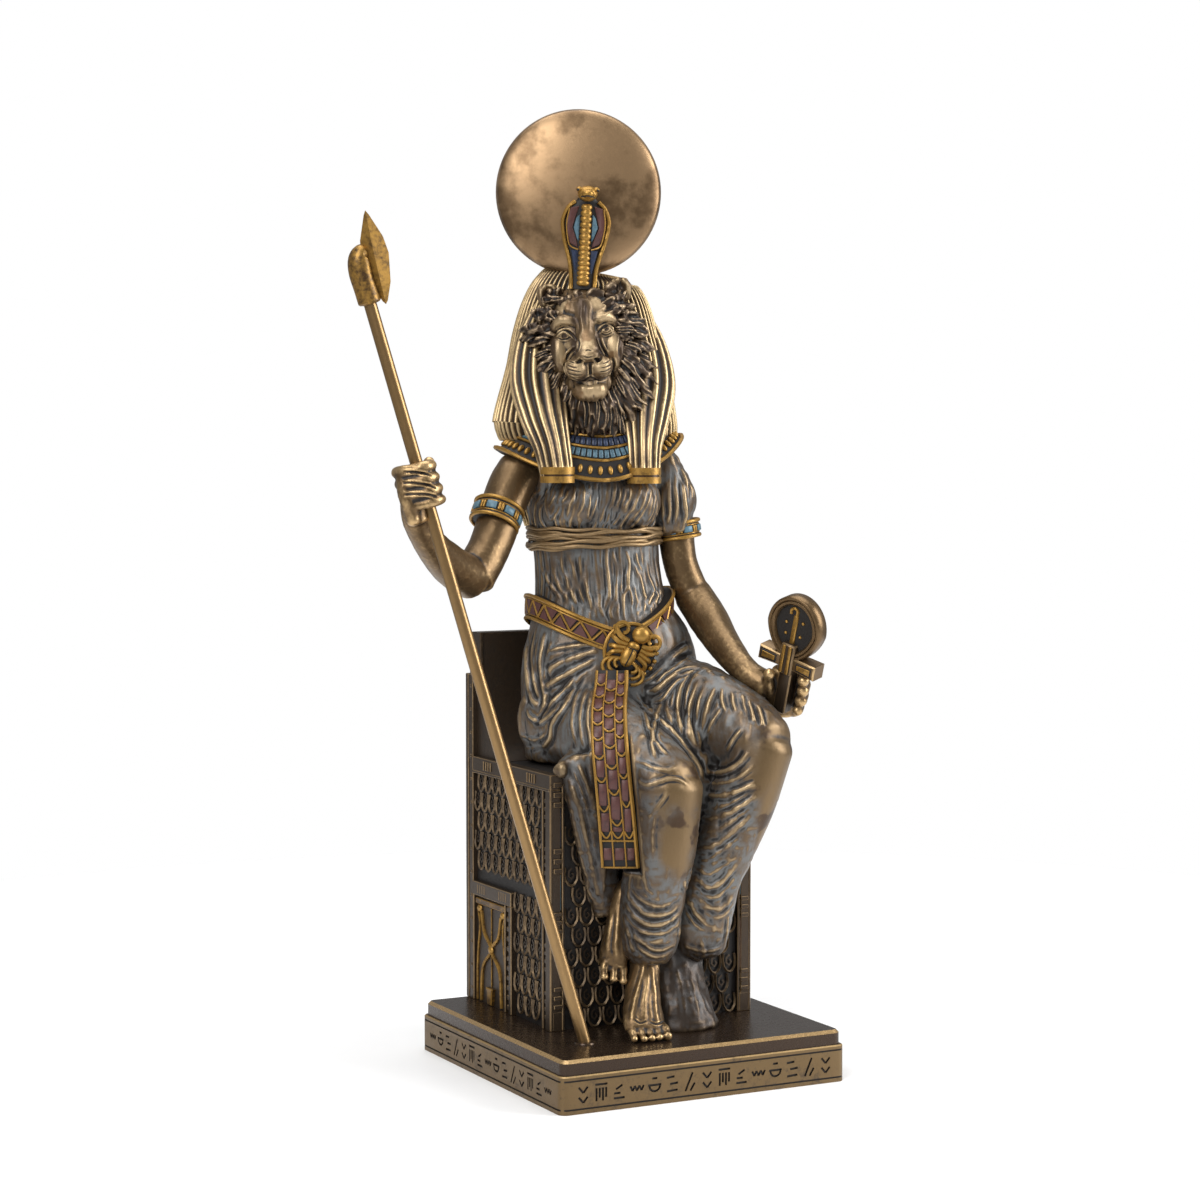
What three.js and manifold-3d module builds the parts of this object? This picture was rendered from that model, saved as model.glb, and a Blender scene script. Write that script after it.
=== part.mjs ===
// A lion-headed goddess seated on a throne, cast in one with its stepped plinth, and the staff that
// passes through the right fist into the plinth. Millimetres, +Z up, -Y is the figure's front, and
// the origin is the centre of the plinth's underside.
import * as THREE from 'three';
import { mergeVertices } from 'three/addons/utils/BufferGeometryUtils.js';
import { LoftGeometry } from 'three/addons/geometries/LoftGeometry.js';
import Module from 'manifold-3d';

const wasm = await Module();
wasm.setup();

// Plinth
const PLINTH_WIDTH = 92.0;
const PLINTH_DEPTH = 94.9;
const PLINTH_HEIGHT = 15.0;
const BAND_HEIGHT = 10.75;
const SLAB_INSET = 0.8;
const SLAB_EDGE_CHAMFER = 0.7;
const PLINTH_CORNER_RADIUS = 2.4;
const BORDER_GROOVE_WIDTH = 0.5;
const BORDER_GROOVE_DEPTH = 0.4;
const BORDER_MARGIN = 1.4;
const STROKE_WIDTH = 0.75;
const STROKE_DEPTH = 0.5;
const SIGN_PITCH = 11.0;

// Throne
const THRONE_WIDTH = 66.9;
const THRONE_DEPTH = 58.1;
const THRONE_BACK_SETBACK = 0.9;
const THRONE_SHIFT = 1.85;
const SEAT_HEIGHT = 74.4;
const REAR_POST_HEIGHT = 99.3;
const REAR_POST_DEPTH = 5.2;
const BACKREST_HEIGHT = 112.0;
const BACKREST_THICKNESS = 9.0;
const BACKREST_INSET = 1.6;
const SEAT_SWEEP = 13.0;
const TOP_BAND_HEIGHT = 4.4;
const SIDE_FRAME_WIDTH = 6.0;
const FIELD_RECESS = 1.5;
const SCALE_WIDTH = 5.0;
const SCALE_HEIGHT = 5.95;
const SCALE_THICKNESS = 0.8;
const DOOR_WIDTH = 27.0;
const DOOR_HEIGHT = 36.5;
const DOOR_FRAME = 4.6;
const DOOR_RECESS = 1.0;
const FRONT_POST_WIDTH = 4.8;
const FRONT_RAIL = 3.0;
const POST_BAR_HEIGHT = 1.4;
const POST_BAR_PROUD = 0.7;
const POST_BARS = 2;
const POST_BAR_GROUPS = 4;
const POST_FOOT = 6.0;

// Staff
const STAFF_DIAMETER = 3.6;
const STAFF_CLEARANCE = 0.3;
const STAFF_SOCKET_DEPTH = 4.0;
const STAFF_REACH_ABOVE_FIST = 57.0;
const STAFF_SIDES = 12;
const STAFF_BOSS_DIAMETER = 6.6;
const STAFF_BOSS_HEIGHT = 0.7;
const SLEEVE_DIAMETER = 6.4;
const SLEEVE_LENGTH = 13.4;
const SLEEVE_OVERLAP = 4.0;
const BLADE_LENGTH = 26.0;
const BLADE_WIDTH = 7.6;
const BLADE_THICKNESS = 5.0;

// Figure, from the plinth's top to the top of the sun disc. Its forms are shares of this height, and
// they are drawn below at the sizes that start with DRAWN.
const FIGURE_HEIGHT = 267.4;
const DRAWN_HEIGHT = 267.4;
const DRAWN_SEAT = 74.4;
const DRAWN_FRONT = -11.6;
const DRAWN_FLOOR = 15.0;
const DRAWN_SHIFT = 1.85;

// Sun disc
const DISC_RADIUS = 24.4;
const DISC_THICKNESS = 13.0;
const DISC_RIM = 2.2;

const U = (FIGURE_HEIGHT - SEAT_HEIGHT) / (DRAWN_HEIGHT - DRAWN_SEAT);
const LEG_SHARE = SEAT_HEIGHT / DRAWN_SEAT;
const THRONE_BACK_Y = PLINTH_DEPTH / 2 - THRONE_BACK_SETBACK;
const THRONE_FRONT_Y = THRONE_BACK_Y - THRONE_DEPTH;
const SEAT_Z = PLINTH_HEIGHT + SEAT_HEIGHT;

// A point of the figure's drawing, in millimetres. The legs span the seat's height, and the rest of
// the figure sits on the seat.
function at(x, y, z) {
  const rise = z - DRAWN_FLOOR;
  const height = rise < DRAWN_SEAT ? rise * LEG_SHARE : SEAT_HEIGHT + (rise - DRAWN_SEAT) * U;
  return new THREE.Vector3(
    (x - DRAWN_SHIFT) * U + THRONE_SHIFT,
    THRONE_FRONT_Y + (y - DRAWN_FRONT) * U,
    PLINTH_HEIGHT + height,
  );
}

// A solid from a closed three.js geometry, with its faces turned outwards.
function toSolid(geometry) {
  const bare = new THREE.BufferGeometry();
  bare.setAttribute('position', geometry.attributes.position);
  bare.setIndex(geometry.index);
  const merged = mergeVertices(bare, 1e-4);
  const points = merged.attributes.position.array;
  const faces = [];
  let volume = 0;
  for (let i = 0; i < merged.index.count; i += 3) {
    const [a, b, c] = [0, 1, 2].map((k) => merged.index.getX(i + k));
    if (a === b || b === c || a === c) continue;
    faces.push([a, b, c]);
    const [p, q, r] = [a, b, c].map((k) => new THREE.Vector3().fromArray(points, 3 * k));
    volume += p.dot(q.cross(r));
  }
  if (volume < 0) faces.forEach((face) => face.reverse());
  return new wasm.Manifold(new wasm.Mesh({
    numProp: 3,
    vertProperties: Float32Array.from(points),
    triVerts: Uint32Array.from(faces.flat()),
  }));
}

// The join of many solids, in pairs so that each step stays small.
function join(solids) {
  if (solids.length === 1) return solids[0];
  const middle = Math.floor(solids.length / 2);
  return join(solids.slice(0, middle)).add(join(solids.slice(middle)));
}

// A box between two corners.
function block(low, high) {
  const size = [0, 1, 2].map((k) => high[k] - low[k]);
  const geometry = new THREE.BoxGeometry(...size);
  geometry.translate(...[0, 1, 2].map((k) => (high[k] + low[k]) / 2));
  return toSolid(geometry);
}

// An outline extruded along its own normal, then carried to its place by a function of (u, v, w).
function plate(outline, depth, place, base = 0) {
  const shape = new THREE.Shape(outline.map(([u, v]) => new THREE.Vector2(u, v)));
  const geometry = new THREE.ExtrudeGeometry(shape, { depth, bevelEnabled: false });
  const position = geometry.attributes.position;
  for (let i = 0; i < position.count; i += 1) {
    const [x, y, z] = place(position.getX(i), position.getY(i), position.getZ(i) + base);
    position.setXYZ(i, x, y, z);
  }
  return toSolid(geometry);
}

function rectangle(left, low, right, high) {
  return [[left, low], [right, low], [right, high], [left, high]];
}

// A rectangle with round corners, as a closed outline.
function roundedRectangle(width, depth, radius, steps = 1) {
  const points = [];
  for (let corner = 0; corner < 4; corner += 1) {
    const sx = corner === 0 || corner === 3 ? 1 : -1;
    const sy = corner < 2 ? 1 : -1;
    for (let i = 0; i <= steps; i += 1) {
      const angle = (corner + i / steps) * Math.PI / 2;
      points.push([
        sx * (width / 2 - radius) + radius * Math.cos(angle),
        sy * (depth / 2 - radius) + radius * Math.sin(angle),
      ]);
    }
  }
  return points;
}

// A closed body along a smooth path. Each station is [x, y, z, half width, half depth] in the figure's
// drawing. carve(t, angle) scales the round section to cut folds and stripes, or outline gives a
// section of its own, in shares of the half width and half depth.
function limb(stations, options = {}) {
  const { sides = 10, steps = 8, across = [1, 0, 0], carve = null, outline = null, tips = 0.5 } = options;
  const unit = outline ?? Array.from({ length: sides }, (_, i) => {
    const angle = 2 * Math.PI * i / sides;
    return [Math.cos(angle), Math.sin(angle)];
  });
  const path = new THREE.CatmullRomCurve3(stations.map(([x, y, z]) => at(x, y, z)));
  const size = new THREE.CatmullRomCurve3(
    stations.map((s) => new THREE.Vector3(s[3] * U, (s[4] ?? s[3]) * U, 0)),
  );
  const reference = typeof across === 'function' ? across : () => across;
  const section = (t, shrink, push) => {
    const centre = path.getPoint(t);
    const tangent = path.getTangent(t);
    const side = new THREE.Vector3(...reference(t));
    side.addScaledVector(tangent, -side.dot(tangent)).normalize();
    const front = tangent.clone().cross(side).normalize();
    const { x: wide, y: deep } = size.getPoint(t);
    centre.addScaledVector(tangent, push * Math.min(wide, deep));
    return unit.map(([a, b]) => {
      const k = shrink * (carve ? carve(t, Math.atan2(b, a)) : 1);
      return centre.clone().addScaledVector(side, wide * k * a).addScaledVector(front, deep * k * b);
    });
  };
  const sections = [];
  if (tips > 0) sections.push(section(0, 0.55, -tips));
  for (let i = 0; i <= steps; i += 1) sections.push(section(i / steps, 1, 0));
  if (tips > 0) sections.push(section(1, 0.55, tips));
  return toSolid(new LoftGeometry(sections, { capStart: true, capEnd: true }));
}

// A closed ring around the body: middle(angle) gives [x, y, z, outward x, outward y] in the drawing,
// and section is its outline as [outward, rise] pairs.
function hoop(middle, section, steps) {
  const sections = [];
  for (let i = 0; i <= steps; i += 1) {
    const [x, y, z, ox, oy] = middle(2 * Math.PI * (i % steps) / steps);
    const out = new THREE.Vector3(ox, oy, 0).normalize();
    sections.push(section.map(([outward, rise]) => at(x, y, z + rise).addScaledVector(out, outward * U)));
  }
  return toSolid(new LoftGeometry(sections));
}

// A local frame on the figure: turned by yaw to the figure's right and rolled to its right.
function frameAt(origin, yawDegrees, rollDegrees = 0) {
  const yaw = THREE.MathUtils.degToRad(yawDegrees);
  const roll = THREE.MathUtils.degToRad(rollDegrees);
  const front = new THREE.Vector3(-Math.sin(yaw), -Math.cos(yaw), 0);
  const flat = new THREE.Vector3(Math.cos(yaw), -Math.sin(yaw), 0);
  const left = flat.clone().multiplyScalar(Math.cos(roll)).add(new THREE.Vector3(0, 0, Math.sin(roll)));
  const up = flat.clone().multiplyScalar(-Math.sin(roll)).add(new THREE.Vector3(0, 0, Math.cos(roll)));
  const point = (a, b, c) => [0, 1, 2].map(
    (k) => origin[k] + a * left.getComponent(k) + b * front.getComponent(k) + c * up.getComponent(k),
  );
  return { left, front, up, point };
}

// An ellipsoid in a local frame, with half sizes to the left, front and top.
function blob(frame, place, radii, { around = 8, rows = 5 } = {}) {
  const geometry = new THREE.SphereGeometry(1, around, rows);
  geometry.rotateX(Math.PI / 2);
  const basis = new THREE.Matrix4().makeBasis(frame.left, frame.front, frame.up);
  const matrix = new THREE.Matrix4().makeTranslation(at(...frame.point(...place))).multiply(basis)
    .multiply(new THREE.Matrix4().makeScale(...radii.map((r) => r * U)));
  geometry.applyMatrix4(matrix);
  return toSolid(geometry);
}

// A lock of hair or the crest of a fold: a slim diamond from root to tip.
function lock(root, tip, width, thickness = width) {
  const from = at(...root);
  const to = at(...tip);
  const along = to.clone().sub(from);
  const geometry = new THREE.OctahedronGeometry(1, 0);
  const spin = new THREE.Quaternion().setFromUnitVectors(
    new THREE.Vector3(0, 0, 1), along.clone().normalize(),
  );
  geometry.scale(width * U, thickness * U, along.length() / 2);
  geometry.applyQuaternion(spin);
  geometry.translate(...from.add(to).multiplyScalar(0.5).toArray());
  return toSolid(geometry);
}

// A raised fold of cloth that tapers to nothing at both ends.
function fold(points, width) {
  const last = points.length - 1;
  const stations = points.map(([x, y, z], i) => {
    const share = i === 0 || i === last ? 0.3 : 1;
    return [x, y, z, width * share];
  });
  return limb(stations, { sides: 3, steps: 3, across: [0.3, 0.9, 0.2], tips: 0 });
}

// Plinth: an inscribed band, a set-back slab with a worn edge, and the staff's boss and socket.
function plinthBody() {
  const upright = (x, y, z) => [x, y, z];
  const band = plate(
    roundedRectangle(PLINTH_WIDTH, PLINTH_DEPTH, PLINTH_CORNER_RADIUS), BAND_HEIGHT, upright,
  );
  const slabOutline = (inset) => roundedRectangle(
    PLINTH_WIDTH - 2 * inset, PLINTH_DEPTH - 2 * inset, PLINTH_CORNER_RADIUS,
  );
  const levels = [
    [SLAB_INSET, BAND_HEIGHT / 2],
    [SLAB_INSET, PLINTH_HEIGHT - SLAB_EDGE_CHAMFER],
    [SLAB_INSET + SLAB_EDGE_CHAMFER, PLINTH_HEIGHT],
  ];
  const slab = toSolid(new LoftGeometry(
    levels.map(([inset, z]) => slabOutline(inset).map(([x, y]) => new THREE.Vector3(x, y, z))),
    { capStart: true, capEnd: true },
  ));
  return band.add(slab);
}

// The border grooves round the plinth, and the rows of strokes cut into its front and its right side.
function plinthCuts() {
  const cuts = [];
  for (const z of [BORDER_MARGIN, BAND_HEIGHT - BORDER_MARGIN]) {
    const outer = plate(
      rectangle(-PLINTH_WIDTH, -PLINTH_DEPTH, PLINTH_WIDTH, PLINTH_DEPTH), BORDER_GROOVE_WIDTH,
      (x, y, w) => [x, y, z - BORDER_GROOVE_WIDTH / 2 + w],
    );
    const kept = plate(
      roundedRectangle(
        PLINTH_WIDTH - 2 * BORDER_GROOVE_DEPTH, PLINTH_DEPTH - 2 * BORDER_GROOVE_DEPTH,
        PLINTH_CORNER_RADIUS,
      ),
      BORDER_GROOVE_WIDTH * 2, (x, y, w) => [x, y, z - BORDER_GROOVE_WIDTH + w],
    );
    cuts.push(outer.subtract(kept));
  }
  const low = 2 * BORDER_MARGIN;
  const high = BAND_HEIGHT - 2 * BORDER_MARGIN;
  const middle = (low + high) / 2;
  const half = STROKE_WIDTH / 2;
  // Each sign is a few plain bars: [left, low, right, high] about the sign's middle.
  const signs = [
    [[-half, low, half, high]],
    [
      [-1.9, middle - 1.6, 1.9, middle - 1.6 + STROKE_WIDTH],
      [-1.9, middle + 0.9, 1.9, middle + 0.9 + STROKE_WIDTH],
    ],
    [[-1.6, low, -1.6 + STROKE_WIDTH, high], [0.9, low, 0.9 + STROKE_WIDTH, middle]],
    [[-half, low, half, middle], [-1.7, middle + 0.6, 1.7, middle + 0.6 + STROKE_WIDTH]],
  ];
  const faces = [
    [PLINTH_WIDTH, (u, v, w) => [u, -PLINTH_DEPTH / 2 + w, v]],
    [PLINTH_DEPTH, (u, v, w) => [-PLINTH_WIDTH / 2 + w, u, v]],
  ];
  faces.forEach(([length, place], face) => {
    const count = Math.floor((length - 4 * PLINTH_CORNER_RADIUS) / SIGN_PITCH);
    for (let i = 0; i < count; i += 1) {
      const centre = (i - (count - 1) / 2) * SIGN_PITCH;
      for (const [left, bottom, right, top] of signs[(i * 3 + face) % signs.length]) {
        cuts.push(plate(
          rectangle(centre + left, bottom, centre + right, top), STROKE_DEPTH + 1, place, -1,
        ));
      }
    }
  });
  return cuts;
}

const THRONE_LEFT_X = THRONE_SHIFT + THRONE_WIDTH / 2;
const THRONE_RIGHT_X = THRONE_SHIFT - THRONE_WIDTH / 2;
const nearSide = (u, v, w) => [THRONE_RIGHT_X - w, u, v];
const farSide = (u, v, w) => [THRONE_LEFT_X + w, u, v];
const frontSide = (u, v, w) => [u, THRONE_FRONT_Y - w, v];
const rearSide = (u, v, w) => [u, THRONE_BACK_Y + w, v];

// Courses of overlapping scales, as strips with a toothed lower edge, laid on a recessed field.
function scaleCourses(left, right, low, high, place) {
  const courses = [];
  const rows = Math.floor((high - low) / SCALE_HEIGHT);
  for (let row = 0; row < rows; row += 1) {
    const top = high - row * SCALE_HEIGHT;
    const bottom = top - SCALE_HEIGHT;
    const start = left + (row % 2 ? SCALE_WIDTH / 2 : 0);
    const count = Math.floor((right - start) / SCALE_WIDTH);
    const end = start + count * SCALE_WIDTH;
    const outline = [[end, top - 0.2 * SCALE_HEIGHT], [start, top - 0.2 * SCALE_HEIGHT]];
    for (let i = 0; i < count; i += 1) {
      const u = start + i * SCALE_WIDTH;
      outline.push([u, bottom + 0.45 * SCALE_HEIGHT], [u + SCALE_WIDTH / 2, bottom]);
    }
    outline.push([end, bottom + 0.45 * SCALE_HEIGHT]);
    courses.push(plate(outline, SCALE_THICKNESS + 1, place, -FIELD_RECESS - 1));
  }
  return courses;
}

// The same courses as plain overlapping steps, for the faces that are turned away or shaded.
function plainCourses(left, right, low, high, place) {
  const rows = Math.floor((high - low) / SCALE_HEIGHT);
  const profile = [[low, -FIELD_RECESS - 1]];
  for (let row = rows; row > 0; row -= 1) {
    const bottom = high - row * SCALE_HEIGHT;
    profile.push([bottom, -FIELD_RECESS - 0.2], [bottom, -FIELD_RECESS + SCALE_THICKNESS]);
  }
  profile.push([high, -FIELD_RECESS - 0.2], [high, -FIELD_RECESS - 1]);
  return [plate(profile, right - left, (v, w, along) => place(left + along, v, w))];
}

// The tied-plant motif of the door panel: two bowed stems that cross, over a small stand.
function tiedPlants(left, right, low, high, place) {
  const middle = (left + right) / 2;
  const parts = [];
  const bar = 0.85;
  for (const hand of [-1, 1]) {
    const outer = hand * (right - left) / 2;
    for (const end of [-1, 1]) {
      const centre = (low + high) / 2;
      const reach = end * (high - low) / 2;
      const spine = new THREE.CatmullRomCurve3([
        new THREE.Vector3(middle, centre, 0),
        new THREE.Vector3(middle + 0.55 * outer, centre + 0.35 * reach, 0),
        new THREE.Vector3(middle + 0.75 * outer, centre + 0.95 * reach, 0),
      ]);
      const points = spine.getPoints(3);
      const edge = (offset) => points.map((p) => [p.x + offset, p.y]);
      parts.push(plate([...edge(-bar), ...edge(bar).reverse()], DOOR_RECESS + 1, place, -DOOR_RECESS - 0.9));
    }
  }
  parts.push(plate(
    rectangle(middle - 1.8, low, middle + 1.8, low + 4), DOOR_RECESS + 1, place, -DOOR_RECESS - 0.9,
  ));
  return parts;
}

// The throne: a box seat with framed scale fields, a door panel on each side, posts with bars, and a
// low back that sweeps into the seat.
function throneBody() {
  const lowX = THRONE_RIGHT_X;
  const highX = THRONE_LEFT_X;
  const floor = PLINTH_HEIGHT - 2;
  let core = block([lowX, THRONE_FRONT_Y, floor], [highX, THRONE_BACK_Y, SEAT_Z]);
  const fieldLow = PLINTH_HEIGHT;
  const fieldHigh = SEAT_Z - TOP_BAND_HEIGHT;
  const fieldFront = THRONE_FRONT_Y + SIDE_FRAME_WIDTH;
  const fieldRear = THRONE_BACK_Y - REAR_POST_DEPTH;
  const doorFront = fieldRear - DOOR_WIDTH;
  const doorTop = PLINTH_HEIGHT + DOOR_HEIGHT;
  const cutter = FIELD_RECESS + 5;
  const relief = [];
  for (const side of [nearSide, farSide]) {
    core = core.subtract(plate(
      [
        [fieldFront, fieldLow], [doorFront, fieldLow], [doorFront, doorTop],
        [fieldRear, doorTop], [fieldRear, fieldHigh], [fieldFront, fieldHigh],
      ],
      cutter, side, -FIELD_RECESS,
    ));
    core = core.subtract(plate(
      rectangle(doorFront + DOOR_FRAME, PLINTH_HEIGHT, fieldRear - 1.2, doorTop - DOOR_FRAME),
      cutter, side, -DOOR_RECESS,
    ));
    const courses = side === nearSide ? scaleCourses : plainCourses;
    relief.push(...courses(fieldFront, fieldRear, doorTop, fieldHigh, side));
    relief.push(...plainCourses(fieldFront, doorFront, fieldLow, doorTop, side));
  }
  relief.push(...tiedPlants(
    doorFront + DOOR_FRAME, fieldRear - 1.2, PLINTH_HEIGHT, doorTop - DOOR_FRAME, nearSide,
  ));
  const frontLeft = lowX + FRONT_POST_WIDTH;
  const frontRight = highX - FRONT_POST_WIDTH;
  core = core.subtract(plate(
    rectangle(frontLeft, fieldLow, frontRight, SEAT_Z - FRONT_RAIL), cutter, frontSide, -FIELD_RECESS,
  ));
  relief.push(...plainCourses(frontLeft, frontRight, fieldLow, SEAT_Z - FRONT_RAIL, frontSide));
  core = core.subtract(plate(
    rectangle(lowX + REAR_POST_DEPTH, fieldLow, highX - REAR_POST_DEPTH, fieldHigh),
    cutter, rearSide, -FIELD_RECESS / 2,
  ));
  const bay = (SEAT_HEIGHT - POST_FOOT) / POST_BAR_GROUPS;
  for (const post of [lowX, highX - FRONT_POST_WIDTH]) {
    for (let group = 0; group < POST_BAR_GROUPS; group += 1) {
      for (let bar = 0; bar < POST_BARS; bar += 1) {
        const z = SEAT_Z - group * bay - 2 * POST_BAR_HEIGHT * (bar + 1);
        relief.push(plate(
          rectangle(post + 0.5, z, post + FRONT_POST_WIDTH - 0.5, z + POST_BAR_HEIGHT),
          POST_BAR_PROUD + 1, frontSide, -1,
        ));
      }
    }
  }
  for (const x of [lowX, highX - BACKREST_INSET]) {
    relief.push(block(
      [x, THRONE_BACK_Y - REAR_POST_DEPTH, SEAT_Z - 1],
      [x + BACKREST_INSET, THRONE_BACK_Y, PLINTH_HEIGHT + REAR_POST_HEIGHT],
    ));
  }
  return join([core, backrest(), ...relief]);
}

// The throne's low back, whose inner face sweeps forward into the seat.
function backrest() {
  const rear = THRONE_BACK_Y;
  const face = rear - BACKREST_THICKNESS;
  const top = PLINTH_HEIGHT + BACKREST_HEIGHT;
  const shape = new THREE.Shape();
  shape.moveTo(rear, SEAT_Z - 2);
  shape.lineTo(rear, top - 1.5);
  shape.quadraticCurveTo(rear, top, rear - 2, top);
  shape.lineTo(face + 1, top);
  shape.quadraticCurveTo(face, SEAT_Z + 0.25 * SEAT_SWEEP, face - SEAT_SWEEP, SEAT_Z);
  shape.lineTo(face - SEAT_SWEEP, SEAT_Z - 2);
  const outline = shape.getPoints(6).map((p) => [p.x, p.y]);
  const width = THRONE_WIDTH - 2 * BACKREST_INSET;
  return plate(outline, width, (u, v, w) => [THRONE_RIGHT_X + BACKREST_INSET + w, u, v]);
}

const TORSO_YAW = 12;
const HEAD_YAW = 25;
const HEAD_ROLL = 5;
const torso = frameAt([-2, 18, 150], TORSO_YAW);
const head = frameAt([-8.2, 10, 213.6], HEAD_YAW, HEAD_ROLL);
const pelvis = frameAt([-0.3, 17.9, 118], 4);

// A direction across the body, turned by yaw degrees to the figure's right.
function turned(yawDegrees) {
  const yaw = THREE.MathUtils.degToRad(yawDegrees);
  return [Math.cos(yaw), -Math.sin(yaw), 0];
}

// Torso, hips and bust under the pleated dress, with the shoulders and the neck.
function torsoBody() {
  const stations = [
    [2.5, 16, 90, 26.5, 20],
    [2.5, 16, 104, 27.4, 20],
    [2.2, 16.5, 116, 27.4, 19.2],
    [1.2, 17.2, 125, 24.8, 17.4],
    [0.2, 17.8, 132, 21.0, 15.0],
    [-0.7, 18.5, 146, 19.2, 13.2],
    [-1.6, 18.5, 158, 19.6, 13.2],
    [-2.0, 18.5, 168, 20.8, 14.0],
    [-2.2, 19.0, 177, 21.6, 12.4],
    [-2.6, 18.5, 185, 12.0, 9.5],
  ];
  const body = limb(stations, {
    sides: 18,
    steps: 8,
    across: (t) => turned(4 + (TORSO_YAW - 4) * t),
    carve: (t, angle) => 1 + 0.026 * Math.cos(9 * angle + 2 * Math.sin(5 * t)),
    tips: 0,
  });
  const bust = [-1, 1].map(
    (hand) => blob(torso, [hand * 9.0, 8.2, 16.6], [8.8, 7.0, 8.4], { around: 8, rows: 5 }),
  );
  const neck = limb([[-2.2, 18, 178, 10, 10], [-6, 13.5, 204, 9, 9]], { sides: 6, steps: 1, tips: 0 });
  return [body, ...bust, neck];
}

// The cord wound round under the bust.
function bustCord() {
  const level = (z) => (turn) => {
    const [x, y] = torso.point(20.4 * Math.cos(turn), 14.2 * Math.sin(turn), 0);
    const [ox, oy] = torso.point(Math.cos(turn), Math.sin(turn), 0);
    return [x, y, z + 1.4 * Math.cos(turn), ox + 2, oy - 18];
  };
  const section = [[-2, -3.4], [1.5, -3.0], [0.9, 0], [1.7, 3.2], [-2, 3.6]];
  return [hoop(level(156.4), section, 14)];
}

const COLLAR_STEPS = 14;

// Broad collar in stepped rows, over the shoulders, dipping in front.
function collar() {
  const rows = [[11.5, 10.5, 188.5], [17.5, 13.6, 187.0], [23.0, 15.6, 185.2], [29.8, 17.4, 182.0]];
  const yaw = THREE.MathUtils.degToRad(TORSO_YAW);
  const ringPoints = (wide, deep, z, drop) => {
    const list = [];
    for (let i = 0; i < COLLAR_STEPS; i += 1) {
      const angle = 2 * Math.PI * i / COLLAR_STEPS;
      const a = wide * Math.cos(angle);
      const b = deep * Math.sin(angle);
      const ahead = Math.sin(angle);
      const dip = drop * ahead * ahead * (ahead > 0 ? 1 : 0.6);
      list.push(at(
        -2.4 + a * Math.cos(yaw) - b * Math.sin(yaw),
        18.2 - a * Math.sin(yaw) - b * Math.cos(yaw),
        z - dip,
      ));
    }
    return list;
  };
  const sections = [];
  rows.forEach(([wide, deep, z], i) => {
    const drop = 3.2 * i;
    if (i > 0) sections.push(ringPoints(wide, deep, z + 0.9, drop));
    sections.push(ringPoints(wide, deep, z, drop));
  });
  const [wide, deep, z] = rows[rows.length - 1];
  sections.push(ringPoints(wide - 1, deep - 1, z - 1.6, 9.6));
  sections.push(ringPoints(8, 8, 170, 0));
  return [toSolid(new LoftGeometry(sections, { capStart: true, capEnd: true }))];
}

// The girdle that dips to the clasp, and the clasp itself: a winged beetle under a ball.
function girdle() {
  const middle = (turn) => {
    const side = Math.abs(Math.cos(turn));
    const ahead = Math.sin(turn);
    const z = 126.5 + 10.1 * side ** 1.3 - Math.max(0, 0.8 * ahead) + 0.6 * Math.cos(turn);
    const slim = 0.17 * (z - 124);
    const [x, y] = pelvis.point((23.7 - slim) * Math.cos(turn), (18.3 - slim) * ahead, 0);
    const [ox, oy] = pelvis.point(Math.cos(turn), ahead, 0);
    return [x, y, z, ox + 0.3, oy - 17.9];
  };
  const section = [[-2, -3.6], [1.9, -3.6], [0.9, -1.6], [0.9, 1.6], [1.9, 3.6], [-2, 3.6]];
  const clasp = frameAt([-0.5, -1.2, 123.4], 12, -24);
  const parts = [
    hoop(middle, section, 14),
    blob(clasp, [0, 0.6, 0], [8.0, 2.8, 8.2], { around: 8, rows: 3 }),
    blob(clasp, [0, 3.0, -1], [2.6, 2.2, 3.8], { around: 6, rows: 3 }),
    blob(clasp, [2.2, 2.8, 5.0], [2.6, 2.0, 2.4], { around: 5, rows: 3 }),
  ];
  for (let i = 0; i < 4; i += 1) {
    const angle = Math.PI * (1.0 + i / 3);
    const root = clasp.point(3.2 * Math.cos(angle), 2.4, 3.2 * Math.sin(angle) - 0.5);
    const tip = clasp.point(8.6 * Math.cos(angle), 2.4, 8.6 * Math.sin(angle) - 0.5);
    parts.push(lock(root, tip, 1.2));
  }
  return parts;
}

// The sash: a ribbon with raised rails and rungs across them, hung over the right thigh.
function sash() {
  const stations = [
    [-7.1, -3.0, 117.8, 4.6, 1.2],
    [-8.7, -5.4, 112.5, 4.8, 1.2],
    [-12.8, -12.0, 108.0, 5.0, 1.2],
    [-15.7, -17.6, 103.0, 5.1, 1.2],
    [-17.1, -21.0, 97.0, 5.2, 1.2],
    [-17.0, -22.6, 88.5, 5.2, 1.2],
    [-15.6, -22.4, 76.4, 5.3, 1.2],
    [-14.2, -22.0, 62.7, 5.4, 1.2],
  ];
  const across = [0.87, -0.49, 0];
  const outline = [
    [-1, -1], [1, -1], [1, 1.3], [0.75, 0.4], [0.3, 1.3], [-0.3, 1.3], [-0.75, 0.4], [-1, 1.3],
  ];
  const ribbon = limb(stations, { steps: 7, across, outline, tips: 0 });
  const path = new THREE.CatmullRomCurve3(stations.map(([x, y, z]) => new THREE.Vector3(x, y, z)));
  const rungs = [];
  for (let row = 1; row < 5; row += 1) {
    const p = path.getPoint(0.16 + row * 0.18);
    const ends = [-4.6, 4.6].map(
      (reach) => [p.x + reach * across[0] - 0.5, p.y + reach * across[1] - 0.9, p.z],
    );
    rungs.push(lock(...ends, 0.8));
  }
  return [ribbon, ...rungs];
}

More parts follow.
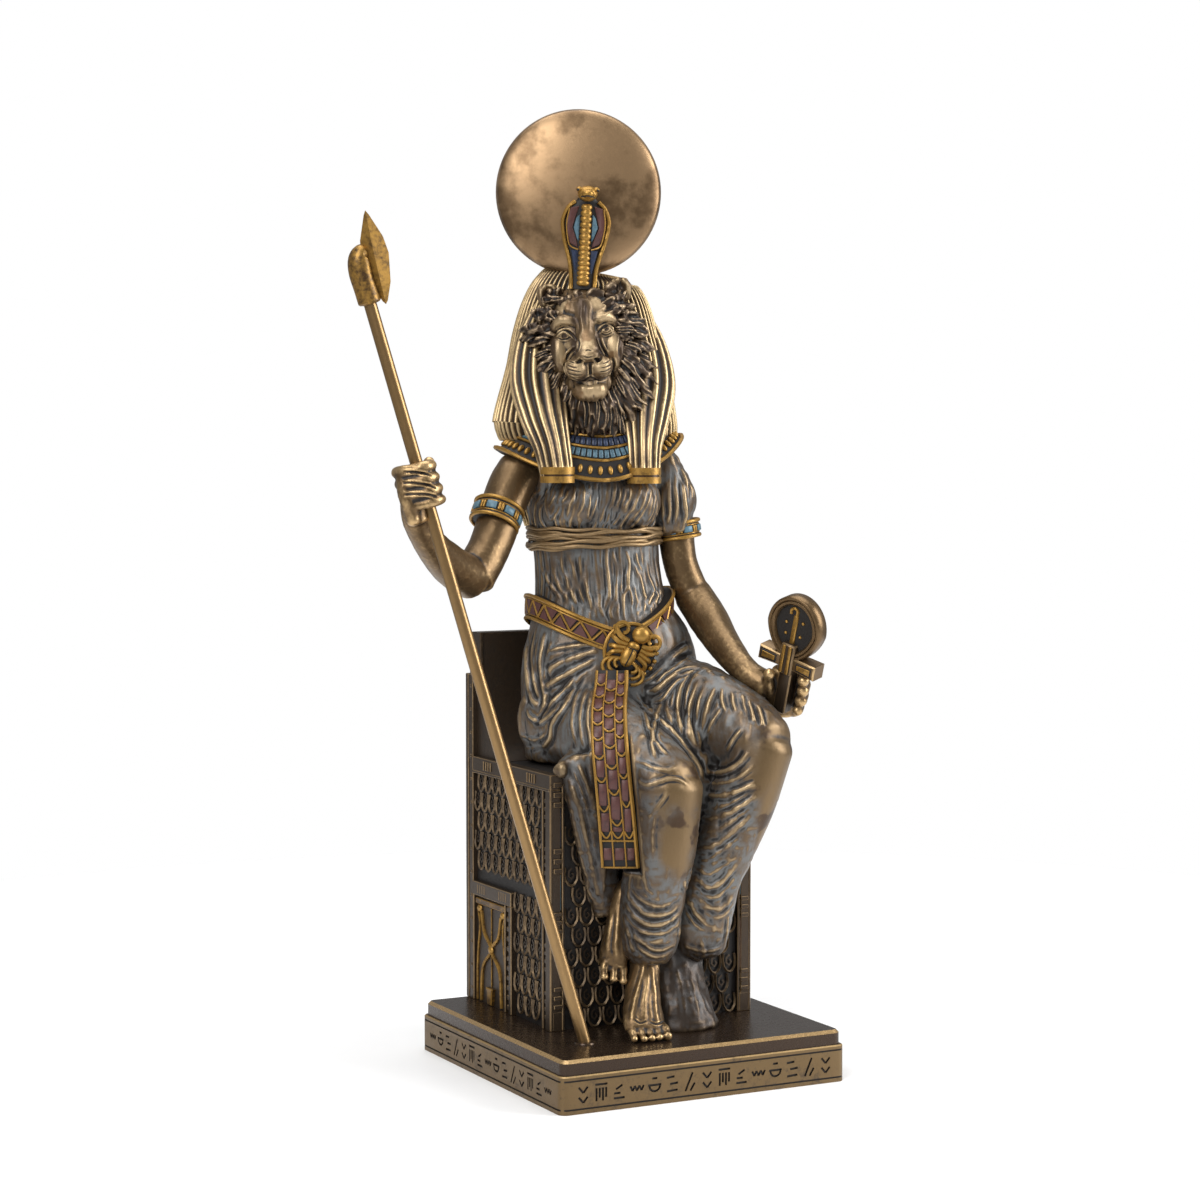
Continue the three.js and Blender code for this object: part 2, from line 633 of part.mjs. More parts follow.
// Thighs, knees and shins under the skirt, with its hanging and gathered folds.
function skirt() {
  const ripple = (count, depth, from) => (t, angle) => (
    t < from ? 1 : 1 + depth * Math.sin(count * angle + 9 * t)
  );
  const rightThigh = limb(
    [
      [-11, 20, 104, 16.5, 16], [-8.5, -1, 98, 13.8, 14], [-5, -18, 91, 11.8, 12.2],
      [-1.9, -27.8, 84.8, 10.8, 11],
    ],
    { sides: 9, steps: 4 },
  );
  const rightShin = limb(
    [
      [-1.8, -26.8, 87, 10.6, 10.5], [-3, -26.2, 70, 9.8, 10.2], [-5, -24, 54, 9.2, 9.4],
      [-5, -22.5, 42, 8.6, 8.4], [-4.6, -22, 38, 7.6, 7.4],
    ],
    { sides: 9, steps: 4, carve: ripple(4, 0.045, 0.45), tips: 0.2 },
  );
  const leftThigh = limb(
    [
      [13, 20, 107, 16, 16], [19, -4, 105.5, 14.4, 14.2], [25, -20, 101, 11.8, 12.4],
      [28.2, -30, 96, 10.2, 10.4],
    ],
    { sides: 9, steps: 4 },
  );
  const leftShin = limb(
    [
      [28.2, -29, 97.5, 9.6, 10], [24, -26.5, 80, 9.8, 10.6], [17.4, -21.5, 60, 9.8, 10.2],
      [13.4, -19.5, 45, 9.4, 9.4], [12.6, -19.2, 38, 8.4, 8.2],
    ],
    { sides: 9, steps: 4, carve: ripple(4, 0.05, 0.3), tips: 0.2 },
  );
  const lap = blob(frameAt([7.5, -6, 98], 0), [0, 0, 0], [15, 17, 10], { around: 7, rows: 4 });
  const between = limb(
    [[9.5, -14, 94, 15, 9], [8, -15, 70, 13, 8], [5, -15.5, 50, 12, 7], [4, -15, 39, 10, 6]],
    { sides: 10, steps: 2, carve: (t, angle) => 1 + 0.07 * Math.cos(5 * angle), tips: 0 },
  );
  const besideSeat = limb(
    [
      [-19, -9, 93, 9, 7], [-18.5, -14, 80, 8.2, 4.4], [-16.5, -14, 62, 6.0, 3.8],
      [-14.5, -13, 48, 3.4, 3.0],
    ],
    { sides: 10, steps: 3, carve: (t, angle) => 1 + 0.12 * Math.cos(5 * angle), tips: 0 },
  );
  const roll = limb([[-29.8, -13.4, 90.6, 2.1], [-18, -4, 94, 3.2]], { sides: 5, steps: 1, tips: 0 });
  const crests = [
    [[[-12, 1.6, 116.5], [-17.5, -1, 108.4], [-20.8, -5, 100.8]], 1.4],
    [[[12, 0, 121], [21, -8, 118.5], [26, -18, 112]], 1.4],
    [[[-14, -25, 56], [-6, -33.4, 49], [3, -27, 52]], 1.2],
    [[[8, -27, 58], [15, -31, 51], [24.5, -24, 58]], 1.2],
  ].map(([points, width]) => fold(points, 1.25 * width));
  return [rightThigh, rightShin, leftThigh, leftShin, lap, between, besideSeat, roll, ...crests];
}

// Feet, and the fall of cloth that stands on the plinth behind the right foot.
function feet() {
  const right = limb(
    [
      [-5.6, -19.6, 42, 4.4, 4.4], [-6.2, -21.4, 33, 4.3, 4.8], [-9, -25.6, 25, 5.4, 4.6],
      [-11.2, -30.6, 19.5, 6.2, 3.4], [-12, -33.2, 17.6, 6.0, 2.2],
    ],
    { sides: 7, steps: 4, tips: 0 },
  );
  const toes = [];
  for (let i = 0; i < 5; i += 1) {
    const x = -16.8 + i * 2.5;
    const size = 1.1 + (i === 4 ? 0.35 : 0);
    const short = i === 0 ? 1.2 : 0;
    toes.push(limb(
      [[x + 0.6, -31.8, 18.2, size], [x, -36.6 + short, 16.2, 0.9 * size]],
      { sides: 4, steps: 1, tips: 0 },
    ));
  }
  const heel = blob(frameAt([-5.6, -17.5, 27], 15), [0, 0, 0], [4.2, 5, 5.5], { around: 6, rows: 3 });
  const leftFoot = limb(
    [
      [0, -16, 60, 6, 5], [-9, -15.6, 54, 4.2, 4.2], [-11.6, -16.2, 46, 3.8, 4.4],
      [-13.4, -17.4, 39, 4.4, 4.2], [-15.4, -18.6, 34, 4.2, 2.6],
    ],
    { sides: 6, steps: 3, tips: 0 },
  );
  const leftToes = [0, 1, 2].map((i) => limb(
    [
      [-17.4 + i * 2.5, -18.2 - 1.0 * i, 35.6 - 0.5 * i, 1.2],
      [-18.6 + i * 2.6, -20.2 - 1.0 * i, 31.4 - 0.7 * i, 1.1],
    ],
    { sides: 4, steps: 1, tips: 0 },
  ));
  const fall = limb(
    [[5.5, -15, 44, 9, 5], [6.2, -17.6, 30, 8.6, 6], [6.4, -20, 20, 9.8, 8.4], [6.8, -21, 14, 11.2, 9.8]],
    { sides: 10, steps: 3, carve: (t, angle) => 1 + 0.07 * Math.cos(5 * angle + 1), tips: 0 },
  );
  return [right, ...toes, heel, leftFoot, ...leftToes, fall];
}

const RIGHT_FIST = [-73.3, -17.6, 172.2];
const STAFF_FOOT = [-29.0, -28.5, 15];

// Upper arms, forearms, armlets and the sleeve over the left shoulder.
function arms() {
  const limbs = [
    [[-25, 21, 176.5, 6.8], [-30.5, 18.5, 169.5, 6.8], [-38.6, 13.0, 155, 6.2], [-46.0, 9.4, 145.4, 6.4]],
    [
      [-46.4, 9.2, 145.2, 6.2], [-55.1, 4, 149.2, 5.9], [-64.9, -4, 155.6, 4.7],
      [-72.6, -11.0, 162.4, 3.7], [-75, -14.8, 168, 4.0],
    ],
    [[16.5, 15.5, 178, 6.0], [21.4, 13.5, 167, 5.8], [24.0, 12.5, 149, 5.2], [27.4, 11, 138.6, 5.6]],
    [
      [27.8, 11.2, 138.4, 5.8], [29, 4, 131.7, 5.9], [29, -6, 124.3, 5.0],
      [30.2, -17, 117.1, 4.0], [34, -22.5, 113.4, 4.2],
    ],
  ].map((stations) => limb(stations, { sides: 7, steps: 3, tips: 0.35 }));
  const sleeve = limb(
    [
      [14.5, 16, 183, 4.6, 6.6], [17.8, 14.4, 176, 6.4, 7.8], [20.6, 13.2, 168, 8.0, 8.6],
      [20.4, 13, 163, 7.4, 8.0], [21.4, 13, 158, 6.4, 7.0],
    ],
    { sides: 10, steps: 2, carve: (t, angle) => 1 + 0.07 * Math.cos(5 * angle), tips: 0.25 },
  );
  const armlets = [
    [[-34.4, 16.0, 165.4, 7.1], [-37.0, 14.4, 160.6, 6.9]],
    [[23.2, 13.2, 160.4, 6.6], [23.8, 13.0, 155.8, 6.4]],
  ].map((stations) => limb(stations, { sides: 8, steps: 1, tips: 0 }));
  return [...limbs, sleeve, ...armlets];
}

// A hand closed on a rod: a palm, four stacked fingers and a thumb. rod is the rod's direction, palm
// points from the rod to the palm, hand is the side that the fingers leave from, and wrap is the
// share of the way round the rod that they reach.
function fist(centre, rod, palm, hand, wrap) {
  const up = new THREE.Vector3(...rod).normalize();
  const back = new THREE.Vector3(...palm);
  back.addScaledVector(up, -back.dot(up)).normalize();
  const side = up.clone().cross(back).multiplyScalar(hand);
  const point = (a, b, c) => [0, 1, 2].map(
    (k) => centre[k] + a * side.getComponent(k) + b * back.getComponent(k) + c * up.getComponent(k),
  );
  const across = back.toArray();
  const parts = [limb(
    [
      [...point(-0.4, 3.6, -8.4), 2.8, 4.4], [...point(-0.2, 3.8, -1), 3.2, 5.2],
      [...point(0, 3.4, 6.0), 2.8, 4.4],
    ],
    { sides: 6, steps: 2, across, tips: 0.3 },
  )];
  const reach = [[3.4, 5.8, 1], [5.2, 1.2, 1], [4.2, -2.8, 1], [0.6, -4.2, 0.85]];
  for (let i = 0; i < 4; i += 1) {
    const level = 6.4 - i * 3.7;
    const thick = i === 3 ? 1.55 : 1.8;
    const stations = reach.slice(0, 2 + Math.round(2 * wrap)).map(
      ([a, b, share], k) => [...point(a - (k ? 0 : 0.8), b, level - 0.2 * k), thick * share],
    );
    parts.push(limb(stations, { sides: 4, steps: 3, across: rod, tips: 0 }));
  }
  parts.push(limb(
    [[...point(-4.0, 3.2, -2.0), 2.2], [...point(-5.2, 0.4, 2.8), 2.0], [...point(-5.4, -2.0, 6.4), 1.6]],
    { sides: 5, steps: 2, across, tips: 0 },
  ));
  return parts;
}

// The looped cross held upright in the left fist, with a thick rim around a sunk field.
const CROSS_UP = new THREE.Vector3(-0.036, -0.374, 0.926).normalize();
const CROSS_ACROSS = new THREE.Vector3(0.441, -0.838, -0.322).normalize();
const LEFT_FIST = [37.2, -26.8, 111.4];

function loopedCross() {
  const facing = CROSS_ACROSS.clone().cross(CROSS_UP).normalize();
  const place = (base) => (u, v, w) => at(36.9, -34.3, 131.0)
    .addScaledVector(CROSS_ACROSS, u * U)
    .addScaledVector(CROSS_UP, v * U)
    .addScaledVector(facing, (w + base) * U)
    .toArray();
  const oval = (wide, tall, count) => Array.from({ length: count }, (_, i) => {
    const angle = 2 * Math.PI * i / count;
    const pinch = Math.sin(angle) < 0 ? 1 + 0.18 * Math.sin(angle) : 1;
    return [wide * pinch * Math.cos(angle), tall * Math.sin(angle)];
  });
  const rim = plate(oval(9.1, 10.0, 16), 4.6, place(-2.3));
  const fields = [1.3, -3.3].map((base) => plate(oval(6.4, 7.3, 10), 2, place(base)));
  const arms = [-1, 1].map((hand) => plate(
    [[-0.4 * hand, -12.2], [hand * 9.8, -12.8], [hand * 9.8, -8.4], [-0.4 * hand, -8.6]],
    5.2,
    place(-2.6),
  ));
  const stem = plate(rectangle(-2.1, -27, 2.1, -6), 4.0, place(-2.0));
  const crook = plate(rectangle(-0.8, -8, 0.8, 4.2), 2.9, place(-1.3));
  return [rim.subtract(join(fields)), ...arms, stem, crook];
}

// The striped headdress: a ridged hood behind the face that widens to the shoulders, two lappets with
// banded ends in front, and the fall down the back.
function headdress() {
  const stripes = 15;
  const stations = [
    [-1.6, 20.0, 234.2, 7.5, 6],
    [-1.8, 20.5, 231.0, 13.4, 9.4],
    [-1.8, 21.0, 224.0, 17.2, 11.0],
    [-2.0, 21.5, 214.5, 20.0, 11.4],
    [-2.2, 21.5, 205.5, 22.6, 11.6],
    [-2.7, 21.5, 196.5, 25.6, 12.0],
    [-3.4, 21.5, 189.5, 27.0, 12.6],
    [-3.6, 21.5, 186.4, 25.0, 12.0],
  ];
  const hood = limb(stations, {
    sides: 2 * stripes,
    steps: 4,
    across: (t) => turned(HEAD_YAW - 9 * t),
    carve: (t, angle) => 1 + 0.04 * Math.cos(stripes * angle),
    tips: 0,
  });
  const across = [0.96, -0.26, 0];
  const outline = [
    [-1, -1], [1, -1], [1.05, 0.9], [0.6, 0.5], [0.35, 1.3],
    [0, 0.7], [-0.35, 1.3], [-0.6, 0.5], [-1.05, 0.9],
  ];
  const tails = [
    [
      [-18, 20, 220, 5, 4], [-20.5, 18, 212, 7, 4.6], [-22.6, 14.5, 202, 7.8, 4.6],
      [-23.2, 9.4, 192, 6.8, 4.2], [-22.4, 5.4, 183, 5.2, 3.6], [-21.7, 3.4, 174.6, 4.6, 3.2],
    ],
    [
      [10, 15, 220, 5, 4], [11.6, 13, 212, 7, 4.6], [11.2, 9.8, 202, 8.2, 4.6],
      [8.6, 6, 192, 7, 4.2], [6.2, 2.4, 183, 5.2, 3.6], [5.5, 0.8, 174.2, 4.6, 3.2],
    ],
  ];
  const cuffOutline = [[-1, -1], [1, -1], [1, 0.6], [0.6, 1.1], [-0.6, 1.1], [-1, 0.6]];
  const lappets = tails.flatMap((rows) => {
    const [x, y, z, wide, deep] = rows[rows.length - 1];
    const cuff = limb(
      [[x, y, z - 1.6, wide + 0.5, deep + 0.7], [x, y, z + 2.8, wide + 0.5, deep + 0.7]],
      { steps: 1, across, outline: cuffOutline, tips: 0 },
    );
    return [limb(rows, { steps: 4, across, outline, tips: 0 }), cuff];
  });
  const rearFall = limb(
    [[-3, 28, 200, 18, 6], [-3, 31.5, 184, 19, 4.4], [-2, 32.5, 168, 17, 3.4], [-1.6, 32.4, 160, 15, 2.6]],
    { sides: 18, steps: 2, across: turned(12), carve: (t, angle) => 1 + 0.06 * Math.cos(9 * angle), tips: 0 },
  );
  return [hood, ...lappets, rearFall];
}

// How far the lion's face stands forward at a place to the left and up, from a dome with a muzzle,
// nose, brows, cheeks and chin raised on it and eye sockets sunk in it.
function faceDepth(a, c) {
  const bump = (height, left, up, wide, tall) => {
    const u = (Math.abs(a) - left) / wide;
    const v = (c - up) / tall;
    return height * Math.exp(-u * u - v * v);
  };
  const dome = 11.5 * Math.sqrt(Math.max(0.02, 1 - (a / 11.5) ** 2 - ((c - 1) / 18) ** 2));
  return dome - 2.5
    + bump(3.4, 0, 1, 3.0, 7)
    + bump(4.4, 0, -5.5, 3.6, 3.2)
    + bump(3.8, 3.0, -8.2, 3.0, 3.0)
    + bump(2.6, 0, -14, 4.2, 2.2)
    + bump(1.8, 5.4, 7.4, 3.0, 2.0)
    + bump(1.4, 7.6, -2.4, 2.4, 3.4)
    - bump(2.4, 5.6, 3.4, 2.2, 1.6)
    - bump(1.6, 0, -11.4, 5, 0.9);
}

// The lion's head: the face, a dome of mane behind it, the nose, eyes and ears.
function lionHead() {
  const levels = [-17, -14.4, -12.6, -11.2, -9.4, -6.8, -4.2, -1, 2.0, 3.8, 6.6, 10.5, 14.5];
  const columns = [-9.6, -7.6, -5.6, -3.4, -1.4, 1.4, 3.4, 5.6, 7.6, 9.6];
  const sections = levels.map((c) => {
    const slim = 1 - 0.42 * Math.max(0, (-c - 8) / 9) - 0.25 * Math.max(0, (c - 8) / 7);
    const front = columns.map((a) => [a * slim, faceDepth(a * slim, c)]);
    return [...front, [9.6 * slim, -3], [-9.6 * slim, -3]].map(([a, b]) => at(...head.point(a, b, c)));
  });
  const parts = [
    toSolid(new LoftGeometry(sections, { capStart: true, capEnd: true })),
    blob(head, [0, -3.5, -3.0], [17.4, 10.4, 21.5], { around: 12, rows: 6 }),
    lock(head.point(-2.6, 14.6, -3.6), head.point(2.6, 14.6, -3.6), 1.7, 1.7),
  ];
  for (const hand of [-1, 1]) {
    parts.push(blob(head, [hand * 5.7, faceDepth(5.7, 3.1), 3.1], [1.9, 1.3, 1.1], { around: 6, rows: 3 }));
    const ear = blob(head, [hand * 12.2, -0.2, 15.2], [3.9, 2.8, 4.6], { around: 8, rows: 4 });
    const hollow = blob(head, [hand * 12.2, 2.6, 15.4], [2.4, 1.8, 2.8], { around: 5, rows: 3 });
    parts.push(ear.subtract(hollow));
  }
  return parts;
}

// Mane: rings of locks that leave the face and sweep outwards and down, and the beard.
function mane() {
  const locks = [];
  const rings = [[11.0, 13.6, 3.8, 11], [14.6, 17.6, 1.0, 12]];
  rings.forEach(([wide, tall, ahead, count], ring) => {
    for (let i = 0; i < count; i += 1) {
      const angle = 2 * Math.PI * (i + 0.5 * (ring % 2)) / count;
      const c = Math.cos(angle);
      const s = Math.sin(angle);
      if (s > 0.8 && ring > 0) continue;
      const drop = 3.0 + 2.2 * Math.max(0, -s);
      const root = head.point(wide * c, ahead, tall * s - 2.4);
      const tip = head.point((wide + 4.4) * c, ahead - 1.6, (tall + 4.0) * s - 2.4 - drop);
      locks.push(lock(root, tip, 2.6, 2.2));
    }
  });
  for (let i = -2; i <= 2; i += 1) {
    const a = i * 4.6;
    const curve = 0.06 * a * a;
    const root = head.point(a * 0.8, 6.5 - curve, -17 + curve);
    locks.push(lock(root, head.point(a, 4.5 - curve, -27 + 2 * curve), 2.9, 2.3));
  }
  return locks;
}

// The sun disc: a shallow lens with a blunt rim, standing on the crown of the head.
function sunDisc() {
  const profile = [new THREE.Vector2(0, -DISC_THICKNESS / 2)];
  const steps = 3;
  const reach = DISC_RADIUS - 0.6;
  const bulge = (DISC_THICKNESS - DISC_RIM) / 2;
  for (let i = 1; i <= steps; i += 1) {
    const angle = i / steps * Math.PI / 2;
    profile.push(new THREE.Vector2(reach * Math.sin(angle), -DISC_RIM / 2 - bulge * Math.cos(angle)));
  }
  profile.push(new THREE.Vector2(DISC_RADIUS, 0));
  const mirrored = profile.slice(0, -1).reverse().map((p) => new THREE.Vector2(p.x, -p.y));
  const geometry = new THREE.LatheGeometry([...profile, ...mirrored], 22);
  geometry.rotateZ(-THREE.MathUtils.degToRad(HEAD_YAW));
  const centre = at(-8.4, 16.0, 0);
  geometry.translate(centre.x, centre.y, PLINTH_HEIGHT + FIGURE_HEIGHT - DISC_RADIUS);
  return [toSolid(geometry)];
}

// The rearing cobra before the disc: a spread hood, a laddered throat and a small head.
function cobra() {
  const stand = frameAt([-11.6, 8.0, 233], HEAD_YAW - 2);
  const row = (c, b, wide, deep) => [...stand.point(0, b, c), wide, deep];
  const across = stand.left.toArray();
  const hood = limb(
    [
      row(-4, -1, 4.4, 3.2), row(3, 0, 4.9, 1.8), row(10, 0.2, 6.6, 1.4), row(15.5, 0.6, 7.0, 1.4),
      row(20, 1, 4.6, 1.6), row(22.5, 1.6, 2.6, 1.8),
    ],
    { sides: 6, steps: 5, across, tips: 0 },
  );
  const throat = limb(
    [row(-3, 1.0, 2.0, 2.0), row(8, 1.5, 1.9, 1.8), row(17, 2.2, 1.7, 1.7), row(22, 2.8, 1.8, 1.8)],
    { sides: 5, steps: 2, across, tips: 0 },
  );
  const crown = blob(stand, [0, 3.4, 23.9], [2.7, 3.6, 2.3], { around: 6, rows: 3 });
  const brace = limb([row(2, -4, 2.4, 4.0), row(16, -5, 1.8, 4.0)], { sides: 5, steps: 1, across, tips: 0 });
  return [hood, throat, crown, brace];
}

// The staff's axis, from its foot in the plinth through the right fist.
const staffFoot = at(...STAFF_FOOT);
const staffGrip = at(...RIGHT_FIST);
const staffAxis = staffGrip.clone().sub(staffFoot).normalize();

// A round rod along the staff's axis between two distances from its foot.
function staffRod(radius, from, to, sides = STAFF_SIDES) {
  const geometry = new THREE.CylinderGeometry(radius, radius, to - from, sides);
  geometry.applyQuaternion(new THREE.Quaternion().setFromUnitVectors(new THREE.Vector3(0, 1, 0), staffAxis));
  geometry.translate(...staffFoot.clone().addScaledVector(staffAxis, (from + to) / 2).toArray());
  return toSolid(geometry);
}

const shaftTop = staffGrip.distanceTo(staffFoot) + STAFF_REACH_ABOVE_FIST * U;

function staffShaft() {
  return staffRod(STAFF_DIAMETER / 2, -STAFF_SOCKET_DEPTH + STAFF_CLEARANCE, shaftTop);
}

// The staff's head: a hooked sleeve over the shaft's end, carrying a faceted leaf-shaped blade.
function staffHead() {
  const base = staffFoot.clone().addScaledVector(staffAxis, shaftTop - SLEEVE_OVERLAP);
  const ahead = new THREE.Vector3(0.889, -0.459, 0);
  ahead.addScaledVector(staffAxis, -ahead.dot(staffAxis)).normalize();
  const place = (along, out) => base.clone().addScaledVector(staffAxis, along).addScaledVector(ahead, out);
  const radius = SLEEVE_DIAMETER / 2;
  const bend = [
    [0, 0, 1.0], [0.35, 0, 1.02], [0.7, 0.02, 1.05], [0.92, 0.14, 1.0], [1.02, 0.4, 0.85],
  ];
  const sections = bend.map(([along, out, share], i) => {
    const centre = place(along * SLEEVE_LENGTH, out * SLEEVE_DIAMETER);
    const tilt = i < 3 ? 0 : (i - 2) * 0.55;
    const normal = staffAxis.clone().multiplyScalar(Math.cos(tilt)).addScaledVector(ahead, Math.sin(tilt));
    const side = ahead.clone().multiplyScalar(Math.cos(tilt)).addScaledVector(staffAxis, -Math.sin(tilt));
    const other = normal.clone().cross(side);
    return Array.from({ length: 8 }, (_, k) => {
      const angle = 2 * Math.PI * k / 8;
      return centre.clone()
        .addScaledVector(side, share * radius * Math.cos(angle))
        .addScaledVector(other, share * radius * Math.sin(angle));
    });
  });
  const sleeve = toSolid(new LoftGeometry(sections, { capStart: true, capEnd: true }));
  const bladeMiddle = place(SLEEVE_LENGTH * 0.84, SLEEVE_DIAMETER * 0.78);
  const along = new THREE.Vector3(-0.22, 0.03, 0.975).normalize();
  const wide = ahead.clone().addScaledVector(along, -ahead.dot(along)).normalize();
  const thick = along.clone().cross(wide);
  const outline = [[-0.5, 0.06], [-0.28, 0.34], [0.02, 0.5], [0.2, 0.42], [0.5, 0.04]];
  const tip = (share, width, depth) => bladeMiddle.clone()
    .addScaledVector(along, share * BLADE_LENGTH)
    .addScaledVector(wide, width * BLADE_WIDTH)
    .addScaledVector(thick, depth * BLADE_THICKNESS);
  const bladeSections = outline.map(([share, half]) => [
    tip(share, half, 0), tip(share, 0, half), tip(share, -half, 0), tip(share, 0, -half),
  ]);
  const blade = toSolid(new LoftGeometry(bladeSections, { capStart: true, capEnd: true }));
  const bore = staffRod(
    STAFF_DIAMETER / 2 + STAFF_CLEARANCE, shaftTop - SLEEVE_OVERLAP - 1, shaftTop + STAFF_CLEARANCE,
  );
  return sleeve.add(blade).subtract(bore);
}

function statueBody() {
  const boss = new THREE.CylinderGeometry(
    STAFF_BOSS_DIAMETER / 2 - 0.4, STAFF_BOSS_DIAMETER / 2, STAFF_BOSS_HEIGHT + 1, STAFF_SIDES,
  );
  boss.rotateX(Math.PI / 2);
  boss.translate(staffFoot.x, staffFoot.y, PLINTH_HEIGHT + (STAFF_BOSS_HEIGHT - 1) / 2);
  const rightFist = fist(RIGHT_FIST, staffAxis.toArray(), [-0.85, 0.5, 0], 1, 1);
  const leftFist = fist(LEFT_FIST, CROSS_UP.toArray(), [0.5, 0.85, 0.3], -1, 0.4);
  const solids = [
    plinthBody(), throneBody(), toSolid(boss),
    ...torsoBody(), ...bustCord(), ...collar(), ...girdle(), ...sash(), ...skirt(), ...feet(),
    ...arms(), ...rightFist, ...leftFist, ...loopedCross(),
    ...headdress(), ...lionHead(), ...mane(), ...sunDisc(), ...cobra(),
  ];
  const bore = staffRod(
    STAFF_DIAMETER / 2 + STAFF_CLEARANCE, -STAFF_SOCKET_DEPTH, shaftTop + 10,
  );
  return join(solids).subtract(join([...plinthCuts(), bore]));
}

// A named mesh from a solid.
function part(name, solid, material) {
  const { vertProperties, triVerts, numProp } = solid.getMesh();
  const positions = new Float32Array(vertProperties.length / numProp * 3);
  for (let i = 0; i < positions.length / 3; i += 1) {
    for (let k = 0; k < 3; k += 1) positions[3 * i + k] = vertProperties[numProp * i + k];
  }
  const geometry = new THREE.BufferGeometry();
  geometry.setAttribute('position', new THREE.BufferAttribute(positions, 3));
  geometry.setIndex(new THREE.BufferAttribute(Uint32Array.from(triVerts), 1));
  geometry.computeVertexNormals();
  const mesh = new THREE.Mesh(geometry, material);
  mesh.name = name;
  return mesh;
}

const bronze = new THREE.MeshStandardMaterial({ color: 0x6b5236, roughness: 0.42, metalness: 0.7 });
const satinBronze = new THREE.MeshStandardMaterial({ color: 0x8a6f4c, roughness: 0.35, metalness: 0.75 });
const oldGold = new THREE.MeshStandardMaterial({ color: 0x9a7430, roughness: 0.4, metalness: 0.75 });

const statue = new THREE.Group();
statue.add(part('statue', statueBody(), bronze));
statue.add(part('staff_shaft', staffShaft(), satinBronze));
statue.add(part('staff_head', staffHead(), oldGold));

export default statue;
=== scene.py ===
"""A lion-headed goddess on her throne: the looks of a cold-cast bronze figure with painted inlays.

Sizes are in millimetres in the part's own frame, +Z up and -Y towards the figure's front. A piece is
turned into metres when it is placed.
"""

from __future__ import annotations

import logging
import math
from dataclasses import dataclass, field
from enum import Enum
from typing import Callable, Sequence

import bmesh
import bpy
import numpy as np
from mathutils import Matrix, Vector
from mathutils.bvhtree import BVHTree

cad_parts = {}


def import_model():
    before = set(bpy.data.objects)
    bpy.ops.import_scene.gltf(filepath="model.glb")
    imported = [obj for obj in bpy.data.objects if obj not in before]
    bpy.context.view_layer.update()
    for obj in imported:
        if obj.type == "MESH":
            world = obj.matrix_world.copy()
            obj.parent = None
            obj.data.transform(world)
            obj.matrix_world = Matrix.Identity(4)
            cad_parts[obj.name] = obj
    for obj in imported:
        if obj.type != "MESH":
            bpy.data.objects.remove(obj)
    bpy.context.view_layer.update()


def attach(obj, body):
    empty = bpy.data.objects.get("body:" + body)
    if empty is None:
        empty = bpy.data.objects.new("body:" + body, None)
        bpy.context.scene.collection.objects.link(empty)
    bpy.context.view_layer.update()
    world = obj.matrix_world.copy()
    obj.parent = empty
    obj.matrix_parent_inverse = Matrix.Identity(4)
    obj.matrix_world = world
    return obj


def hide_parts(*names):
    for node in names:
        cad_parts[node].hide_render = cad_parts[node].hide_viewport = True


Array = np.ndarray
Triple = tuple[float, float, float]
Pixel = tuple[float, float]
Shape = Callable[[Array, Array], Array]

log = logging.getLogger("figure")

MM = 0.001
TAU = 2 * math.pi
WELD = 0.002
MOST_GAP = 4.0


def unit(vectors: Array) -> Array:
    """Scales vectors to length one.

    Args:
        vectors: One vector, or one in each row.

    Returns:
        The same directions with length one.
    """
    length = np.linalg.norm(vectors, axis=-1, keepdims=True)
    return vectors / np.maximum(length, 1e-9)


def spline(stations: Array, shares: Array) -> Array:
    """Follows a smooth curve through the stations.

    Args:
        stations: One station in each row.
        shares: Places along the curve, from 0 to 1.

    Returns:
        The station at each share.
    """
    last = len(stations) - 1
    padded = np.vstack([2 * stations[0] - stations[1], stations, 2 * stations[-1] - stations[-2]])
    step = np.clip(shares, 0, 1) * last
    low = np.minimum(step.astype(int), last - 1)
    f = (step - low)[:, None]
    a, b, c, d = (padded[low + k] for k in range(4))
    return 0.5 * (2 * b + (c - a) * f + (2 * a - 5 * b + 4 * c - d) * f**2 + (3 * b - a - 3 * c + d) * f**3)


def smooth_step(values: Array, low: float, high: float) -> Array:
    """Rises smoothly from 0 at low to 1 at high."""
    x = np.clip((values - low) / (high - low), 0, 1)
    return x * x * (3 - 2 * x)


def turned(degrees: float | Array) -> Array:
    """A level direction across the body, turned by some degrees to the figure's right."""
    angle = np.radians(degrees)
    return np.stack([np.cos(angle), -np.sin(angle), np.zeros_like(angle)], axis=-1)


def plane(origin: Sequence[float], across: Sequence[float], rise: Sequence[float]) -> Matrix:
    """A frame on a surface.

    Args:
        origin: Its origin.
        across: Its first axis.
        rise: About its second axis.

    Returns:
        The frame, with its third axis outwards.
    """
    u = unit(np.array(across, float))
    w = unit(np.cross(u, rise))
    axes = Matrix([list(u), list(np.cross(w, u)), list(w)])
    return Matrix.Translation(Vector(origin)) @ axes.transposed().to_4x4()


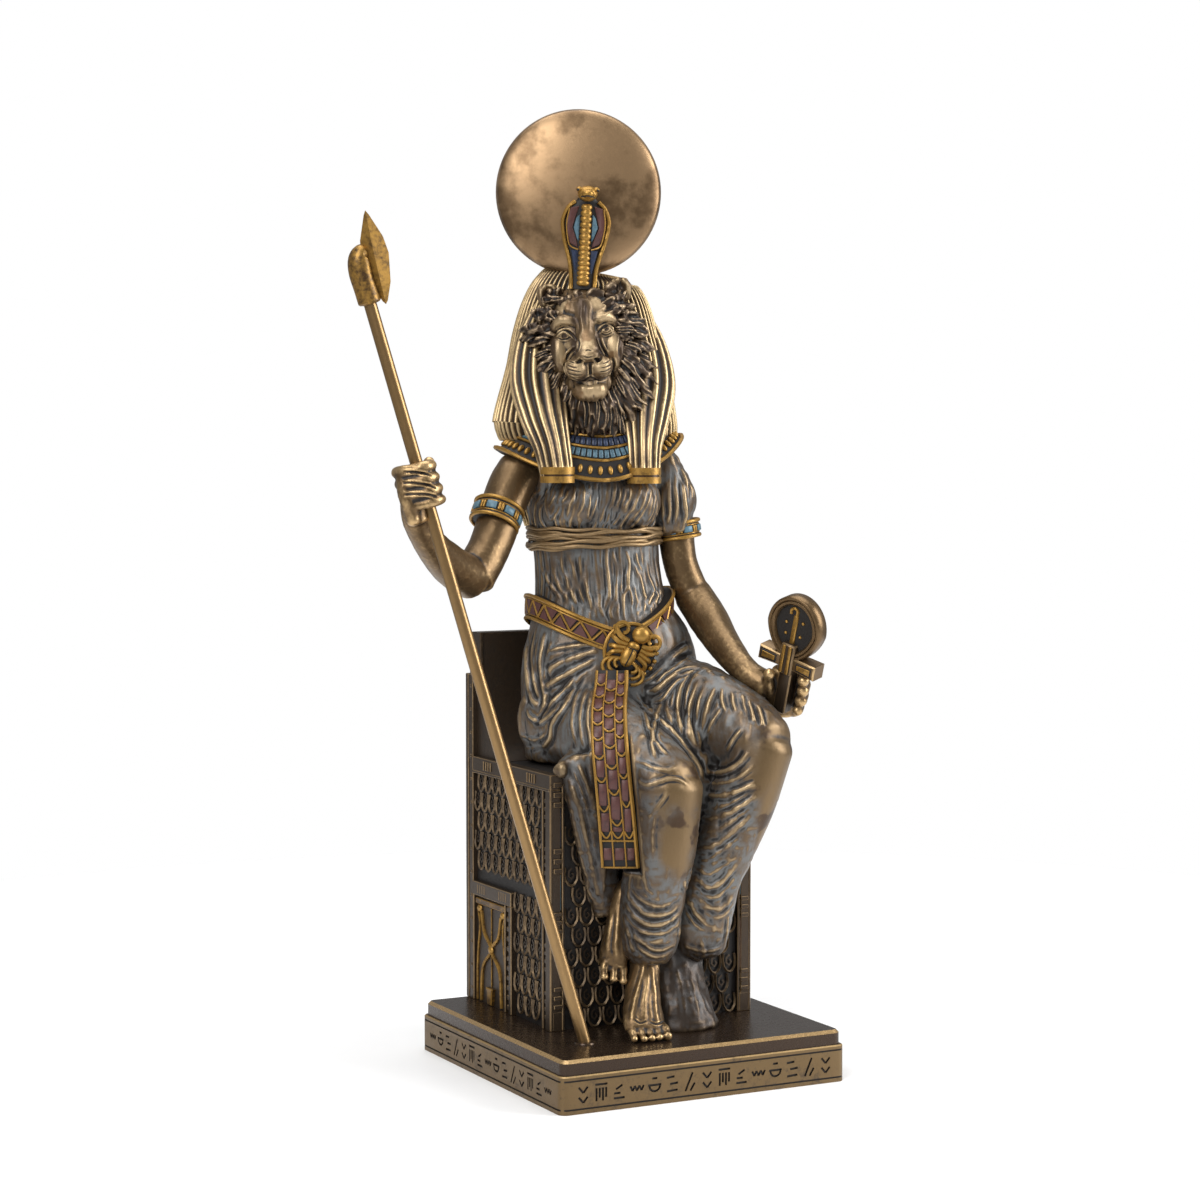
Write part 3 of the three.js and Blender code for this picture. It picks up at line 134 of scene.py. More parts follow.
@dataclass(frozen=True)
class LocalFrame:
    """Axes to the left, front and top of a part of the figure."""

    origin: Triple
    yaw: float = 0.0
    roll: float = 0.0
    pitch: float = 0.0

    def axes(self) -> Array:
        """The left, front and up directions, one in each row."""
        yaw, roll, pitch = (math.radians(a) for a in (self.yaw, self.roll, self.pitch))
        front = np.array([-math.sin(yaw), -math.cos(yaw), 0.0])
        flat = np.array([math.cos(yaw), -math.sin(yaw), 0.0])
        rise = np.array([0.0, 0.0, 1.0])
        left = flat * math.cos(roll) + rise * math.sin(roll)
        up = rise * math.cos(roll) - flat * math.sin(roll)
        tipped = front * math.cos(pitch) + up * math.sin(pitch)
        return np.array([left, tipped, up * math.cos(pitch) - front * math.sin(pitch)])

    def point(self, a: float, b: float, c: float) -> Triple:
        """The place a to the left, b to the front and c above the origin."""
        return tuple(np.array(self.origin) + np.array([a, b, c]) @ self.axes())

    def points(self, local: Array) -> Array:
        """Places of many local points, one in each row."""
        return np.array(self.origin) + local @ self.axes()

    def plane(self) -> Matrix:
        """The frame whose first axis is to the left, second up and third to the front."""
        left, _, up = self.axes()
        return plane(self.origin, left, up)

    def local(self, points: Array) -> Array:
        """Left, front and up of many points, one in each row."""
        return (points - np.array(self.origin)) @ self.axes().T


class Noise:
    """Soft seeded noise in space, from a repeating lattice of random numbers."""

    SIDE = 32

    def __init__(self, seed: int) -> None:
        """Draws the lattice.

        Args:
            seed: The seed of the random numbers.
        """
        self.lattice = np.random.RandomState(seed).uniform(-1, 1, (self.SIDE,) * 3)

    def at(self, points: Array, pitch: float | Triple) -> Array:
        """Reads the noise.

        Args:
            points: One point in each row.
            pitch: The lattice's pitch, in millimetres, alike or for each axis.

        Returns:
            A number from -1 to 1 for each point.
        """
        scaled = points / np.array(pitch)
        low = np.floor(scaled).astype(int)
        f = scaled - low
        f = f * f * (3 - 2 * f)
        total = np.zeros(len(points))
        for corner in range(8):
            offset = np.array([corner & 1, corner >> 1 & 1, corner >> 2 & 1])
            i, j, k = ((low + offset) % self.SIDE).T
            total += self.lattice[i, j, k] * np.prod(np.where(offset, f, 1 - f), axis=1)
        return total


class Clay:
    """A mesh in millimetres that takes closed shapes one after the other."""

    def __init__(self) -> None:
        """Starts empty, with a layer that says how worn or how sunk each face is."""
        self.bm = bmesh.new()
        self.tone = self.bm.faces.layers.float.new("cavity")

    def mark(self, faces: Sequence[bmesh.types.BMFace], material: int, tone: float) -> None:
        """Gives faces a finish and a tone.

        Args:
            faces: The faces.
            material: The number of the finish.
            tone: From -1 in a dark recess to 1 on a rubbed edge.
        """
        for face in faces:
            if face.is_valid:
                face.material_index = material
                face[self.tone] = tone

    def skin(
        self, shape: Shape, columns: int, rows: int, material: int = 0, tone: float = 0.0,
    ) -> list[bmesh.types.BMFace]:
        """Lays a grid on a surface and welds its seams and poles.

        Args:
            shape: Gives points from u round the surface and v along it, both from 0 to 1.
            columns: Faces round the surface.
            rows: Faces along it.
            material: The number of the finish.
            tone: How worn or sunk it is.

        Returns:
            The new faces.
        """
        made = bmesh.ops.create_grid(self.bm, x_segments=columns, y_segments=rows, size=0.5)["verts"]
        uv = np.array([vert.co[:2] for vert in made]) + 0.5
        for vert, place in zip(made, shape(uv[:, 0], uv[:, 1])):
            vert.co = place
        faces = list({face for vert in made for face in vert.link_faces})
        self.mark(faces, material, tone)
        bmesh.ops.remove_doubles(self.bm, verts=made, dist=WELD)
        return [face for face in faces if face.is_valid]

    def tube(
        self,
        stations: Sequence[Sequence[float]],
        columns: int = 16,
        rows: int = 24,
        across: Triple | Array | Callable[[Array], Array] = (1, 0, 0),
        carve: Callable[[Array, Array], Array] | None = None,
        tips: float = 0.5,
        material: int = 0,
        tone: float = 0.0,
    ) -> list[bmesh.types.BMFace]:
        """Adds a closed body along a smooth path.

        Args:
            stations: x, y, z, half width and half depth at places along the path.
            columns: Faces round it.
            rows: Faces along it.
            across: The direction of the half width, or a function of the share along the path.
            carve: Scales the section, from the share along the path and the angle round it.
            tips: How far the round ends reach, in half widths.
            material: The number of the finish.
            tone: How worn or sunk it is.

        Returns:
            The new faces.
        """
        table = np.array([(*s[:4], s[4] if len(s) > 4 else s[3]) for s in stations], float)
        cap = min(0.3, (3 if tips else 1) / rows)

        def shape(u: Array, v: Array) -> Array:
            """The place of each grid point."""
            head = np.clip(v / cap, 0, 1) * math.pi / 2
            tail = np.clip((1 - v) / cap, 0, 1) * math.pi / 2
            t = np.clip((v - cap) / (1 - 2 * cap), 0, 1)
            row = spline(table, t)
            tangent = unit(spline(table, t + 0.004)[:, :3] - spline(table, t - 0.004)[:, :3])
            side = across(t) if callable(across) else np.broadcast_to(np.array(across, float), (len(t), 3))
            side = unit(side - tangent * (side * tangent).sum(1)[:, None])
            other = np.cross(tangent, side)
            angle = TAU * u
            scale = np.sin(head) * np.sin(tail)
            if carve:
                scale = scale * carve(t, angle)
            push = tips * (np.cos(tail) - np.cos(head)) * np.minimum(row[:, 3], row[:, 4])
            return (
                row[:, :3]
                + tangent * push[:, None]
                + side * (row[:, 3] * scale * np.cos(angle))[:, None]
                + other * (row[:, 4] * scale * np.sin(angle))[:, None]
            )

        return self.skin(shape, columns, rows, material, tone)

    def wire(
        self, points: Sequence[Sequence[float]], radius: float, sides: int = 6, steps: int = 4,
        material: int = 0, tone: float = 0.4, straight: bool = False,
    ) -> None:
        """Adds a round wire through points.

        Args:
            points: The places that it passes.
            radius: Half its thickness.
            sides: Faces round it.
            steps: Faces along it from one point to the next.
            material: The number of the finish.
            tone: How worn or sunk it is.
            straight: Whether it runs straight from point to point.
        """
        if straight:
            for start, end in zip(points[:-1], points[1:]):
                self.wire([start, end], radius, sides, 1, material, tone)
            return
        heading = np.abs(np.array(points[-1]) - np.array(points[0]))
        across = np.eye(3)[int(np.argmin(heading))]
        self.tube(
            [(*p, radius, radius) for p in points], sides, steps * (len(points) - 1) + 2,
            across, tips=0.0, material=material, tone=tone,
        )

    def blob(
        self, axes: Array, centre: Sequence[float], radii: Triple, material: int = 0, tone: float = 0.2,
        columns: int = 16, rows: int = 10,
    ) -> None:
        """Adds an ellipsoid.

        Args:
            axes: Three directions, one in each row.
            centre: Its middle.
            radii: Its half sizes along the axes.
            material: The number of the finish.
            tone: How worn or sunk it is.
            columns: Faces round it.
            rows: Faces from pole to pole.
        """
        matrix = Matrix.Translation(Vector(centre)) @ Matrix(axes.T.tolist()).to_4x4()
        matrix = matrix @ Matrix.Diagonal((*radii, 1.0))
        made = bmesh.ops.create_uvsphere(
            self.bm, u_segments=columns, v_segments=rows, radius=1.0, matrix=matrix,
        )["verts"]
        self.mark(list({face for vert in made for face in vert.link_faces}), material, tone)

    def box(
        self, low: Sequence[float], high: Sequence[float], bevel: float = 0.0, material: int = 0,
        tone: float = 0.0, wear: float = 0.8, place: Matrix | None = None,
    ) -> None:
        """Adds a box with worn edges.

        Args:
            low: Its lowest corner.
            high: Its highest corner.
            bevel: How far its edges are worn back.
            material: The number of the finish.
            tone: How worn or sunk its faces are.
            wear: How worn its edges are.
            place: A frame that carries it.
        """
        low, high = np.minimum(low, high), np.maximum(low, high)
        matrix = Matrix.Translation(Vector((low + high) / 2)) @ Matrix.Diagonal((*(high - low), 1.0))
        if place is not None:
            matrix = place @ matrix
        made = bmesh.ops.create_cube(self.bm, size=1.0, matrix=matrix)["verts"]
        faces = list({face for vert in made for face in vert.link_faces})
        self.mark(faces, material, tone)
        if bevel > 0:
            edges = list({edge for face in faces for edge in face.edges})
            worn = bmesh.ops.bevel(
                self.bm, geom=edges, offset=bevel, segments=1, profile=0.5, affect="EDGES", material=-1,
            )
            self.mark(worn["faces"], material, wear)

    def prism(
        self, outline: Sequence[Sequence[float]], low: float, high: float, place: Matrix,
        bevel: float = 0.0, material: int = 0, tone: float = 0.0, wear: float = 0.8,
    ) -> None:
        """Adds an outline raised along its frame's third axis.

        Args:
            outline: Its corners as pairs.
            low: Where it starts along the third axis.
            high: Where it ends.
            place: The frame of the outline.
            bevel: How far the edges of its raised end are worn back.
            material: The number of the finish.
            tone: How worn or sunk its faces are.
            wear: How worn its edges are.
        """
        verts = [self.bm.verts.new(place @ Vector((u, v, low))) for u, v in outline]
        base = self.bm.faces.new(verts)
        raised = bmesh.ops.extrude_face_region(self.bm, geom=[base], use_keep_orig=True)["geom"]
        moved = [item for item in raised if isinstance(item, bmesh.types.BMVert)]
        lift = place.to_3x3() @ Vector((0, 0, high - low))
        bmesh.ops.translate(self.bm, verts=moved, vec=lift)
        faces = list({face for vert in (*verts, *moved) for face in vert.link_faces})
        bmesh.ops.recalc_face_normals(self.bm, faces=faces)
        self.mark(faces, material, tone)
        if bevel > 0:
            top = [face for face in faces if all(vert in moved for vert in face.verts)]
            edges = list({edge for face in top for edge in face.edges})
            worn = bmesh.ops.bevel(
                self.bm, geom=edges, offset=bevel, segments=1, profile=0.5, affect="EDGES", material=-1,
            )
            self.mark(worn["faces"], material, wear)

    def mesh(self, name: str, finishes: Sequence[bpy.types.Material] = ()) -> bpy.types.Mesh:
        """Ends the clay and gives its mesh.

        Args:
            name: The mesh's name.
            finishes: Its finishes, in the order of their numbers.

        Returns:
            The mesh, in millimetres, with its faces outwards.
        """
        bmesh.ops.recalc_face_normals(self.bm, faces=self.bm.faces)
        made = bpy.data.meshes.new(name)
        self.bm.to_mesh(made)
        self.bm.free()
        for finish in finishes:
            made.materials.append(finish)
        return made

    def fused(self, name: str, voxel: float) -> bpy.types.Mesh:
        """Ends the clay as one skin over all its shapes.

        Args:
            name: The mesh's name.
            voxel: The size of the grid that the skin is drawn on.

        Returns:
            The mesh, in millimetres.
        """
        holder = bpy.data.objects.new(name, self.mesh(name + "_clay"))
        bpy.context.scene.collection.objects.link(holder)
        remesh = holder.modifiers.new("skin", "REMESH")
        remesh.mode = "VOXEL"
        remesh.voxel_size = voxel
        view = bpy.context.evaluated_depsgraph_get()
        made = bpy.data.meshes.new_from_object(holder.evaluated_get(view))
        clay = holder.data
        bpy.data.objects.remove(holder)
        bpy.data.meshes.remove(clay)
        made.name = name
        return made


class Profile(Enum):
    """The section of a carved stroke."""

    RIDGE = "ridge"
    GROOVE = "groove"
    FOLD = "fold"

    def height(self, x: Array) -> Array:
        """The section's height at a distance of x half widths from its middle."""
        if self is Profile.FOLD:
            return np.exp(-((x / 0.62) ** 2)) - 0.55 * np.exp(-(((x - 1.25) / 0.5) ** 2))
        bell = np.clip(1 - x * x, 0, None) ** 2
        return bell if self is Profile.RIDGE else -bell


@dataclass(frozen=True)
class Stroke:
    """One carved stroke, along pixels of the photograph's frame."""

    width: float
    height: float
    line: tuple[Pixel, ...]
    profile: Profile = Profile.FOLD
    ends: float = 3.0


def strokes(width: float, height: float, *lines: Sequence[Pixel]) -> tuple[Stroke, ...]:
    """Strokes of one size, along lines of the photograph's frame."""
    return tuple(Stroke(width, height, tuple(line)) for line in lines)


class Relief:
    """A sculpted mesh whose vertices are moved by numbers."""

    def __init__(self, mesh: bpy.types.Mesh) -> None:
        """Reads the mesh.

        Args:
            mesh: A mesh in millimetres.
        """
        self.mesh = mesh
        self.points = np.empty(len(mesh.vertices) * 3)
        mesh.vertices.foreach_get("co", self.points)
        self.points = self.points.reshape(-1, 3)
        pairs = np.empty(len(mesh.edges) * 2, int)
        mesh.edges.foreach_get("vertices", pairs)
        self.first, self.second = pairs.reshape(-1, 2).T
        self.degree = np.maximum(np.bincount(pairs, minlength=len(self.points)), 1)

    def average(self, values: Array) -> Array:
        """The mean of each vertex's neighbours, for a number or a point each."""
        if values.ndim == 2:
            return np.stack([self.average(column) for column in values.T], axis=1)
        count = len(self.points)
        total = np.bincount(self.first, values[self.second], count)
        total += np.bincount(self.second, values[self.first], count)
        return total / self.degree

    def smooth(self, times: int, share: float | Array = 0.6) -> None:
        """Moves vertices towards their neighbours.

        Args:
            times: How many times.
            share: How far each time, alike or for each vertex.
        """
        share = share[:, None] if isinstance(share, np.ndarray) else share
        for _ in range(times):
            self.points += share * (self.average(self.points) - self.points)

    def normals(self) -> Array:
        """Outward directions of the vertices, softened a little."""
        self.save()
        found = np.empty(len(self.points) * 3)
        self.mesh.vertex_normals.foreach_get("vector", found)
        return unit(self.average(self.average(found.reshape(-1, 3))))

    def lift(self, heights: Array) -> None:
        """Moves each vertex along its normal by a height."""
        self.points += self.normals() * heights[:, None]

    def stroke(
        self, heights: Array, line: Array, width: float, height: float, profile: Profile, ends: float = 2.0,
    ) -> None:
        """Adds a stroke along a line to the heights of the vertices near it.

        Args:
            heights: The heights so far, which it changes.
            line: The points of the line.
            width: Half the stroke's width.
            height: How high or deep it is.
            profile: Its section.
            ends: How bluntly it ends: a large number keeps its height to the end.
        """
        reach = width * (2.4 if profile is Profile.FOLD else 1.0)
        near = np.all((self.points > line.min(0) - reach) & (self.points < line.max(0) + reach), axis=1)
        index = np.flatnonzero(near)
        if not len(index):
            return
        places = self.points[index]
        best = np.full(len(index), 1e9)
        share = np.zeros(len(index))
        for k, (start, end) in enumerate(zip(line[:-1], line[1:])):
            along = end - start
            t = np.clip((places - start) @ along / max(along @ along, 1e-9), 0, 1)
            gap = np.linalg.norm(places - start - t[:, None] * along, axis=1)
            closer = gap < best
            best[closer] = gap[closer]
            share[closer] = ((k + t) / (len(line) - 1))[closer]
        taper = 1 - np.abs(2 * share - 1) ** ends
        size = height * taper
        heights[index] += np.where(best < reach, size * profile.height(best / width), 0)

    def tree(self) -> BVHTree:
        """A search tree of the mesh as it is now."""
        faces = [tuple(face.vertices) for face in self.mesh.polygons]
        return BVHTree.FromPolygons(self.points.tolist(), faces)

    def draw(
        self, view: PhotoView, tree: BVHTree, heights: Array, strokes: Sequence[Stroke], share: float = 1.0,
        uneven: float = 0.0,
    ) -> None:
        """Adds strokes that are placed in the photograph's frame.

        Args:
            view: The photograph's view.
            tree: The mesh's search tree.
            heights: The heights so far, which it changes.
            strokes: The strokes.
            share: The share of their height that they get.
            uneven: How much of it comes and goes along them.
        """
        cut = np.zeros(len(heights))
        for stroke in strokes:
            path = view.trace(tree, stroke.line)
            if len(path) < 3:
                continue
            gaps = np.linalg.norm(np.diff(path, axis=0), axis=1)
            for piece in np.split(path, np.flatnonzero(gaps > MOST_GAP) + 1):
                if len(piece) > 2:
                    self.stroke(cut, piece, stroke.width, stroke.height, stroke.profile, stroke.ends)
        heights += cut * (share + uneven * Noise(5).at(self.points, 6.0))

    def save(self) -> None:
        """Writes the vertices back to the mesh."""
        self.mesh.vertices.foreach_set("co", self.points.ravel())
        self.mesh.update()

    def cavity(self, scales: Sequence[tuple[int, float, float]]) -> Array:
        """Finds how far each vertex stands out from its surroundings.

        Args:
            scales: Rounds of smoothing, the height that counts as full, and the weight of each scale.

        Returns:
            From about -1 in a recess to 1 on a crest.
        """
        normals = self.normals()
        soft = self.points
        rounds = 0
        total = np.zeros(len(self.points))
        for times, depth, weight in scales:
            for _ in range(times - rounds):
                soft = self.average(soft)
            rounds = times
            total += weight * np.tanh(((self.points - soft) * normals).sum(1) / depth)
        return total

    def thin(self, most: int) -> None:
        """Merges faces where the surface is plain, down to so many triangles.

        Args:
            most: The number of triangles to keep.
        """
        self.mesh.calc_loop_triangles()
        count = len(self.mesh.loop_triangles)
        if count <= most:
            return
        holder = bpy.data.objects.new(self.mesh.name, self.mesh)
        bpy.context.scene.collection.objects.link(holder)
        fewer = holder.modifiers.new("thin", "DECIMATE")
        fewer.ratio = most / count
        view = bpy.context.evaluated_depsgraph_get()
        made = bpy.data.meshes.new_from_object(holder.evaluated_get(view))
        bpy.data.objects.remove(holder)
        bpy.data.meshes.remove(self.mesh)
        self.mesh = made

    def write(self, name: str, values: Array) -> None:
        """Stores a number for each vertex under a name."""
        layer = self.mesh.attributes.get(name)
        if layer and layer.domain != "POINT":
            self.mesh.attributes.remove(layer)
            layer = None
        layer = layer or self.mesh.attributes.new(name, "FLOAT", "POINT")
        layer.data.foreach_set("value", values.astype(np.float32))


@dataclass(frozen=True)
class PhotoView:
    """The camera of the photograph, which also carries guide lines from its frame to the surface."""

    place: Triple = (-384.5, -726.2, 190.2)
    target: Triple = (-7.5, 3.9, 138.2)
    lens: float = 84.0
    sensor: float = 36.0
    image: float = 1200.0

    def basis(self) -> Array:
        """The right, up and forward directions, one in each row."""
        forward = unit(np.array(self.target) - np.array(self.place))
        right = unit(np.cross(forward, [0.0, 0.0, 1.0]))
        return np.array([right, np.cross(right, forward), forward])

    def trace(self, tree: BVHTree, line: Sequence[Pixel], steps: int = 6) -> Array:
        """Carries a guide line of the photograph's frame to a surface.

        Args:
            tree: The surface.
            line: The line's pixels, in the photograph's frame.
            steps: Points from one pixel to the next.

        Returns:
            The points where its rays meet the surface.
        """
        shares = np.linspace(0, 1, steps * (len(line) - 1) + 1)
        right, up, forward = self.basis()
        scale = self.lens / self.sensor * self.image
        hits = []
        for px, py in spline(np.array(line, float), shares):
            u, v = (px - self.image / 2) / scale, (self.image / 2 - py) / scale
            hit = tree.ray_cast(Vector(self.place), Vector(forward + u * right + v * up))[0]
            if hit:
                hits.append(hit)
        return np.array(hits) if hits else np.zeros((0, 3))

    def build(self) -> bpy.types.Object:
        """Sets the camera up and makes it the scene's own."""
        camera = bpy.data.cameras.new("camera")
        camera.lens = self.lens
        camera.sensor_width = self.sensor
        camera.clip_start = 0.01
        holder = bpy.data.objects.new("camera", camera)
        bpy.context.scene.collection.objects.link(holder)
        right, up, forward = (Vector(row) for row in self.basis())
        holder.matrix_world = Matrix.Translation(Vector(self.place) * MM) @ Matrix(
            (right, up, -forward)
        ).transposed().to_4x4()
        bpy.context.scene.camera = holder
        return holder


class Shader:
    """Builds one procedural material node by node."""

    def __init__(self, name: str) -> None:
        """Starts with an empty material.

        Args:
            name: The material's name.
        """
        self.material = bpy.data.materials.new(name)
        self.material.use_nodes = True
        self.tree = self.material.node_tree
        self.tree.nodes.clear()
        self.output = self.tree.nodes.new("ShaderNodeOutputMaterial")
        self.surface = self.tree.nodes.new("ShaderNodeBsdfPrincipled")
        self.tree.links.new(self.surface.outputs["BSDF"], self.output.inputs["Surface"])
        self.coords = self.tree.nodes.new("ShaderNodeTexCoord").outputs["Object"]

    def put(self, socket: bpy.types.NodeSocket, value: object) -> None:
        """Links a socket to another one, or sets its value."""
        if isinstance(value, bpy.types.NodeSocket):
            self.tree.links.new(value, socket)
        elif isinstance(value, tuple) and len(value) == 3 and socket.type == "RGBA":
            socket.default_value = (*value, 1.0)
        else:
            socket.default_value = value

    def noise(self, feature: float, detail: float = 3.0, rough: float = 0.55) -> bpy.types.NodeSocket:
        """Noise whose largest forms are about so many millimetres across."""
        node = self.tree.nodes.new("ShaderNodeTexNoise")
        self.put(node.inputs["Vector"], self.coords)
        node.inputs["Scale"].default_value = 1.0 / (feature * MM)
        node.inputs["Detail"].default_value = detail
        node.inputs["Roughness"].default_value = rough
        return node.outputs["Fac"]

    def math(self, kind: str, a: object, b: object = 0.0, clamp: bool = False) -> bpy.types.NodeSocket:
        """One sum of two values."""
        node = self.tree.nodes.new("ShaderNodeMath")
        node.operation = kind
        node.use_clamp = clamp
        self.put(node.inputs[0], a)
        self.put(node.inputs[1], b)
        return node.outputs[0]

    def rise(self, value: object, low: float, high: float) -> bpy.types.NodeSocket:
        """Rises smoothly from 0 at low to 1 at high."""
        node = self.tree.nodes.new("ShaderNodeMapRange")
        node.interpolation_type = "SMOOTHSTEP"
        self.put(node.inputs["Value"], value)
        node.inputs["From Min"].default_value = low
        node.inputs["From Max"].default_value = high
        return node.outputs["Result"]

    def span(self, value: object, start: float, end: float) -> bpy.types.NodeSocket:
        """Maps 0 to 1 onto start to end."""
        node = self.tree.nodes.new("ShaderNodeMapRange")
        self.put(node.inputs["Value"], value)
        node.inputs["To Min"].default_value = start
        node.inputs["To Max"].default_value = end
        return node.outputs["Result"]

    def mix(self, a: object, b: object, share: object) -> bpy.types.NodeSocket:
        """Mixes two colours."""
        node = self.tree.nodes.new("ShaderNodeMix")
        node.data_type = "RGBA"
        self.put(node.inputs[0], share)
        self.put(node.inputs[6], a)
        self.put(node.inputs[7], b)
        return node.outputs[2]

    def attribute(self, name: str) -> bpy.types.NodeSocket:
        """A number stored on the mesh."""
        node = self.tree.nodes.new("ShaderNodeAttribute")
        node.attribute_name = name
        return node.outputs["Fac"]

    def bump(self, height: object, depth: float, strength: float = 1.0) -> None:
        """Roughens the surface by a height, at a depth in millimetres."""
        node = self.tree.nodes.new("ShaderNodeBump")
        node.inputs["Strength"].default_value = strength
        node.inputs["Distance"].default_value = depth * MM
        self.put(node.inputs["Height"], height)
        self.put(self.surface.inputs["Normal"], node.outputs["Normal"])


def srgb(red: int, green: int, blue: int) -> Triple:
    """A colour from its usual 0 to 255 values to linear light."""
    return tuple(
        c / 255 / 12.92 if c < 10.3 else ((c / 255 + 0.055) / 1.055) ** 2.4 for c in (red, green, blue)
    )


@dataclass(frozen=True)
class Patina:
    """Cold-cast bronze: dark in its recesses, rubbed bright on its crests, washed in between."""

    name: str
    recess: Triple
    body: Triple
    crest: Triple
    wash: Triple = (0.2, 0.2, 0.2)
    wash_share: float = 0.0
    metal: float = 0.75
    rough: float = 0.38
    mottle: float = 0.5
    blotch: float = 9.0
    grain: float = 0.03
    blotch_colour: Triple | None = None
    crest_start: float = 0.3
    crest_end: float = 1.0
    rubbed: Triple | None = None
    stain: Triple = (0.1, 0.06, 0.03)
    shade: Triple | None = None

    def build(self) -> bpy.types.Material:
        """Builds the material."""
        shader = Shader(self.name)
        cavity = shader.attribute("cavity")
        broad = shader.math("SUBTRACT", shader.noise(self.blotch, 3.0), 0.5)
        fine = shader.math("SUBTRACT", shader.noise(1.3, 4.0, 0.65), 0.5)
        level = shader.math("ADD", cavity, shader.math("MULTIPLY", broad, 1.1 * self.mottle))
        level = shader.math("ADD", level, shader.math("MULTIPLY", fine, 1.3 * self.mottle))
        deep = shader.rise(level, -0.62, 0.02)
        high = shader.rise(level, self.crest_start, self.crest_end)
        colour = shader.mix(self.recess, self.body, deep)
        if self.blotch_colour:
            stain = shader.rise(shader.noise(self.blotch, 5.0, 0.62), 0.44, 0.64)
            colour = shader.mix(colour, self.blotch_colour, shader.math("MULTIPLY", stain, 0.85))
        metal = shader.span(deep, 0.35 * self.metal, self.metal)
        if self.wash_share > 0:
            band = shader.math("MULTIPLY", shader.rise(level, -0.9, -0.25), shader.math(
                "SUBTRACT", 1.0, shader.rise(level, 0.1, 0.7)))
            patch = shader.rise(shader.noise(7.0, 4.0, 0.6), 0.4, 0.6)
            cover = shader.math("MULTIPLY", band, shader.span(patch, 0.3 * self.wash_share, self.wash_share))
            if self.rubbed:
                cover = shader.math("MULTIPLY", cover, shader.span(shader.attribute("rub_and_highlight"), 1.0, 0.0))
            colour = shader.mix(colour, self.wash, cover)
            metal = shader.math("MULTIPLY", metal, shader.span(cover, 1.0, 0.3))
        # Mixes in the rubbed colour where the mesh asks for it: rubbed wear on the skirt's knees and shins, and on the
        # lion's face rubbed high points that also carry a painted highlight.
        if self.rubbed:
            worn = shader.mix(self.rubbed, self.stain, shader.rise(shader.noise(9.0, 3.0, 0.5), 0.53, 0.6))
            share = shader.math("MULTIPLY", shader.attribute("rub_and_highlight"), 0.85)
            colour = shader.mix(colour, worn, shader.math("MULTIPLY", share, deep))
        colour = shader.mix(colour, self.crest, high)
        # Mixes in the shade colour where the mesh asks for it: painted shade and the dark of the eyes on the lion's
        # face, and the dark cloth fall by the feet and darker cloth beside the seat on the skirt.
        if self.shade:
            colour = shader.mix(colour, self.shade, shader.math("MULTIPLY", shader.attribute("shade"), 0.8))
        shader.put(shader.surface.inputs["Base Color"], colour)
        shader.put(shader.surface.inputs["Metallic"], metal)
        gloss = shader.span(fine, self.rough, self.rough + 0.3)
        shader.put(shader.surface.inputs["Roughness"], shader.math(
            "ADD", gloss, shader.span(deep, 0.16, 0.0)))
        grain = shader.math("ADD", shader.noise(0.5, 3.0), shader.math("MULTIPLY", fine, 1.5))
        shader.bump(grain, self.grain)
        return shader.material


@dataclass(frozen=True)
class Paint:
    """Paint rubbed thin on raised parts, with darker remains in its corners."""

    name: str
    colour: Triple
    shade: Triple
    metal: float = 0.0
    rough: float = 0.42
    grain: float = 0.02

    def build(self) -> bpy.types.Material:
        """Builds the material."""
        shader = Shader(self.name)
        cavity = shader.attribute("cavity")
        fine = shader.math("SUBTRACT", shader.noise(1.1, 4.0, 0.65), 0.5)
        broad = shader.math("SUBTRACT", shader.noise(4.0, 2.0), 0.5)
        level = shader.math("ADD", cavity, shader.math("MULTIPLY", fine, 1.3))
        level = shader.math("ADD", level, shader.math("MULTIPLY", broad, 0.8))
        worn = shader.rise(level, -0.35, 0.35)
        shader.put(shader.surface.inputs["Base Color"], shader.mix(self.shade, self.colour, worn))
        shader.put(shader.surface.inputs["Metallic"], shader.span(worn, 0.6 * self.metal, self.metal))
        shader.put(shader.surface.inputs["Roughness"], shader.span(fine, self.rough, self.rough + 0.25))
        shader.bump(shader.noise(0.5, 3.0), self.grain)
        return shader.material


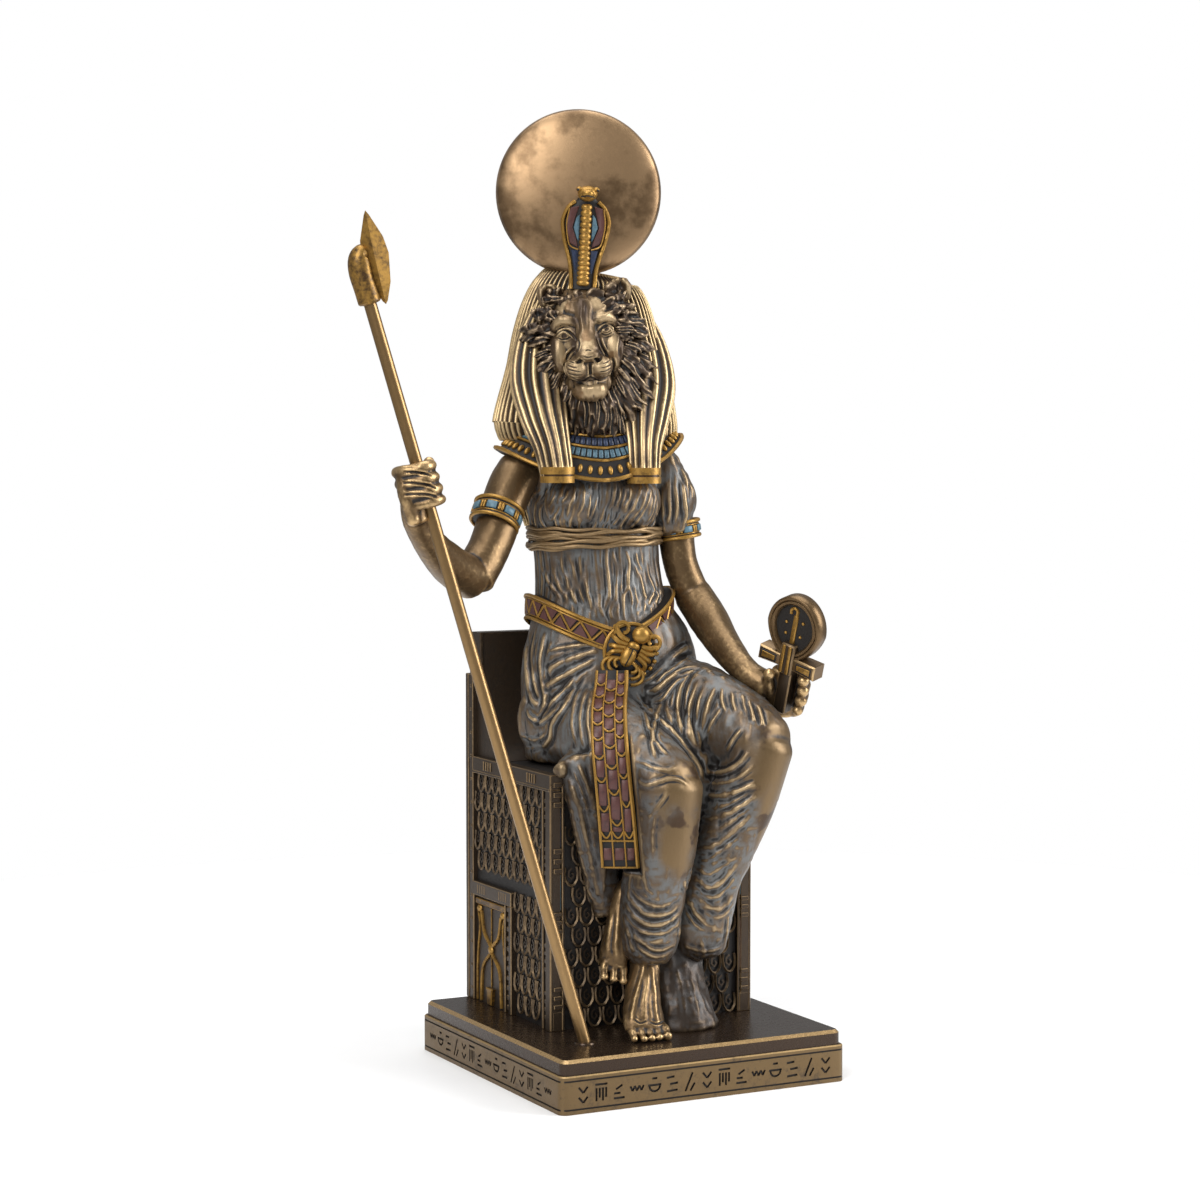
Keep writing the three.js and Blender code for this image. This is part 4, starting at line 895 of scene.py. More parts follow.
class Palette:
    """The finishes of the figure, each built once."""

    def __init__(self) -> None:
        """Builds every finish."""
        umber = srgb(30, 22, 16)
        steel = srgb(97, 99, 99)
        self.skin = Patina(
            "bronze_skin", umber, srgb(104, 83, 57), srgb(186, 156, 112), metal=0.8, rough=0.34,
            crest_start=0.2, crest_end=1.0,
        ).build()
        self.cloth = Patina(
            "bronze_cloth", srgb(27, 22, 19), srgb(92, 74, 55), srgb(176, 152, 116), wash=steel,
            wash_share=0.9, mottle=0.38, metal=0.65, rough=0.37, rubbed=srgb(112, 91, 62), stain=srgb(60, 43, 29),
            shade=srgb(38, 29, 24), crest_start=0.4, crest_end=1.4,
        ).build()
        self.cord = Patina(
            "bronze_cord", srgb(22, 17, 13), srgb(72, 56, 39), srgb(150, 124, 88), metal=0.65, rough=0.38,
            crest_start=0.35, crest_end=1.2,
        ).build()
        self.mane = Patina(
            "bronze_mane", srgb(18, 14, 11), srgb(58, 45, 34), srgb(160, 138, 110), metal=0.65, rough=0.36,
            crest_start=0.4, crest_end=1.2,
        ).build()
        # The face's rubbed colour is rubbed wear and a painted highlight in one.
        # The face's shade colour is painted shade, and also the dark of the eyes.
        self.face = Patina(
            "bronze_face", srgb(26, 20, 15), srgb(104, 84, 60), srgb(188, 164, 126), metal=0.55, rough=0.4,
            blotch=3.5, mottle=0.55, crest_start=0.35, crest_end=1.2, rubbed=srgb(178, 154, 118),
            stain=srgb(136, 108, 76), shade=srgb(52, 38, 28),
        ).build()
        self.wig = Patina(
            "bronze_headcloth", srgb(24, 18, 14), srgb(78, 61, 43), srgb(198, 172, 128), metal=0.7,
            rough=0.36, crest_start=0.2, crest_end=1.0,
        ).build()
        self.throne = Patina(
            "bronze_throne", srgb(22, 17, 14), srgb(62, 50, 38), srgb(140, 116, 84), metal=0.6, rough=0.4,
        ).build()
        self.plinth = Patina(
            "bronze_plinth", srgb(30, 22, 17), srgb(56, 43, 33), srgb(172, 142, 98), metal=0.65, rough=0.26,
        ).build()
        self.band = Patina(
            "bronze_band", srgb(44, 33, 23), srgb(106, 86, 58), srgb(168, 140, 96), metal=0.7, rough=0.4,
            mottle=0.9, blotch=5.0,
        ).build()
        self.engraved = Paint("engraved_strokes", srgb(38, 28, 21), srgb(22, 17, 13), 0.2, 0.6).build()
        self.disc = Patina(
            "bronze_disc", srgb(84, 64, 45), srgb(152, 124, 92), srgb(196, 168, 128), metal=0.8, rough=0.36,
            mottle=0.3, blotch=15.0, grain=0.012, blotch_colour=srgb(92, 71, 48),
        ).build()
        self.staff = Patina(
            "bronze_staff", srgb(88, 68, 44), srgb(142, 114, 76), srgb(186, 156, 108), metal=0.85, rough=0.3,
            mottle=0.5, blotch=30.0,
        ).build()
        self.gold = Paint("old_gold", srgb(160, 122, 58), srgb(62, 42, 20), 0.7, 0.38).build()
        self.maroon = Paint("maroon_inlay", srgb(84, 50, 46), srgb(44, 26, 25), 0.15, 0.42).build()
        self.navy = Paint("dark_blue_inlay", srgb(42, 53, 78), srgb(18, 23, 36), 0.2, 0.4).build()
        self.sky = Paint("light_blue_inlay", srgb(82, 112, 126), srgb(36, 54, 66), 0.15, 0.42).build()


@dataclass
class Figure:
    """What every sub-assembly needs: the finishes, the photograph's view and the pieces made so far."""

    palette: Palette
    view: PhotoView
    pieces: list[bpy.types.Object] = field(default_factory=list)

    def place(
        self, name: str, mesh: bpy.types.Mesh, finishes: Sequence[bpy.types.Material],
        sharp: float | None = None, slot: str = "bronze", node: str = "statue",
    ) -> bpy.types.Object:
        """Puts a finished mesh in the frame as a piece of the figure.

        Args:
            name: The piece's name.
            mesh: Its mesh, in millimetres.
            finishes: Its finishes, in the order of their numbers.
            sharp: The angle in degrees past which an edge stays sharp, or nothing for none.
            slot: The record's material slot, which is not used.
            node: The solid that it stands for.

        Returns:
            The piece.
        """
        mesh.transform(Matrix.Scale(MM, 4))
        mesh.name = name
        if not mesh.materials:
            for finish in finishes:
                mesh.materials.append(finish)
        mesh.shade_smooth()
        if sharp is not None:
            mesh.set_sharp_from_angle(angle=math.radians(sharp))
        piece = bpy.data.objects.new(name, mesh)
        bpy.context.scene.collection.objects.link(piece)
        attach(piece, "root")
        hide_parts(node)
        self.pieces.append(piece)
        mesh.calc_loop_triangles()
        log.info("%s: %d triangles", name, len(mesh.loop_triangles))
        return piece


@dataclass
class Plinth:
    """The stepped plinth: an inscribed band, a set-back slab and the boss that the staff stands in."""

    width: float = 92.0
    depth: float = 94.9
    height: float = 15.0
    band: float = 10.75
    inset: float = 0.8
    edge: float = 0.9
    corner: float = 2.4
    groove: float = 0.5
    margin: float = 1.4
    sign_pitch: float = 5.6
    stroke: float = 0.62
    stroke_depth: float = 0.5
    boss_radius: float = 3.3
    boss_height: float = 0.7
    staff_foot: Triple = (-29.0, -28.5, 15.0)

    def slab(self, clay: Clay, low: float, high: float, inset: float, worn: float, finish: int) -> None:
        """Adds one layer with round corners and a worn upper edge.

        Args:
            clay: The clay that takes it.
            low: Its underside.
            high: Its top.
            inset: How far it stands back from the plinth's outline.
            worn: How far its upper edge is worn back.
            finish: The number of its finish.
        """
        half = np.array([self.width / 2 - inset, self.depth / 2 - inset])
        steps = 6
        outline = []
        for index, (sx, sy) in enumerate(((1, 1), (-1, 1), (-1, -1), (1, -1))):
            for i in range(steps + 1):
                angle = (index + i / steps) * math.pi / 2
                outline.append((
                    sx * (half[0] - self.corner) + self.corner * math.cos(angle),
                    sy * (half[1] - self.corner) + self.corner * math.sin(angle),
                ))
        clay.prism(outline, low, high, Matrix.Identity(4), worn, finish, 0.0, 0.95)

    def signs(self, clay: Clay, length: float, place: Matrix, start: int) -> None:
        """Adds the cutters of one row of strokes.

        Args:
            clay: The clay that takes them.
            length: The row's length.
            place: The frame of the face, with its third axis outwards.
            start: Which sign comes first.
        """
        low, high = 2 * self.margin, self.band - 2 * self.margin
        mid, w = (low + high) / 2, self.stroke
        reach = self.stroke_depth

        def bar(u0: float, v0: float, u1: float, v1: float) -> None:
            """One stroke from one place to another."""
            along = np.array([u1 - u0, v1 - v0])
            size = float(np.linalg.norm(along))
            turn = Matrix.Rotation(math.atan2(along[1], along[0]), 4, "Z")
            clay.box((0, -w / 2, -reach), (size, w / 2, 1), place=place @ Matrix.Translation((u0, v0, 0)) @ turn)

        def sign(kind: int, c: float) -> None:
            """One sign of plain strokes about c."""
            if kind == 0:
                for level in (mid + 0.5, low + 0.3):
                    bar(c - 1.4, level + 1.6, c, level)
                    bar(c, level, c + 1.4, level + 1.6)
            elif kind == 1:
                bar(c - 1.7, low + 0.6, c + 1.7, low + 0.8)
                bar(c - 0.7, mid, c + 1.8, mid + 0.2)
                bar(c - 1.8, high - 0.7, c + 0.7, high - 0.5)
            elif kind == 2:
                for k in range(6):
                    rise = 0.7 if k % 2 else -0.7
                    bar(c - 2.1 + 0.7 * k, mid - rise, c - 1.4 + 0.7 * k, mid + rise)
            elif kind == 3:
                for k in range(4):
                    bar(c - 1.5 + k, low + 0.3 + 0.9 * (k % 2), c - 1.5 + k, high - 1.2)
                bar(c - 1.9, high - 0.2, c + 1.9, high - 0.2)
            elif kind == 4:
                bar(c - 1.4, low, c + 0.9, high)
                bar(c + 0.2, low, c + 1.6, mid - 0.4)
            elif kind == 5:
                for k in range(5):
                    a, b = math.pi * (1 + k / 5), math.pi * (1 + (k + 1) / 5)
                    bar(c + 1.7 * math.cos(a), mid + 1.5 * math.sin(a),
                        c + 1.7 * math.cos(b), mid + 1.5 * math.sin(b))
                bar(c - 2.1, mid + 0.3, c + 2.1, mid + 0.3)
                bar(c - 0.8, high - 0.4, c + 0.8, high - 0.4)
            else:
                bar(c - 1.7, low + 0.5, c + 1.7, low + 0.5)
                bar(c - 1.0, mid + 0.4, c + 1.0, mid + 1.5)
                bar(c - 1.6, mid - 0.7, c + 0.4, mid - 0.7)

        count = int((length - 3 * self.corner) / self.sign_pitch)
        for i in range(count):
            sign((start + i * 3) % 7, (i - (count - 1) / 2) * self.sign_pitch)

    def build(self, figure: Figure) -> None:
        """Builds the plinth with its strokes and border lines cut in.

        Args:
            figure: The figure that takes it.
        """
        base = Clay()
        self.slab(base, 0.0, self.band, 0.0, 0.35, 1)
        self.slab(base, self.band - 3.0, self.height, self.inset, self.edge, 0)
        foot = np.array(self.staff_foot)
        base.tube(
            [(foot[0], foot[1], self.height - 1, self.boss_radius), (foot[0], foot[1],
             self.height + 0.4 * self.boss_height, self.boss_radius - 0.3)],
            32, 8, tips=0.15, material=0, tone=0.3,
        )
        cuts = Clay()
        front = Matrix(((1, 0, 0, 0), (0, 0, -1, -self.depth / 2), (0, 1, 0, 0), (0, 0, 0, 1)))
        right = Matrix(((0, 0, -1, -self.width / 2), (-1, 0, 0, 0), (0, 1, 0, 0), (0, 0, 0, 1)))
        self.signs(cuts, self.width, front, 0)
        self.signs(cuts, self.depth, right, 2)
        reach = max(self.width, self.depth)
        for z in (self.margin, self.band - self.margin):
            for sx, sy in ((1, 0), (-1, 0), (0, 1), (0, -1)):
                edge = np.array([sx * self.width / 2, sy * self.depth / 2])
                low = [edge[0] - self.groove * 0.8, edge[1] - self.groove * 0.8, z - self.groove / 2]
                high = [edge[0] + self.groove * 0.8, edge[1] + self.groove * 0.8, z + self.groove / 2]
                for axis, along in ((1, sx), (0, sy)):
                    if along:
                        low[axis], high[axis] = -reach, reach
                cuts.box(low, high)
        pieces = []
        for name, clay, finishes in (
            ("plinth_blank", base, (figure.palette.plinth, figure.palette.band)),
            ("plinth_cuts", cuts, (figure.palette.engraved,)),
        ):
            holder = bpy.data.objects.new(name, clay.mesh(name, finishes))
            bpy.context.scene.collection.objects.link(holder)
            pieces.append(holder)
        blank, cutter = pieces
        cut = blank.modifiers.new("strokes", "BOOLEAN")
        cut.operation = "DIFFERENCE"
        cut.solver = "EXACT"
        cut.use_self = True
        cut.material_mode = "TRANSFER"
        cut.object = cutter
        view = bpy.context.evaluated_depsgraph_get()
        mesh = bpy.data.meshes.new_from_object(blank.evaluated_get(view))
        finishes = list(mesh.materials)
        for holder in pieces:
            bpy.data.objects.remove(holder)
        figure.place("plinth", mesh, finishes, sharp=30)


@dataclass
class Throne:
    """The throne: framed fields of looped scales, a door panel on each side, posts and a swept back."""

    width: float = 66.9
    depth: float = 58.1
    shift: float = 1.85
    plinth: Plinth = field(default_factory=Plinth)
    setback: float = 0.9
    seat: float = 74.4
    post_height: float = 99.3
    post_depth: float = 5.2
    back_height: float = 112.0
    back_thickness: float = 9.0
    back_inset: float = 1.6
    sweep: float = 13.0
    top_band: float = 4.4
    frame: float = 6.0
    recess: float = 1.5
    scale_width: float = 5.0
    scale_height: float = 5.95
    door_width: float = 27.0
    door_height: float = 36.5
    door_frame: float = 4.6
    front_post: float = 4.8
    front_rail: float = 3.0
    lap: float = 0.15

    def __post_init__(self) -> None:
        """Works out the throne's faces."""
        self.floor = self.plinth.height
        self.back = self.plinth.depth / 2 - self.setback
        self.front = self.back - self.depth
        self.top = self.floor + self.seat
        self.low_x = self.shift - self.width / 2
        self.high_x = self.shift + self.width / 2

    def side(self, near: bool) -> Matrix:
        """The frame of a side: first axis towards the back, second up, third outwards."""
        x = self.low_x if near else self.high_x
        out = -1 if near else 1
        return Matrix(((0, 0, out, x), (1, 0, 0, 0), (0, 1, 0, 0), (0, 0, 0, 1)))

    def face(self) -> Matrix:
        """The frame of the front: first axis to the left, second up, third outwards."""
        return Matrix(((1, 0, 0, 0), (0, 0, -1, self.front), (0, 1, 0, 0), (0, 0, 0, 1)))

    def scale(self, clay: Clay, place: Matrix, u: float, top: float) -> None:
        """Adds one scale: a loop that hangs from its course, with a curl inside.

        Args:
            clay: The clay that takes it.
            place: The frame of the field, with its third axis outwards.
            u: The scale's middle.
            top: Its upper edge.
        """
        half, tall = 0.43 * self.scale_width, 0.88 * self.scale_height
        loop = [
            (-0.86, 0.0), (-1.0, 0.38), (-0.86, 0.72), (-0.45, 0.96), (0.0, 1.04), (0.45, 0.96),
            (0.86, 0.72), (1.0, 0.38), (0.86, 0.0),
        ]
        lift = -self.recess + 0.35
        rim = [place @ Vector((u + a * half, top - b * tall, lift + 0.45 * b)) for a, b in loop]
        clay.wire(rim, 0.42, 4, 1, tone=0.55)
        curl = [(0.05, 0.06), (-0.4, 0.22), (-0.42, 0.5), (0.0, 0.66), (0.36, 0.48), (0.1, 0.32)]
        inner = [place @ Vector((u + a * half, top - b * tall, lift + 0.15)) for a, b in curl]
        clay.wire(inner, 0.3, 3, 1, tone=0.3)

    def scales(self, clay: Clay, place: Matrix, left: float, right: float, low: float, high: float) -> None:
        """Adds courses of scales to a recessed field.

        Args:
            clay: The clay that takes them.
            place: The frame of the field's face.
            left: Where the field starts along the first axis.
            right: Where it ends.
            low: Its lower edge.
            high: Its upper edge.
        """
        rows = int((high - low) / self.scale_height)
        for row in range(rows):
            start = left + (0.75 if row % 2 else 0.25) * self.scale_width + 0.25 * self.scale_width
            count = int((right - start - 0.3 * self.scale_width) / self.scale_width) + 1
            for i in range(count):
                self.scale(clay, place, start + i * self.scale_width, high - 0.3 - row * self.scale_height)

    def panel(self, clay: Clay, place: Matrix, box: Sequence[float], low: float, high: float, **look) -> None:
        """Adds a raised bar given by its left, low, right and high edges on a face.

        Args:
            clay: The clay that takes it.
            place: The frame of the face.
            box: The bar's left, low, right and high edges.
            low: Where it starts along the third axis.
            high: Where it ends.
            look: Its bevel, finish, tone and wear.
        """
        left, bottom, right, top = box
        clay.box((left, bottom, low), (right, top, high), place=place, **look)

    def bars(self, clay: Clay, place: Matrix, box: Sequence[float], count: int, upright: bool) -> None:
        """Adds a group of thin raised bars that fills a box on a face.

        Args:
            clay: The clay that takes them.
            place: The frame of the face.
            box: The group's left, low, right and high edges.
            count: How many bars.
            upright: Whether the bars stand up.
        """
        left, bottom, right, top = box
        for i in range(count):
            if upright:
                step = (right - left) / (2 * count - 1)
                bar = (left + 2 * i * step, bottom, left + (2 * i + 1) * step, top)
            else:
                step = (top - bottom) / (2 * count - 1)
                bar = (left, bottom + 2 * i * step, right, bottom + (2 * i + 1) * step)
            self.panel(clay, place, bar, -0.8, 0.35, bevel=0.18, tone=0.25, wear=0.9)

    def side_panels(self, clay: Clay, near: bool) -> None:
        """Adds everything on one side.

        Args:
            clay: The clay that takes it.
            near: Whether it is the figure's right side.
        """
        place = self.side(near)
        front, back = self.front + self.frame, self.back - self.post_depth
        door_front = back - self.door_width
        door_top = self.floor + self.door_height
        band_low = self.top - self.top_band
        deep = -self.recess - 2
        worn = {"bevel": 0.22, "tone": -0.05, "wear": 0.75}
        self.panel(clay, place, (self.front + self.lap, band_low, back, self.top), deep, 0, **worn)
        self.panel(clay, place, (self.front + 0.4, band_low - 0.5, back, band_low + 0.35), deep, 0.2, **worn)
        for middle in (self.front + 12.5, self.front + 42.5):
            self.bars(clay, place, (middle - 2.8, band_low + 0.9, middle + 2.8, self.top - 0.8), 4, True)
        self.panel(clay, place, (self.front + self.lap, self.floor, self.front + 2.3, band_low), deep, 0, **worn)
        self.panel(clay, place, (self.front + 4.9, self.floor, front, band_low), deep, 0, **worn)
        self.panel(clay, place, (self.front + 2.3, self.floor, self.front + 4.9, band_low), deep, -0.7, tone=-0.6)
        rungs = 30
        for i in range(rungs):
            z = self.floor + (i + 0.3) * (self.seat - self.top_band) / rungs
            if i % 6 in (1, 2, 3, 4):
                bar = (self.front + 2.7, z, self.front + 4.5, z + 1.1)
                self.panel(clay, place, bar, -1.0, -0.25, bevel=0.15, tone=0.2, wear=0.8)
        self.panel(clay, place, (back, self.floor, self.back - 2.8, self.floor + self.post_height), deep, 0, **worn)
        post_top = self.floor + self.post_height
        self.panel(clay, place, (self.back - 2.0, self.floor, self.back - self.lap, post_top), deep, 0, **worn)
        self.panel(clay, place, (self.back - 2.8, self.floor, self.back - 2.0, post_top), deep, -0.5, tone=-0.7)
        studs = 14
        for i in range(studs):
            z = self.floor + (i + 0.5) * self.post_height / studs
            bar = (self.back - 4.6, z - 0.5, self.back - 3.4, z + 0.5)
            self.panel(clay, place, bar, -0.5, 0.25, bevel=0.2, tone=0.1, wear=0.6)
        self.scales(clay, place, front, back, door_top + 0.6, band_low)
        self.scales(clay, place, front, door_front, self.floor, door_top + 0.6)
        self.door(clay, place, door_front, back, door_top)

    def door(self, clay: Clay, place: Matrix, front: float, back: float, top: float) -> None:
        """Adds the door panel with its tied plants.

        Args:
            clay: The clay that takes it.
            place: The frame of the side.
            front: The panel's front edge.
            back: Its rear edge.
            top: Its upper edge.
        """
        worn = {"bevel": 0.22, "tone": 0.0, "wear": 0.85}
        deep = -self.recess - 2
        lintel = 4.2
        self.panel(clay, place, (front, top - lintel, back, top), deep, 0.25, **worn)
        for middle in (front + 6.0, back - 6.0):
            self.bars(clay, place, (middle - 2.7, top - lintel + 0.8, middle + 2.7, top - 0.7), 4, True)
        self.panel(clay, place, (front, self.floor, front + 1.7, top - lintel), deep, 0.2, **worn)
        self.panel(clay, place, (front + 4.3, self.floor, front + 5.0, top - lintel), deep, 0.1, **worn)
        self.panel(clay, place, (front + 1.7, self.floor, front + 4.3, top - lintel), deep, -0.9, tone=-0.6)
        studs = 11
        for i in range(studs):
            z = self.floor + (i + 0.6) * (top - lintel - self.floor) / studs
            self.panel(
                clay, place, (front + 2.1, z - 0.8, front + 3.9, z + 0.8), -1.1, -0.2, bevel=0.3,
                tone=0.1, wear=0.7,
            )
        inner, outer, high = front + 5.0, back - 0.6, top - lintel
        self.panel(clay, place, (outer, self.floor, back, high), deep, 0.1, **worn)
        self.panel(clay, place, (inner, self.floor, outer, high), deep, -1.1, tone=-0.25)
        self.panel(
            clay, place, (inner + 0.6, high - 2.6, outer - 0.4, high - 0.8), -1.3, -0.3, bevel=0.25,
            material=1, tone=-0.25, wear=0.5,
        )
        middle, low = (inner + outer) / 2, self.floor
        level, reach = low + 0.52 * (high - low), 0.46 * (outer - inner)
        gold = {"material": 1, "tone": 0.1, "steps": 5, "sides": 6}

        def stem(points: Sequence[Pixel], radius: float) -> None:
            """One gold stem on the panel."""
            clay.wire([place @ Vector((u, v, -0.9)) for u, v in points], radius, **gold)

        for hand in (-1, 1):
            out = hand * reach
            stem([
                (middle + 0.72 * out, low + 0.4), (middle + 0.66 * out, low + 0.26 * (high - low)),
                (middle + 0.5 * out, low + 0.38 * (high - low)), (middle + 0.06 * hand, level),
                (middle + 0.5 * out, level + 0.14 * (high - low)), (middle + 0.7 * out, level + 0.34 * (high - low)),
            ], 0.62)
            stem([
                (middle + 1.02 * out, low + 0.2), (middle + 0.98 * out, low + 0.4 * (high - low)),
                (middle + 0.82 * out, level + 0.2 * (high - low)), (middle + 0.98 * out, level + 0.36 * (high - low)),
            ], 0.42)
            clay.blob(
                np.eye(3), place @ Vector((middle + 0.82 * out, level + 0.36 * (high - low), -0.8)),
                (0.7, 1.3, 1.1), material=1, tone=0.3, columns=8, rows=6,
            )
        clay.blob(np.eye(3), place @ Vector((middle, level, -0.7)), (0.8, 1.5, 1.3), 1, 0.3, 10, 6)
        stem([(middle, low + 5.5), (middle, high - 3)], 0.22)
        pot = [(-1.3, 0.2), (1.3, 0.2), (1.9, 4.4), (2.5, 5.2), (-2.5, 5.2), (-1.9, 4.4)]
        clay.prism(
            [(middle + u, low + v) for u, v in pot], -1.3, 0.1, place, bevel=0.3, material=1, tone=-0.1,
            wear=0.6,
        )

    def front_panels(self, clay: Clay) -> None:
        """Adds the front posts with their inlays, the rail and the field of scales.

        Args:
            clay: The clay that takes them.
        """
        place = self.face()
        left, right = self.low_x + self.front_post, self.high_x - self.front_post
        deep = -self.recess - 2
        worn = {"bevel": 0.22, "tone": 0.0, "wear": 0.85}
        rail = (self.low_x + self.lap, self.top - self.front_rail, self.high_x - self.lap, self.top - 0.5 * self.lap)
        self.panel(clay, place, rail, deep, 0, **worn)
        self.scales(clay, place, left, right, self.floor, self.top - self.front_rail)
        rows = [
            (72.2, 65.0, None), (64.5, 53.5, 2), (53.0, 45.8, None), (45.4, 35.0, 3), (34.6, 28.4, None),
            (28.0, 13.2, 4), (12.8, 6.4, None),
        ]
        for post in (self.low_x, right):
            edges = (
                (post + self.lap, post + 0.9), (post + self.front_post - 0.9, post + self.front_post - self.lap),
            )
            for low, high in edges:
                box = (low, self.floor, high, self.top - self.front_rail)
                self.panel(clay, place, box, deep, 0, **worn)
            box = (post + 0.9, self.floor, post + self.front_post - 0.9, self.top - self.front_rail)
            self.panel(clay, place, box, deep, -0.8, tone=-0.8)
            for high, low, inlay in rows:
                box = (post + 1.1, self.floor + low, post + self.front_post - 1.1, self.floor + high)
                if inlay is None:
                    self.bars(clay, place, box, 3, False)
                else:
                    self.panel(clay, place, box, -0.9, -0.35, bevel=0.15, material=inlay, tone=0.2, wear=0.1)
            box = (post + 0.9, self.floor, post + self.front_post - 0.9, self.floor + 5.6)
            self.panel(clay, place, box, deep, -0.1, **worn)

    def back_rest(self, clay: Clay) -> None:
        """Adds the low back, whose inner face sweeps forward into the seat.

        Args:
            clay: The clay that takes it.
        """
        face = self.back - self.back_thickness
        high = self.floor + self.back_height
        steps = 10
        curve = []
        start = np.array([face + 1, high])
        bend = np.array([face, self.top + 0.25 * self.sweep])
        end = np.array([face - self.sweep, self.top])
        for i in range(steps + 1):
            t = i / steps
            curve.append(tuple((1 - t) ** 2 * start + 2 * t * (1 - t) * bend + t * t * end))
        outline = [
            (self.back, self.top - 2), (self.back, high - 1.5), (self.back - 0.6, high - 0.4),
            (self.back - 2, high), *curve, (face - self.sweep, self.top - 2),
        ]
        low, up = self.low_x + self.back_inset, self.high_x - self.back_inset
        place = Matrix(((0, 0, 1, 0), (1, 0, 0, 0), (0, 1, 0, 0), (0, 0, 0, 1)))
        clay.prism(outline, low, up, place, tone=-0.2)
        for x in (low, up):
            rim = [(x, y, z + 0.05) for y, z in curve]
            clay.wire(rim, 0.5, 6, 1, tone=0.45)
        clay.wire([(low, face + 1.4, high - 0.35), (up, face + 1.4, high - 0.35)], 0.5, 6, 8, tone=0.3)

    def build(self, figure: Figure) -> None:
        """Builds the throne.

        Args:
            figure: The figure that takes it.
        """
        clay = Clay()
        deep = self.recess
        clay.box(
            (self.low_x + deep, self.front + deep, self.floor - 1),
            (self.high_x - deep, self.back - deep / 2, self.top - self.lap), tone=-0.85,
        )
        for near in (True, False):
            self.side_panels(clay, near)
            x, hand = (self.low_x, 1) if near else (self.high_x, -1)
            inner = x + hand * (self.back_inset + self.lap)
            post_top = self.floor + self.post_height - self.lap
            clay.box(
                (x + hand * self.lap, self.back - self.post_depth + self.lap, self.top - 1),
                (inner, self.back - 2 * self.lap, post_top), 0.2, 0, 0.0, 0.8,
            )
        self.front_panels(clay)
        self.back_rest(clay)
        rear = Matrix(((-1, 0, 0, 0), (0, 0, 1, self.back), (0, 1, 0, 0), (0, 0, 0, 1)))
        left, right, band = self.lap - self.high_x, -self.low_x - self.lap, self.top - self.top_band
        for box, out in (
            ((left, self.floor, left + self.post_depth, band), self.lap),
            ((right - self.post_depth, self.floor, right, band), self.lap),
            ((left, band, right, self.top - self.lap), 1.6 * self.lap),
            ((left, self.floor, right, self.floor + 3), 1.6 * self.lap),
        ):
            self.panel(clay, rear, box, -deep / 2 - 1, out, bevel=0.25, tone=0.0, wear=0.8)
        palette = figure.palette
        finishes = (palette.throne, palette.gold, palette.navy, palette.sky, palette.maroon)
        figure.place("throne", clay.mesh("throne"), finishes, sharp=35)


@dataclass
class Staff:
    """The staff: a plain rod through the right fist, with a hooked sleeve and a leaf-shaped blade."""

    foot: Triple = (-29.0, -28.5, 15.0)
    grip: Triple = (-73.3, -17.6, 172.2)
    radius: float = 1.8
    socket: float = 3.7
    above_grip: float = 57.0
    sleeve_radius: float = 3.2
    sleeve_length: float = 13.4
    sleeve_overlap: float = 4.0
    blade_length: float = 26.0
    blade_width: float = 7.6
    blade_thickness: float = 5.0

    def __post_init__(self) -> None:
        """Works out the rod's axis and its length."""
        foot, grip = np.array(self.foot), np.array(self.grip)
        self.axis = unit(grip - foot)
        self.top = float(np.linalg.norm(grip - foot)) + self.above_grip

    def along(self, distance: float) -> Array:
        """A point on the rod's axis, at a distance from its foot."""
        return np.array(self.foot) + self.axis * distance

    def build(self, figure: Figure) -> None:
        """Builds the rod and its head.

        Args:
            figure: The figure that takes them.
        """
        rod = Clay()
        rod.tube(
            [(*self.along(-self.socket), self.radius), (*self.along(self.top), self.radius)], 32, 40, tips=0.0,
        )
        figure.place(
            "staff_rod", rod.mesh("staff_rod"), (figure.palette.staff,), 40, "staff_bronze", "staff_shaft",
        )
        head = Clay()
        ahead = np.array([0.889, -0.459, 0.0])
        ahead = unit(ahead - self.axis * (ahead @ self.axis))
        base = self.along(self.top - self.sleeve_overlap)
        bend = [(0, 0, 1.0), (0.3, 0, 1.02), (0.62, 0.0, 1.06), (0.86, 0.1, 1.04), (0.98, 0.3, 0.9), (1.0, 0.5, 0.6)]
        stations = []
        for up, out, share in bend:
            spot = base + self.axis * up * self.sleeve_length + ahead * out * 2 * self.sleeve_radius
            stations.append((*spot, self.sleeve_radius * share))
        head.tube(stations, 32, 30, ahead, tips=0.25, tone=0.0)
        head.tube(
            [(*(base + self.axis * 0.1), self.sleeve_radius), (*(base + self.axis * 1.2), self.sleeve_radius)],
            32, 8, ahead, tips=0.1, tone=0.7, carve=lambda t, angle: np.full_like(t, 1.0),
        )
        middle = base + self.axis * self.sleeve_length * 0.84 + ahead * 2 * self.sleeve_radius * 0.78
        rise = unit(np.array([-0.22, 0.03, 0.975]))
        wide = unit(ahead - rise * (ahead @ rise))
        thick = np.cross(rise, wide)
        outline = [(-0.5, 0.05), (-0.28, 0.34), (0.02, 0.5), (0.2, 0.42), (0.5, 0.03)]

        def blade(u: Array, v: Array) -> Array:
            """The faceted blade: a diamond section along a kite outline."""
            share, half = np.array([
                np.interp(v, np.linspace(0, 1, len(outline)), [row[k] for row in outline]) for k in range(2)
            ])
            half = np.where((v <= 0) | (v >= 1), 0, half)
            step = 4 * u % 4
            a = np.interp(step, [0, 1, 2, 3, 4], [1, 0, -1, 0, 1])
            b = np.interp(step, [0, 1, 2, 3, 4], [0, 1, 0, -1, 0])
            return (
                middle
                + rise * (share * self.blade_length)[:, None]
                + wide * (a * half * self.blade_width)[:, None]
                + thick * (b * half * self.blade_thickness)[:, None]
            )

        head.skin(blade, 16, 24, tone=0.15)
        figure.place("staff_head", head.mesh("staff_head"), (figure.palette.gold,), 28, "old_gold", "staff_head")


